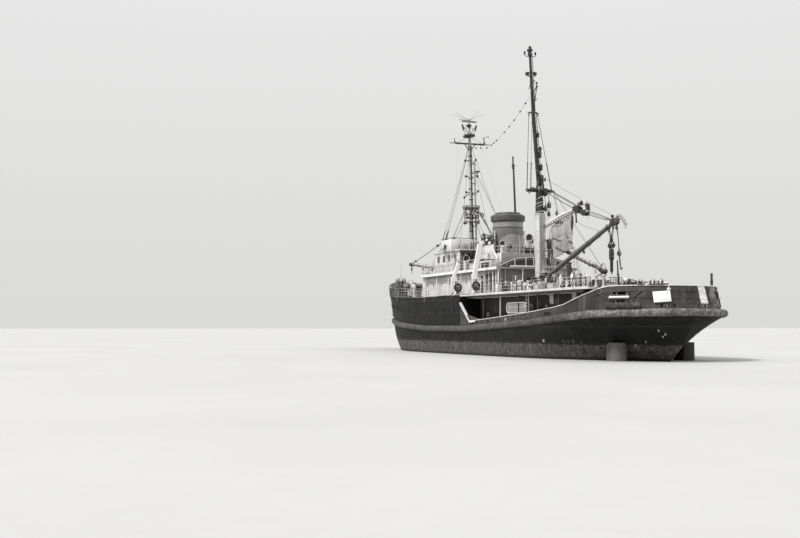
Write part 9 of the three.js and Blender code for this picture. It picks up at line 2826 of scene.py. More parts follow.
def deck_machinery():
    winch_details("cargo_winch_details_port", -2.3, -11.4, UPPER_Z)
    winch_details("cargo_winch_details_starboard", 2.3, -11.4, UPPER_Z)
    # capstan: whelps, pawl ring and bar sockets
    k = Kit()
    z = main_z(-29.6) + 0.02
    for i in range(8):
        a = i * math.pi / 4
        d = np.array([math.cos(a), math.sin(a), 0])
        c = np.array([0, -29.6, z])
        k.tube([c + d * 0.385 + (0, 0, 0.24), c + d * 0.315 + (0, 0, 0.4), c + d * 0.29 + (0, 0, 0.55), c + d * 0.345 + (0, 0, 0.7), c + d * 0.42 + (0, 0, 0.84)], 0.03, "grey_gear", 6)
        k.lathe(c + d * 0.42 + (0, 0, 0.915), d, [(0.035, -0.01), (0.05, -0.01), (0.05, 0.02), (0.035, 0.02)], "grey_gear", 8, closed=True)
        k.lathe(c + d * 0.54 + (0, 0, 0.12), (0, 0, 1), [(0, 0), (0.035, 0), (0.03, 0.035), (0, 0.04)], "grey_gear", 6)
        k.bar(c + d * 0.44 + (0, 0, 0.15), c + d * 0.6 + (0, 0, 0.13), 0.07, 0.04, "dark_gear")
    k.lathe((0, -29.6, z + 1.0), (0, 0, 1), [(0, 0), (0.2, 0.0), (0.16, 0.04), (0.06, 0.06), (0.06, 0.1), (0, 0.11)], "grey_gear", 14)
    k.make("capstan_details", "ship")
    # reel in the passage: hose turns, crank, brace
    k = Kit()
    y, zz = -14.5, main_z(-14.5) + 1.15
    turns(k, (-5.48, y, zz), (-4.72, y, zz), 0.27, 0.04, "canvas_worn", 16, 0.15)
    turns(k, (-5.36, y, zz), (-4.85, y, zz), 0.345, 0.04, "canvas_worn", 16, 0.1)
    for x in (-5.715, -4.435):
        for i in range(6):
            a = i * math.pi / 3 + 0.2
            k.bar((x, y + math.cos(a) * 0.07, zz + math.sin(a) * 0.07), (x, y + math.cos(a) * 0.43, zz + math.sin(a) * 0.43), 0.035, 0.025, "white_trim", up=(1, 0, 0))
        k.ring((x, y, zz), (1, 0, 0), 0.445, 0.024, "white_trim", 26)
        k.lathe((x, y, zz), (math.copysign(1, x + 5), 0, 0), [(0, -0.02), (0.08, -0.02), (0.08, 0.04), (0.04, 0.06), (0, 0.06)], "grey_gear", 12)
    k.tube([(-4.4, y, zz), (-4.34, y, zz), (-4.34, y + 0.26, zz + 0.1), (-4.22, y + 0.26, zz + 0.1)], 0.02, "dark_gear", 6)
    for x in (-5.54, -4.66):
        for t in (-1, 1):
            k.bar((x, y + t * 0.42, zz - 1.13), (x, y + t * 0.08, zz - 0.35), 0.05, 0.05, "white_trim")
            k.lathe((x, y + t * 0.44, zz - 1.13), (0, 0, 1), [(0, 0), (0.07, 0), (0.07, 0.03), (0, 0.04)], "grey_gear", 8)
    k.make("hose_reel_details", "ship")
    # rounded frame of bars that stands along the side
    k = Kit()
    for s in (-1, 1):
        x, y0, y1, z0, z1 = s * 5.84, -12.35, -16.3, 4.0, 4.9
        if s > 0:
            y0, y1 = -9.6, -13.1
        c = 0.3
        loop = [(x, y0, z0 + c), (x, y0, z1 - c), (x, y0 - 0.09, z1 - 0.09), (x, y0 - c, z1), (x, y1 + c, z1), (x, y1 + 0.09, z1 - 0.09), (x, y1, z1 - c), (x, y1, z0 + c), (x, y1 + 0.09, z0 + 0.09), (x, y1 + c, z0), (x, y0 - c, z0), (x, y0 - 0.09, z0 + 0.09), (x, y0, z0 + c)]
        k.tube(loop, 0.055, "pale_gear", 8)
        k.tube([(x, y0, (z0 + z1) / 2), (x, y1, (z0 + z1) / 2)], 0.03, "pale_gear", 6)
        for y in np.arange(y1 + 0.3, y0 - 0.15, 0.24):
            k.rod((x, y, z0), (x, y, z1), 0.016, "pale_gear", 5)
        k.box((x + s * -0.06, (y0 + y1) / 2, (z0 + z1) / 2), (0.03, y0 - y1 - 0.2, z1 - z0 - 0.16), "grey_gear", None, 0.012)
        for y in (y0 - 0.4, y1 + 0.4):
            k.bar((x, y, z0), (x, y, main_z(y) + 0.01), 0.07, 0.05, "pale_gear")
            k.bar((x, y, z1 - 0.1), (x - s * 0.42, y, main_z(y) + 0.02), 0.05, 0.04, "pale_gear")
    k.make("side_rack", "ship")
    # crutch: pads, gussets, bolts
    k = Kit()
    cz = 10.64 - (10.64 - 7.67) / 9.35 * (16.6 - 8.15) - 0.3
    for x in (1.1, 1.9):
        k.lathe((x, -16.6, UPPER_Z + 0.01), (0, 0, 1), [(0, 0), (0.27, 0), (0.27, 0.05), (0.15, 0.07), (0.15, 0.1), (0, 0.1)], "grey_gear", 16)
        for i in range(6):
            a = i * math.pi / 3
            k.lathe((x + math.cos(a) * 0.21, -16.6 + math.sin(a) * 0.21, UPPER_Z + 0.06), (0, 0, 1), [(0, 0), (0.025, 0), (0.02, 0.03), (0, 0.03)], "grey_gear", 6)
        for t in (-1, 1):
            k.prism([(0.09, 0.06), (0.26, 0.06), (0.09, 0.42)], -0.012, 0.012, "pale_gear", ((x, -16.6, UPPER_Z), (0, t, 0), (0, 0, 1), (1, 0, 0)))
    k.rod((1.1, -16.6, UPPER_Z + 0.9), (1.9, -16.6, UPPER_Z + 0.9), 0.035, "pale_gear", 8)
    k.rod((1.1, -16.6, UPPER_Z + 0.35), (1.9, -16.6, UPPER_Z + 0.85), 0.025, "pale_gear", 6)
    k.make("boom_crutch_details", "ship")


deck_machinery()


def upper_deck_gear():
    # guard rails along the edges, with gaps for the gangway and under the tackle's sweep
    k = Kit()
    edge = lambda y: 6.12 if y > -24 else 6.12 - 0.55 * ((-24 - y) / 4) ** 2
    for s, runs in ((-1, ((-7.2, -16.3), (-18.3, -19.6), (-22.6, -27.2))), (1, ((-7.2, -16.3),))):
        for y0, y1 in runs:
            ys = np.linspace(y0, y1, max(2, int(abs(y1 - y0) / 2.3) + 1))
            rail(k, [(s * edge(y), y, UPPER_Z + 0.01) for y in ys], 0.88, mat="pale_gear", every=1.45, r=0.016, post=0.022)
    # coaming and gutter bar along the deck's edge
    for s in (-1, 1):
        k.tube([(s * (edge(y) + 0.02), y, UPPER_Z + 0.03) for y in np.linspace(-7.0, -27.3, 24)], 0.03, "white_trim", 6)
    k.make("upper_deck_rails", "ship")

    # port edge, aft: upright gear that stands close together against the rail
    k = Kit()
    Z = UPPER_Z + 0.01
    # leaning pale planks and a dark spar between them
    for y, dy, x, h, m, w in ((-21.55, -0.55, -5.45, 0.82, "white_trim", 0.12), (-22.75, -0.55, -5.3, 1.25, "white_trim", 0.13), (-22.35, -0.5, -5.15, 0.82, "black_paint", 0.09), (-21.2, -0.3, -5.5, 0.75, "pale_gear", 0.1)):
        k.bar((x, y, Z), (x + 0.1, y + dy, Z + h), w, 0.05, m, up=(1, 0, 0))
    # dark post with lashings and a cap
    k.lathe((-5.3, -23.35, Z), (0, 0, 1), [(0, 0), (0.2, 0), (0.2, 0.04), (0.135, 0.07), (0.13, 0.9), (0.15, 0.92), (0.15, 1.0), (0.125, 1.02), (0.12, 2.02), (0.16, 2.05), (0.16, 2.13), (0.05, 2.2), (0, 2.2)], "black_paint", 14)
    for z, r in ((0.55, 0.15), (1.35, 0.15), (1.45, 0.145), (1.75, 0.14)):
        k.ring((-5.3, -23.35, Z + z), (0.1, 0.05, 1), r, 0.028, "dark_gear", 14)
    k.bar((-5.3, -23.35, Z + 1.25), (-5.3, -23.05, Z + 1.55), 0.05, 0.05, "black_paint")
    k.rod((-5.5, -23.4, Z + 1.62), (-5.05, -23.3, Z + 1.66), 0.035, "dark_gear", 8)
    # rack of upright bottles with chain bars
    RNG.seed(77)
    y = -23.8
    i = 0
    while y > -26.3:
        h = RNG.uniform(0.95, 1.3)
        m = ("white_trim", "pale_gear", "white_trim", "grey_gear", "pale_gear", "dark_gear")[i % 6]
        bottle(k, (-5.35 + RNG.uniform(-0.04, 0.04) + 0.12 * smooth(-y, 25, 27), y, Z + 0.05), 0.125, h, m)
        if i % 3 == 1:
            k.tube(curve([(-5.3, y, Z + h), (-5.3, y - 0.08, Z + h + 0.12), (-5.2, y - 0.14, Z + h - 0.05), (-5.1, y - 0.1, Z + 0.5)], 4), 0.02, "rubber_worn", 6)
        y -= 0.285
        i += 1
    for z in (0.35, 0.8):
        k.bar((-5.53, -23.6, Z + z), (-5.42, -26.4, Z + z), 0.04, 0.05, "dark_gear")
        k.bar((-5.17, -23.6, Z + z), (-5.08, -26.4, Z + z), 0.04, 0.05, "dark_gear")
    for y in (-23.62, -25.0, -26.38):
        for x in (-5.52, -5.14):
            k.bar((x, y, Z), (x, y, Z + 0.85), 0.06, 0.05, "dark_gear")
    k.box((-5.32, -25.0, Z + 0.03), (0.5, 2.9, 0.06), "dark_gear")
    # leaning dark bars in front of the rack
    for y, dy, h in ((-23.9, -0.7, 1.35), (-24.9, 0.5, 1.2), (-25.9, 0.35, 1.05), (-26.5, 0.3, 0.9)):
        k.rod((-5.62, y, Z), (-5.5, y + dy, Z + h), 0.035, "dark_gear", 6)
    # covered hand winch, small cylinders, box with a dark mouth
    k.lathe((-5.05, -27.2, Z), (0, 0, 1), [(0, 0), (0.22, 0), (0.22, 0.06), (0.13, 0.12), (0.12, 0.75), (0.17, 0.8), (0.19, 0.92), (0.13, 1.04), (0, 1.06)], "pale_gear", 16)
    k.ring((-5.05, -27.2, Z + 0.5), (0, 0, 1), 0.16, 0.025, "grey_gear", 14)
    k.lathe((-4.95, -28.15, Z - 0.02), (0, 0, 1), [(0, 0), (0.19, 0), (0.18, 0.06), (0.12, 0.1), (0.12, 0.82), (0.15, 0.86), (0.15, 0.94), (0.1, 0.98), (0, 1.0)], "pale_gear", 16)
    k.box((-4.85, -27.7, Z + 0.28), (0.45, 0.5, 0.5), "dark_gear", 12, 0.03)
    k.box((-4.85, -27.7, Z + 0.56), (0.52, 0.56, 0.05), "grey_gear", 12, 0.015)
    for i in range(5):
        k.rod((-5.08, -27.55 - i * 0.08, Z + 0.12), (-5.08, -27.55 - i * 0.08, Z + 0.5), 0.012, "grey_gear", 5)
    k.ball((-4.6, -27.4, Z + 0.86), 0.16, "grey_gear", 12, 0.8)
    k.rod((-4.6, -27.4, Z), (-4.6, -27.4, Z + 0.8), 0.05, "grey_gear", 8)
    k.make("port_edge_gear", "ship")

    k = Kit()
    # crate of bars, and the dark pole with a pale one at its foot
    for i in range(7):
        y = -28.35 - i * 0.13
        k.rod((-4.55 + i * 0.04, y, Z), (-4.55 + i * 0.04, y, Z + 0.72), 0.02, "dark_gear" if i % 2 else "pale_gear", 6)
    for z in (0.06, 0.28, 0.5, 0.72):
        k.bar((-4.57, -28.3, Z + z), (-4.27, -29.2, Z + z), 0.03, 0.045, "dark_gear")
    for i in range(4):
        k.rod((-4.0 + i * 0.04, -28.4 - i * 0.22, Z), (-4.0 + i * 0.04, -28.4 - i * 0.22, Z + 0.72), 0.022, "dark_gear", 6)
    for z in (0.28, 0.72):
        k.bar((-4.02, -28.35, Z + z), (-3.86, -29.1, Z + z), 0.03, 0.045, "dark_gear")
        k.bar((-4.57, -28.32, Z + z), (-4.02, -28.36, Z + z), 0.03, 0.045, "dark_gear")
    k.tube([(-4.1, -29.0, Z), (-4.12, -28.96, Z + 0.9), (-4.15, -28.9, Z + 2.05)], [0.07, 0.065, 0.05], "black_paint", 8)
    k.lathe((-4.12, -28.96, Z + 0.85), (0, 0, 1), [(0.05, 0), (0.1, 0.01), (0.1, 0.12), (0.05, 0.13)], "dark_gear", 10, closed=True)
    k.rod((-4.3, -28.98, Z), (-4.27, -28.94, Z + 0.85), 0.045, "white_trim", 8)
    k.rod((-3.9, -28.8, Z), (-3.95, -28.72, Z + 1.2), 0.03, "pale_gear", 8)
    # pale float, and the dark pump with a peaked cover
    k.ball((-3.4, -28.75, Z + 0.5), 0.22, "white_trim", 12)
    k.lathe((-3.4, -28.75, Z), (0, 0, 1), [(0, 0), (0.18, 0), (0.16, 0.25), (0.08, 0.3), (0, 0.3)], "dark_gear", 12)
    k.lathe((-2.9, -28.6, Z), (0, 0, 1), [(0, 0), (0.3, 0), (0.3, 0.05), (0.25, 0.1), (0.2, 0.3), (0.14, 0.45), (0.1, 0.58), (0.04, 0.64), (0, 0.64)], "dark_gear", 14)
    k.tube(curve([(-2.9, -28.6, Z + 0.55), (-2.5, -28.7, Z + 0.5), (-2.3, -28.8, Z + 0.3), (-2.3, -28.8, Z + 0.02)], 4), 0.04, "dark_gear", 8)
    k.lathe((-2.3, -28.8, Z), (0, 0, 1), [(0, 0), (0.12, 0), (0.15, 0.04), (0.07, 0.07), (0, 0.07)], "dark_gear", 10)
    k.make("port_quarter_gear", "ship")

    # white lockers along the edge, further forward, with drums and tanks behind them
    k = Kit()
    for y, d, h, m in ((-17.9, 0.8, 0.5, "pale_gear"), (-19.05, 0.9, 0.56, "grey_gear"), (-20.45, 1.0, 0.48, "pale_gear")):
        locker(k, (-5.35, y, Z), (0.6, d, h), m)
    for x, y, r, h, m in ((-4.5, -17.5, 0.29, 0.86, "grey_gear"), (-4.45, -18.2, 0.29, 0.84, "dark_gear"), (-4.6, -16.8, 0.27, 0.8, "pale_gear"), (-3.8, -17.9, 0.29, 0.86, "dark_gear"), (-4.6, -13.8, 0.29, 0.86, "white_worn"), (-4.55, -13.1, 0.27, 0.8, "grey_gear")):
        drum(k, (x, y, Z), r, h, m)
    # low tank on chocks and fan casings
    k.lathe((-4.2, -22.9, Z + 0.42), (0, -1, 0), [(0, 0), (0.2, 0.02), (0.3, 0.1), (0.32, 0.2), (0.32, 1.5), (0.3, 1.6), (0.2, 1.68), (0, 1.7)], "pale_gear", 20)
    for y in (-23.3, -24.2):
        k.box((-4.2, y, Z + 0.1), (0.6, 0.12, 0.2), "dark_gear", None, 0.02)
        k.ring((-4.2, y, Z + 0.42), (0, 1, 0), 0.335, 0.02, "dark_gear", 20)
    k.lathe((-4.2, -23.75, Z + 0.72), (0, 0, 1), [(0, 0), (0.09, 0), (0.09, 0.06), (0.12, 0.06), (0.12, 0.1), (0, 0.11)], "dark_gear", 12)
    cowl(k, (-4.5, -15.3, Z), 0.75, 0.16, 200, "pale_gear")
    cowl(k, (-3.0, -19.4, Z), 0.5, 0.14, 160, "pale_gear")
    mushroom(k, (-5.2, -15.9, Z), 0.62, 0.17, "pale_gear")
    mushroom(k, (-4.95, -12.3, Z), 0.7, 0.15, "white_worn")
    mushroom(k, (-3.4, -14.2, Z), 0.55, 0.2, "white_worn")
    # more upright gear between the lockers and the mast
    RNG.seed(5)
    for i in range(11):
        y = -8.6 - i * 0.62
        x = -5.45 + RNG.uniform(-0.1, 0.25)
        h = RNG.uniform(0.5, 1.15)
        m = ("dark_gear", "white_trim", "grey_gear", "black_paint", "pale_gear")[i % 5]
        t = i % 4
        if t == 0:
            k.lathe((x, y, Z), (0, 0, 1), [(0, 0), (0.16, 0), (0.16, 0.04), (0.07, 0.07), (0.06, h * 0.8), (0.11, h * 0.84), (0.12, h * 0.95), (0.06, h), (0, h)], m, 12)
        elif t == 1:
            k.box((x, y, Z + h * 0.4), (0.34, 0.42, h * 0.8), m, RNG.uniform(-12, 12), 0.03)
            k.box((x, y, Z + h * 0.82), (0.38, 0.46, 0.04), "grey_gear", None, 0.01)
            k.rod((x - 0.19, y - 0.1, Z + h * 0.4), (x - 0.19, y + 0.1, Z + h * 0.4), 0.014, "dark_gear", 5)
        elif t == 2:
            k.tube(curve([(x, y, Z), (x, y, Z + h * 0.8), (x - 0.04, y - 0.12, Z + h), (x - 0.06, y - 0.25, Z + h * 0.85), (x - 0.06, y - 0.26, Z + h * 0.7)], 5), 0.055, m, 10)
            k.lathe((x, y, Z), (0, 0, 1), [(0, 0), (0.12, 0), (0.12, 0.03), (0, 0.04)], "dark_gear", 10)
        else:
            wheel(k, (x, y, Z + h), (0, -0.3, 1), 0.17, m, 5)
            k.rod((x, y, Z), (x, y, Z + h), 0.035, m, 8)
            k.lathe((x, y, Z), (0, 0, 1), [(0, 0), (0.13, 0), (0.1, 0.14), (0.05, 0.2), (0, 0.2)], "dark_gear", 10)
    k.make("port_lockers_and_vents", "ship")

    k = Kit()
    # tall dark post with its foot, rungs and a cap
    k.lathe((-3.5, -19.78, Z), (0, 0, 1), [(0, 0), (0.3, 0), (0.3, 0.05), (0.15, 0.1), (0.13, 0.3), (0.12, 1.95), (0.17, 2.0), (0.17, 2.12), (0.1, 2.2), (0, 2.22)], "black_paint", 16)
    for z in (0.5, 0.95, 1.4, 1.75):
        k.ring((-3.5, -19.78, Z + z), (0, 0, 1), 0.135, 0.022, "dark_gear", 14)
    for z in (0.7, 1.2):
        k.bar((-3.5, -19.78, Z + z), (-3.5, -20.1, Z + z), 0.06, 0.04, "dark_gear")
        k.rod((-3.65, -20.08, Z + z), (-3.35, -20.08, Z + z), 0.03, "dark_gear", 8)
    # stanchions, pipes, boxes and hand pumps that stand close together
    RNG.seed(404)
    n = 0
    for row_ in range(4):
        y = -12.4 - 0.15 * row_
        while y > -23.6:
            x = -5.05 + 0.62 * row_ + RNG.uniform(-0.12, 0.12)
            low = 0.78 if y < -19.4 else (1.25 if row_ < 2 else 1.5)
            h = RNG.uniform(0.45, low)
            m = ("white_trim", "black_paint", "pale_gear", "white_worn", "dark_gear", "white_trim", "grey_gear")[n % 7]
            m2 = ("black_paint", "white_trim", "dark_gear", "pale_gear")[n % 4]
            t = (n * 5 + row_) % 6
            near = (x < -4.1 and -17.9 < y < -16.5) or (abs(x + 4.2) < 0.5 and -24.8 < y < -22.6) or (abs(x + 3.5) < 0.5 and abs(y + 19.78) < 0.6) or (x > -3.85 and y > -17.2) or (abs(x + 4.55) < 0.45 and y > -14.3)
            if not near:
                if t == 0:
                    bottle(k, (x, y, Z), RNG.uniform(0.08, 0.12), h, m)
                elif t == 1:
                    k.box((x, y, Z + h * 0.34), (0.3, 0.34, h * 0.64), m, RNG.uniform(-18, 18), 0.03)
                    k.box((x, y, Z + h * 0.68), (0.34, 0.38, 0.05), m2, RNG.uniform(-18, 18), 0.012)
                    k.rod((x - 0.1, y - 0.1, Z + h * 0.66), (x - 0.06, y - 0.12, Z + h), 0.03, m2, 6)
                elif t == 2:
                    k.tube(curve([(x, y, Z), (x, y, Z + h * 0.75), (x - 0.03, y - 0.1, Z + h), (x - 0.05, y - 0.24, Z + h * 0.88), (x - 0.05, y - 0.26, Z + h * 0.7)], 4), 0.045, m, 8)
                    k.lathe((x, y, Z), (0, 0, 1), [(0, 0), (0.11, 0), (0.11, 0.03), (0, 0.04)], m2, 10)
                elif t == 3:
                    k.rod((x, y, Z), (x + RNG.uniform(-0.1, 0.1), y + RNG.uniform(-0.15, 0.15), Z + h), 0.035, m, 8)
                    k.rod((x - 0.12, y, Z + h * 0.55), (x + 0.12, y + 0.05, Z + h * 0.58), 0.02, m2, 6)
                    k.lathe((x, y, Z), (0, 0, 1), [(0, 0), (0.13, 0), (0.1, 0.1), (0.04, 0.14), (0, 0.14)], m2, 10)
                elif t == 4:
                    mushroom(k, (x, y, Z), h * 0.7, 0.10, m)
                else:
                    wheel(k, (x, y, Z + h * 0.9), (-0.3, -1, 0.2), 0.15, m, 5)
                    k.rod((x, y + 0.02, Z), (x, y + 0.02, Z + h * 0.9), 0.035, m2, 8)
                    k.box((x, y + 0.02, Z + 0.16), (0.24, 0.26, 0.3), m2, None, 0.03)
            n += 1
            y -= RNG.uniform(0.5, 0.72)
    k.make("close_packed_gear", "ship")

    # control stand and cabinets near the mast's foot
    k = Kit()
    k.box((-2.75, -8.5, Z + 0.42), (0.9, 0.5, 0.8), "white_trim", 4, 0.03)
    k.box((-2.75, -8.5, Z + 0.86), (1.0, 0.6, 0.06), "white_trim", 4, 0.015)
    k.box((-2.62, -8.5, Z + 1.1), (0.5, 0.4, 0.42), "white_trim", 4, 0.03)
    k.box((-2.9, -8.77, Z + 0.5), (0.28, 0.03, 0.3), "black_paint", 4, 0.01)
    k.box((-2.5, -8.77, Z + 0.5), (0.22, 0.03, 0.5), "pale_gear", 4, 0.01)
    k.lathe((-3.1, -8.6, Z + 0.88), (0, 0, 1), [(0, 0), (0.07, 0), (0.05, 0.05), (0.045, 0.75), (0.07, 0.78), (0.05, 0.84), (0, 0.85)], "white_trim", 10)
    k.tube([(-3.1, -8.6, Z + 1.55), (-2.85, -8.62, Z + 1.62), (-2.62, -8.62, Z + 1.45)], 0.025, "grey_gear", 6)
    for x in (-1.75, -1.1):
        k.box((x, -8.95, Z + 0.62), (0.56, 0.36, 1.2), "white_worn", None, 0.03)
        k.box((x, -9.14, Z + 0.66), (0.46, 0.03, 0.96), "pale_gear", None, 0.012)
        k.box((x, -8.95, Z + 1.24), (0.62, 0.42, 0.05), "white_trim", None, 0.012)
        k.rod((x + 0.16, -9.18, Z + 0.58), (x + 0.16, -9.18, Z + 0.74), 0.014, "dark_gear", 6)
        for z in (0.3, 1.0):
            k.box((x - 0.2, -9.165, Z + z), (0.06, 0.03, 0.1), "dark_gear", None, 0.006)
        for i in range(5):
            k.box((x, -9.163, Z + 0.9 + i * 0.035), (0.26, 0.012, 0.012), "dark_gear", None, 0.003)
    k.tube(curve([(-1.1, -8.9, Z + 1.26), (-1.1, -8.85, Z + 1.5), (-0.7, -8.6, Z + 1.6), (-0.48, -8.0, Z + 1.5)], 5), 0.03, "rubber_worn", 6)
    k.make("winch_control_stand", "ship")

    # starboard side: lockers, drums, spare anchor, bottles and vents
    k = Kit()
    for y, d, h in ((-9.2, 1.2, 0.7), (-12.0, 1.0, 0.7), (-21.8, 1.3, 0.28), (-24.2, 1.0, 0.26)):
        locker(k, (5.35, y, Z), (0.6, d, h), "white_worn")
    for x, y, r, h, m in ((5.3, -13.4, 0.29, 0.86, "dark_gear"), (5.3, -14.1, 0.29, 0.86, "grey_gear"), (4.65, -13.7, 0.29, 0.84, "dark_gear"), (4.0, -14.9, 0.28, 0.84, "pale_gear"), (4.0, -15.6, 0.28, 0.84, "grey_gear")):
        drum(k, (x, y, Z), r, h, m)
    for i in range(8):
        bottle(k, (5.35, -15.4 - i * 0.28, Z + 0.04), 0.12, 0.62 + 0.05 * (i % 3), ("grey_gear", "pale_gear", "white_trim")[i % 3])
    for z in (0.25, 0.55):
        k.bar((5.52, -15.2, Z + z), (5.52, -17.6, Z + z), 0.04, 0.05, "dark_gear")
        k.bar((5.17, -15.2, Z + z), (5.17, -17.6, Z + z), 0.04, 0.05, "dark_gear")
    for y in (-15.2, -17.6):
        for x in (5.17, 5.52):
            k.bar((x, y, Z), (x, y, Z + 0.9), 0.06, 0.05, "dark_gear")
    cowl(k, (4.4, -12.6, Z), 0.7, 0.17, 160, "pale_gear")
    cowl(k, (4.3, -10.4, Z), 0.8, 0.18, 185, "pale_gear")
    mushroom(k, (3.5, -20.4, Z), 0.22, 0.13, "white_worn")
    mushroom(k, (5.0, -23.1, Z), 0.2, 0.12, "white_worn")
    # stocked anchor lashed down on chocks
    c = np.array([3.6, -23.6, Z + 0.2])
    k.rod(c + (0, 0.9, 0.08), c + (0, -0.8, 0.02), 0.075, "dark_gear", 10)
    k.tube(curve([c + (-0.62, -0.42, 0.05), c + (-0.42, -0.74, 0.02), c + (0, -0.86, 0), c + (0.42, -0.74, 0.02), c + (0.62, -0.42, 0.05)], 6), 0.075, "dark_gear", 8)
    for s in (-1, 1):
        k.prism([(0, 0.16), (0.2, -0.08), (0, -0.14), (-0.2, -0.08)], -0.03, 0.03, "dark_gear", (c + (s * 0.6, -0.44, 0.05), unit((s * 0.7, -0.5, 0)), (0, 0, 1), unit((0.5, s * 0.7, 0))))
    k.rod(c + (-0.5, 0.78, 0.08), c + (0.5, 0.78, 0.08), 0.05, "dark_gear", 8)
    k.ring(c + (0, 1.0, 0.08), (1, 0, 0), 0.11, 0.03, "dark_gear", 14)
    for y in (-0.5, 0.5):
        k.box(c + (0, y, -0.12), (0.5, 0.14, 0.16), "plank_wood", None, 0.02)
    k.make("starboard_deck_gear", "ship")

    # middle of the deck: raised hatches, skylight, bollards, eye plates
    k = Kit()
    for x, y, w, d, h, m in ((0.0, -14.2, 1.5, 1.9, 0.55, "grey_gear"), (0.0, -19.3, 1.7, 1.5, 0.5, "grey_gear"), (0.0, -25.4, 1.4, 1.2, 0.45, "dark_gear"), (-3.4, -26.0, 0.9, 0.9, 0.4, "grey_gear"), (3.4, -26.4, 0.9, 0.9, 0.14, "grey_gear")):
        k.box((x, y, Z + h / 2), (w, d, h), "pale_gear" if m == "grey_gear" else m, None, 0.03)
        k.box((x, y, Z + h + 0.03), (w + 0.1, d + 0.1, 0.07), m, None, 0.02)
        for s in (-1, 1):
            for t in (-0.3, 0.3):
                k.box((x + s * (w / 2 + 0.04), y + t * d, Z + h - 0.08), (0.05, 0.08, 0.2), "dark_gear", None, 0.008)
                k.ring((x + s * w * 0.3, y + t * d, Z + h + 0.09), (0, 1, 0), 0.06, 0.014, "dark_gear", 10, 5)
        k.box((x, y + d / 2 + 0.04, Z + h - 0.02), (w * 0.7, 0.05, 0.06), "dark_gear", None, 0.01)
    k.lathe((0, -25.4, Z + 0.48), (0, 0, 1), [(0, 0), (0.24, 0), (0.26, 0.03), (0.2, 0.1), (0, 0.12)], "grey_gear", 18)
    for s in (-1, 1):
        for y in (-15.6, -21.9):
            bitts(k, (s * 4.0 if s > 0 or y < -20 else s * 3.3, y - 3.3 if y < -20 and s < 0 else y, Z), 0, 0.12, 0.52, 0.55, "dark_gear")
        for y in (-9.6, -13.0, -17.2, -24.6):
            k.lathe((s * 2.9, y, Z), (0, 0, 1), [(0, 0), (0.1, 0), (0.1, 0.03), (0, 0.035)], "grey_gear", 8)
            k.ring((s * 2.9, y, Z + 0.09), (1, 0, 0), 0.075, 0.02, "dark_gear", 12, 5)
    k.make("upper_deck_hatches", "ship")

    # bank of dark pumping gear, port of the middle line
    k = Kit()
    RNG.seed(31)
    for i, (x, y) in enumerate(((-3.35, -13.0), (-3.1, -13.75), (-3.4, -14.45), (-3.15, -15.2), (-3.45, -15.9), (-3.2, -16.55), (-2.7, -13.4), (-2.65, -15.5))):
        h = (1.25, 1.5, 0.95, 1.4, 1.1, 1.3, 1.55, 1.05)[i]
        m = ("dark_gear", "black_paint", "dark_gear", "grey_gear", "black_paint", "dark_gear", "dark_gear", "black_paint")[i]
        if i % 3 == 0:
            k.box((x, y, Z + h * 0.32), (0.56, 0.6, h * 0.62), m, RNG.uniform(-5, 5), 0.05)
            k.lathe((x, y, Z + h * 0.62), (0, 0, 1), [(0, 0), (0.2, 0), (0.2, 0.06), (0.14, 0.1), (0.13, h * 0.3), (0.17, h * 0.32), (0.17, h * 0.36), (0.06, h * 0.38), (0, h * 0.38)], m, 14)
            for j in range(5):
                k.box((x - 0.285, y - 0.2 + j * 0.1, Z + h * 0.34), (0.02, 0.04, h * 0.4), "grey_gear", None, 0.006)
        elif i % 3 == 1:
            k.lathe((x, y, Z), (0, 0, 1), [(0, 0), (0.3, 0), (0.3, 0.05), (0.24, 0.08), (0.24, h * 0.55), (0.28, h * 0.57), (0.28, h * 0.62), (0.18, h * 0.72), (0.1, h * 0.76), (0.1, h * 0.92), (0.15, h * 0.94), (0.15, h), (0, h)], m, 18)
            wheel(k, (x - 0.3, y, Z + h * 0.5), (-1, 0, 0.2), 0.15, "grey_gear", 5)
            k.rod((x - 0.2, y, Z + h * 0.5), (x - 0.31, y, Z + h * 0.5), 0.025, "grey_gear", 6)
            k.tube(curve([(x, y - 0.1, Z + h * 0.7), (x, y - 0.35, Z + h * 0.72), (x, y - 0.45, Z + h * 0.5), (x, y - 0.45, Z + 0.02)], 5), 0.06, "dark_gear", 10)
        else:
            k.tube(curve([(x, y, Z), (x, y, Z + h * 0.75), (x - 0.05, y - 0.1, Z + h * 0.95), (x - 0.1, y - 0.32, Z + h), (x - 0.12, y - 0.45, Z + h * 0.84)], 5), 0.085, m, 12)
            k.lathe((x, y, Z), (0, 0, 1), [(0, 0), (0.2, 0), (0.2, 0.04), (0.1, 0.06), (0, 0.06)], "grey_gear", 14)
            k.box((x + 0.2, y + 0.1, Z + 0.36), (0.34, 0.4, 0.7), m, 8, 0.04)
        for j in range(4):
            q = j * math.pi / 2 + 0.7
            k.lathe((x + math.cos(q) * 0.26, y + math.sin(q) * 0.26, Z + 0.03), (0, 0, 1), [(0, 0), (0.025, 0), (0.02, 0.03), (0, 0.035)], "grey_gear", 6)
    k.box((-3.1, -14.8, Z + 0.02), (1.3, 4.4, 0.05), "dark_gear", None, 0.01)
    for z, x in ((1.18, -3.62), (0.72, -3.66)):
        k.tube([(x + 0.02 * math.sin(y), y, Z + z) for y in np.arange(-12.6, -17.0, -0.7)], 0.028, "dark_gear", 8)
    for y in (-12.65, -14.1, -15.5, -16.8):
        k.rod((-3.64, y, Z), (-3.64, y, Z + 1.2), 0.032, "dark_gear", 8)
    k.make("pump_bank", "ship")
    k = Kit()
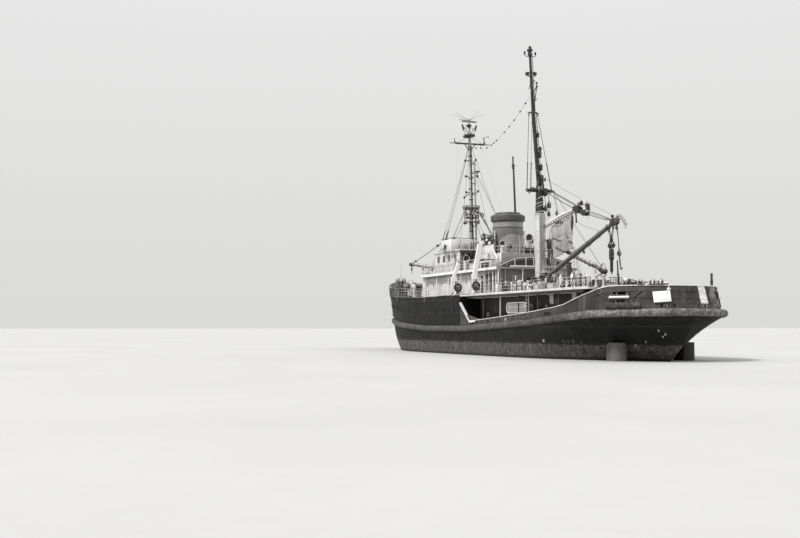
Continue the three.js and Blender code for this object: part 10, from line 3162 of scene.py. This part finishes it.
    # pipes along the deck with clamps
    for x, r in ((-1.9, 0.05), (-1.75, 0.035), (1.2, 0.045)):
        k.tube([(x + (0.02 * math.sin(y)), y, Z + 0.1) for y in np.arange(-12.6, -27.0, -1.2)], r, "grey_gear" if x < 0 else "dark_gear", 8)
    for y in np.arange(-13.0, -26.6, -1.7):
        k.box((-1.82, y, Z + 0.06), (0.34, 0.07, 0.12), "dark_gear", None, 0.015)
        k.box((1.2, y, Z + 0.06), (0.18, 0.07, 0.12), "dark_gear", None, 0.015)
    k.make("upper_deck_pipes", "ship")


upper_deck_gear()


def side_passage():
    """Gear of the open side decks: ladders, pipes under the deck head, rails, lockers and lamps."""
    k = Kit()
    for s in (-1, 1):
        # ladder up through the deck edge's gap, standing just inside the stanchions
        a, b = np.array([s * 5.98, -16.85, main_z(-16.85) + 0.02]), np.array([s * 5.98, -16.85, UPPER_Z - 0.02])
        ladder(k, a, b, 0.46, (0, 1, 0), 0.28, 0.028, "pale_gear", 0.016)
        # pipes under the deck's edge
        for x, z, r in ((5.55, 5.6, 0.05), (5.4, 5.62, 0.035), (5.2, 5.58, 0.06)):
            k.tube([(s * x, y, z + 0.012 * math.sin(y * 1.7)) for y in np.arange(-3.4, -26.4, -1.15)], r, "pale_gear" if r > 0.04 else "grey_gear", 8)
        for y in np.arange(-4.0, -26.0, -1.9):
            k.box((s * 5.38, y, 5.66), (0.56, 0.06, 0.14), "dark_gear", None, 0.015)
        # pale upright pipes that come down from the deck
        for y in (-20.55, -24.5):
            for dy, r in ((-0.22, 0.11), (0.14, 0.09)):
                k.tube([(s * 5.55, y + dy, 5.72), (s * 5.55, y + dy, 4.9), (s * 5.5, y + dy, 4.75)], r, "pale_gear", 10)
                k.lathe((s * 5.55, y + dy, 5.35), (0, 0, 1), [(r - 0.01, 0), (r + 0.05, 0.0), (r + 0.05, 0.05), (r - 0.01, 0.05)], "grey_gear", 12, closed=True)
                k.lathe((s * 5.5, y + dy, 4.68), (0, 0, 1), [(0, 0), (r + 0.02, 0), (r + 0.02, 0.09), (r * 0.6, 0.1), (0, 0.1)], "grey_gear", 12)
        # valves and boxes on the deck house's side
        for i, y in enumerate(np.arange(-5.2, -24.6, -1.55)):
            x = s * (4.36)
            z = main_z(y) + (1.5 if i % 2 else 1.05)
            if i % 4 == 0:
                k.box((x + s * 0.1, y, z), (0.2, 0.36, 0.44), "pale_gear", None, 0.03)
                k.box((x + s * 0.21, y, z), (0.03, 0.28, 0.34), "grey_gear", None, 0.01)
            elif i % 4 == 2:
                k.rod((x, y, z), (x + s * 0.22, y, z), 0.05, "grey_gear", 8)
                wheel(k, (x + s * 0.24, y, z), (s, 0, 0), 0.14, "grey_gear", 5)
            else:
                port(k, (x, y, main_z(y) + 1.45), (s, 0, 0), 0.14, rim="grey_gear")
        for y in (-8.0, -12.5, -18.9, -23.0):
            lamp(k, (s * 5.0, y, 5.42), 0.08, 0.22, "lamp_glass", "dark_gear")
        # frames of the deck's edge
        for y in np.arange(-4.6, -26.2, -1.27):
            k.prism([(4.4, 5.74), (4.4, 5.36), (4.52, 5.62), (5.7, 5.66), (5.74, 5.74)], -0.012, 0.012, "passage_painted_shade", ((0, y, 0), (s, 0, 0), (0, 0, 1), (0, 1, 0)))
    k.make("side_passage_gear", "ship", fix=True)
    # low gear on the side deck: boxes, bitts, fairleads
    k = Kit()
    for s in (-1, 1):
        for y in (-7.9, -20.9):
            bitts(k, (s * 5.55, y, main_z(y) + 0.015), 0, 0.12, 0.5, 0.52, "dark_gear")
        for y, d in ((-10.2, 0.9), (-23.6, 0.8)):
            locker(k, (s * 4.68, y, main_z(y) + 0.015), (0.42, d, 0.55), "pale_gear")
    k.make("side_deck_bitts", "ship")


side_passage()
# ------------------------------------------------------------------ fore deck: windlass, hatch, moorings and kingpost
def deck_point(x, y, up=0.01):
    return np.array([x, y, upper_z(y) + up])


def fore_deck():
    z0 = upper_z(26.7) + 0.03
    winch_details("windlass_details", 0, 26.0, z0)
    k = Kit()
    # bed of the windlass: girders that take up the deck's sheer, with gussets and bolts
    for x in (-0.92, -0.32, 0.32, 0.92):
        k.prism([(25.2, upper_z(25.2) + 0.005), (26.8, upper_z(26.8) + 0.005), (26.76, z0 + 0.015), (25.24, z0 + 0.015)], -0.05, 0.05, "dark_gear", ((x, 0, 0), (0, 1, 0), (0, 0, 1), (1, 0, 0)))
        for y in (25.24, 26.72):
            k.lathe((x, y, z0 + 0.13), (0, 0, 1), [(0, 0), (0.035, 0), (0.03, 0.035), (0, 0.04)], "grey_gear", 6)
    # chain stoppers and lips of the hawse pipes on deck
    for s in (-1, 1):
        c = deck_point(s * 1.3, 28.3)
        k.lathe(c, (s * 0.25, 0.45, 1), [(0.3, -0.14), (0.42, -0.1), (0.46, 0.0), (0.42, 0.1), (0.33, 0.13), (0.27, 0.1), (0.26, -0.1)], "dark_gear", 22, closed=True)
        k.lathe(c, (s * 0.25, 0.45, 1), [(0, -0.02), (0.3, -0.02), (0.3, 0.03), (0.12, 0.05), (0, 0.05)], "black_paint", 18)
        k.bar(c + (-0.32, -0.05, 0.06), c + (0.32, -0.05, 0.06), 0.09, 0.03, "grey_gear")
        q = deck_point(s * 1.08, 27.35)
        for t in (-1, 1):
            k.prism([(-0.3, 0), (0.3, 0), (0.24, 0.3), (0.05, 0.44), (-0.2, 0.4), (-0.28, 0.18)], -0.03, 0.03, "dark_gear", (q + (t * 0.2, 0, 0), (0, 1, 0), (0, 0, 1), (1, 0, 0)))
        k.rod(q + (-0.27, 0.05, 0.33), q + (0.27, 0.05, 0.33), 0.045, "grey_gear", 10)
        k.bar(q + (0, -0.1, 0.2), q + (0, 0.3, 0.42), 0.14, 0.06, "grey_gear")
        k.box(q + (0, 0, 0.02), (0.62, 0.8, 0.04), "dark_gear", None, 0.01)
        wheel(k, q + (s * 0.4, -0.1, 0.36), (s, 0, 0), 0.15, "grey_gear", 5)
        k.rod(q + (s * 0.2, -0.1, 0.36), q + (s * 0.42, -0.1, 0.36), 0.022, "grey_gear", 6)
    k.make("windlass_bed_and_stoppers", "ship")

    k = Kit()
    for s in (-1, 1):
        for x, y, t in ((2.75, 24.4, 6), (1.75, 29.6, 14), (4.5, 19.6, 4), (5.2, 16.2, 0)):
            if x < flared_beam(y) - 0.6:
                bitts(k, deck_point(s * x, y), s * t, 0.14, 0.62, 0.62)
        for y in (21.4, 25.9):
            b = flared_beam(y) - 0.55
            c = deck_point(s * b, y)
            a = math.degrees(math.atan2(flared_beam(y + 0.5) - flared_beam(y - 0.5), 1.0))
            k.lathe(c, (0, 0, 1), [(0, 0), (0.22, 0), (0.22, 0.04), (0.12, 0.08), (0.12, 0.2), (0.2, 0.24), (0.17, 0.3), (0.17, 0.42), (0.22, 0.48), (0.2, 0.52), (0, 0.53)], "dark_gear", 18)
            k.box(c + (0, 0, 0.02), (0.6, 0.6, 0.04), "grey_gear", -s * a, 0.01)
            # oval chock in the bulwark
            p = np.array([s * (flared_beam(y) - 0.02), y, upper_z(y) + 0.42])
            pts = [p + np.array([0, 0.3 * math.cos(q), 0.18 * math.sin(q)]) - (s * (flared_beam(y) - flared_beam(y + 0.3 * math.cos(q))), 0, 0) for q in np.radians(np.linspace(0, 360, 20, endpoint=False))]
            k.tube(pts, 0.05, "dark_gear", 6, closed=True)
    # roller fairlead and jackstaff on the stem head
    top = upper_z(32.0) + 1.06
    for s in (-1, 1):
        fairlead(k, (s * 0.42, 32.05, top), 0, 0.44, 0.34)
    k.rod((0, 32.0, top - 0.9), (0, 32.1, top + 2.05), 0.045, "pale_gear", 10, 0.03)
    k.ball((0, 32.1, top + 2.1), 0.06, "pale_gear", 8)
    for z in (-0.6, -0.12):
        k.ring((0, 32.02, top + z), (0, 0, 1), 0.06, 0.018, "dark_gear", 12)
    for s in (-1, 1):
        k.rod((s * 0.35, 31.6, top - 0.04), (0, 32.06, top + 1.1), 0.02, "pale_gear", 6)
    k.make("bow_mooring_gear", "ship")

    k = Kit()
    # breakwater in two wings, stayed behind
    for s in (-1, 1):
        a, b = deck_point(s * 0.05, 24.0, 0.0), deck_point(s * 3.1, 23.3, 0.0)
        d = unit(b - a)
        n = unit(np.cross(d, (0, 0, 1)))
        l = float(np.linalg.norm(b - a))
        k.prism([(0, 0.0), (l, 0.0), (l, 0.35), (l * 0.85, 0.52), (0, 0.62)], -0.015, 0.015, "bulwark_plating", (a, d, (0, 0, 1), n))
        k.tube([a + (0, 0, 0.62), a + d * l * 0.85 + (0, 0, 0.52), b + (0, 0, 0.35), b + (0, 0, 0.02)], 0.03, "grey_gear", 6)
        for t in (0.12, 0.37, 0.62, 0.87):
            p = a + d * l * t
            k.prism([(0, 0), (0.34, 0), (0, 0.5)], -0.012, 0.012, "grey_gear", (p - np.array([0, 0.015, 0]), (0, -1, 0), (0, 0, 1), d))
    # hatch to the stores, skylight, vents
    c = deck_point(0, 29.6, 0)
    k.box(c + (0, 0, 0.24), (0.95, 0.95, 0.5), "grey_gear", None, 0.03)
    k.box(c + (0, 0, 0.52), (1.05, 1.05, 0.08), "dark_gear", None, 0.03)
    for s in (-1, 1):
        for t in (-0.3, 0.3):
            k.box(c + (s * 0.51, t, 0.42), (0.06, 0.07, 0.2), "dark_gear", None, 0.01)
            k.rod(c + (s * 0.3, t, 0.56), c + (s * 0.3, t, 0.64), 0.02, "grey_gear", 6)
    k.ring(c + (0, 0, 0.6), (1, 0, 0), 0.09, 0.02, "grey_gear", 14)
    for x, y, h, r in ((1.9, 22.9, 1.25, 0.19), (-1.9, 22.9, 1.25, 0.19), (3.6, 17.5, 1.0, 0.18), (-3.6, 17.5, 1.0, 0.18)):
        cowl(k, deck_point(x, y, 0), h, r, 0, "pale_gear")
    for x, y in ((-2.7, 21.4), (2.7, 21.4), (-1.5, 24.9), (1.5, 24.9), (-0.9, 30.9), (0.9, 30.9)):
        mushroom(k, deck_point(x, y, 0), 0.55, 0.15, "grey_gear")
    for s in (-1, 1):
        locker(k, deck_point(s * 2.5, 16.0, 0.02), (1.3, 0.6, 0.7), "white_worn")
        locker(k, deck_point(s * 3.35, 19.9, 0.05), (0.55, 1.2, 0.62), "white_worn")
    k.make("fore_deck_fittings", "ship")

    # coaming: stiffeners, hinge lugs and dogs; the lid carries battens and handles
    hz = upper_z(22.3) + 0.02
    ht = hz + 0.62
    k = Kit()
    for s in (-1, 1):
        for y in np.arange(19.45, 22.3, 0.46):
            k.prism([(0.86, hz + 0.02), (1.04, hz - 0.08), (1.04, hz + 0.06), (0.86, hz + 0.5)], -0.012, 0.012, "dark_gear", ((0, y, 0), (s, 0, 0), (0, 0, 1), (0, 1, 0)))
        k.rod((s * 0.875, 19.4, ht - 0.1), (s * 0.875, 22.2, ht - 0.1), 0.03, "dark_gear", 6)
    for y in (19.28, 22.32):
        for x in (-0.55, 0, 0.55):
            k.box((x, y, hz + 0.28), (0.03, 0.06, 0.5), "dark_gear", None, 0.008)
        k.rod((-0.8, y, ht - 0.1), (0.8, y, ht - 0.1), 0.03, "dark_gear", 6)
    for y in (19.7, 20.3, 20.9, 21.5, 22.0):
        k.box((-0.90, y, ht - 0.13), (0.07, 0.09, 0.16), "grey_gear", None, 0.012)
    k.box((0, 20.8, hz - 0.08), (2.0, 3.1, 0.09), "dark_gear", None, 0.02)
    k.make("hatch_coaming_stiffeners", "ship")
    k = Kit()
    zt = ht + 0.055 + 0.125
    for y in (19.6, 20.2, 20.8, 21.4, 22.0):
        k.bar((-0.84, y, zt + 0.015), (0.86, y, zt + 0.015), 0.07, 0.035, "grey_gear")
    for x in (-0.6, 0.6):
        for y in (19.9, 21.7):
            k.tube([(x - 0.1, y, zt), (x - 0.1, y, zt + 0.09), (x + 0.1, y, zt + 0.09), (x + 0.1, y, zt)], 0.018, "dark_gear", 6)
    k.ring((-0.35, 20.8, zt + 0.05), (0, 1, 0), 0.07, 0.018, "dark_gear", 14)
    for y in (19.9, 20.5, 21.1, 21.7):
        k.lathe((0.3, y, zt - 0.01), (0, 0, 1), [(0, 0), (0.04, 0), (0.04, 0.02), (0, 0.03)], "dark_gear", 8)
    k.make("hatch_lid_fittings", "hatch_lid")

    # kingpost: foot, bands, rungs, cleats, lamp and the truck
    k = Kit()
    kz = upper_z(KING_Y)
    k.lathe((0, KING_Y, kz + 0.02), (0, 0, 1), [(0.31, 0), (0.6, 0), (0.6, 0.05), (0.42, 0.09), (0.38, 0.16), (0.31, 0.18)], "dark_gear", 22, closed=True)
    for i in range(10):
        a = i * math.pi / 5
        k.lathe((math.cos(a) * 0.52, KING_Y + math.sin(a) * 0.52, kz + 0.07), (0, 0, 1), [(0, 0), (0.035, 0), (0.03, 0.035), (0, 0.04)], "grey_gear", 6)
    for a in (45, 135, 225, 315):
        t = math.radians(a)
        d = np.array([math.cos(t), math.sin(t), 0])
        k.prism([(0.29, 0.08), (0.56, 0.08), (0.29, 0.62)], -0.015, 0.015, "grey_gear", ((0, KING_Y, kz), d, (0, 0, 1), np.cross(d, (0, 0, 1))))
    for z, r in ((7.6, 0.31), (8.7, 0.305), (10.4, 0.295), (11.6, 0.285), (12.55, 0.27)):
        k.lathe((0, KING_Y, z), (0, 0, 1), [(r - 0.04, 0), (r, 0.01), (r, 0.08), (r - 0.04, 0.09)], "dark_gear", 20, closed=True)
    for z in np.arange(6.6, 12.4, 0.34):
        r = 0.3 - 0.05 * (z - 6) / 7
        k.tube([(-0.13, KING_Y - r * 0.85, z), (-0.14, KING_Y - r - 0.14, z), (0.14, KING_Y - r - 0.14, z), (0.13, KING_Y - r * 0.85, z)], 0.015, "dark_gear", 5)
    for s in (-1, 1):
        k.bar((s * 0.26, KING_Y + 0.05, 7.35), (s * 0.46, KING_Y + 0.05, 7.35), 0.06, 0.06, "dark_gear")
        k.rod((s * 0.43, KING_Y - 0.14, 7.35), (s * 0.43, KING_Y + 0.24, 7.35), 0.03, "dark_gear", 8)
        k.bar((s * 0.22, KING_Y, 12.35), (s * 0.52, KING_Y, 12.4), 0.07, 0.05, "dark_gear")
        lamp(k, (s * 0.5, KING_Y, 12.05), 0.1, 0.28)
    k.tube([(0.2, KING_Y - 0.22, z) for z in np.linspace(6.5, 12.3, 12)], 0.02, "grey_gear", 6)
    k.lathe((0, KING_Y, 12.98), (0, 0, 1), [(0.18, 0), (0.3, 0.0), (0.3, 0.05), (0.2, 0.1), (0.08, 0.13), (0, 0.14)], "dark_gear", 18)
    k.lathe((0, KING_Y, 13.1), (0, 0, 1), [(0, 0), (0.04, 0), (0.03, 0.5), (0.05, 0.52), (0, 0.56)], "grey_gear", 8)
    k.ring((0, KING_Y + 1.0, 12.82), (1, 0, 0), 0.1, 0.03, "dark_gear", 14)
    k.bar((0, KING_Y + 0.2, 12.3), (0, KING_Y + 0.85, 12.7), 0.1, 0.06, "dark_gear")
    k.make("kingpost_fittings", "ship")

    # rails of the fore deck between the bridge and the bulwark, pipes and pads along the deck
    k = Kit()
    for s in (-1, 1):
        ys = np.linspace(6.6, 18.25, 7)
        rail(k, [deck_point(s * (flared_beam(y) - 0.2), y) for y in ys], 0.95, mat="grey_gear", every=1.45, r=0.018, post=0.025)
        k.tube([deck_point(s * (flared_beam(y) - 0.05), y, 0.02) for y in np.linspace(3.0, 18.3, 20)], 0.03, "grey_gear", 6)
        k.tube([deck_point(s * 1.55, y, 0.1) for y in np.linspace(15.6, 24.8, 12)], 0.04, "grey_gear", 8)
        for y in np.arange(16.2, 24.8, 1.4):
            k.box(deck_point(s * 1.55, y, 0.06), (0.2, 0.07, 0.12), "dark_gear", None, 0.012)
            k.lathe(deck_point(s * 2.1, y, 0.0), (0, 0, 1), [(0, 0), (0.1, 0), (0.1, 0.03), (0, 0.035)], "grey_gear", 8)
            k.ring(deck_point(s * 2.1, y, 0.09), (1, 0, 0), 0.075, 0.02, "dark_gear", 12, 5)
    k.make("fore_deck_rails", "ship")


fore_deck()


# ------------------------------------------------------------------ size and table
print("triangles", sum(COUNTS.values()), sorted(COUNTS.items(), key=lambda c: -c[1])[:8])
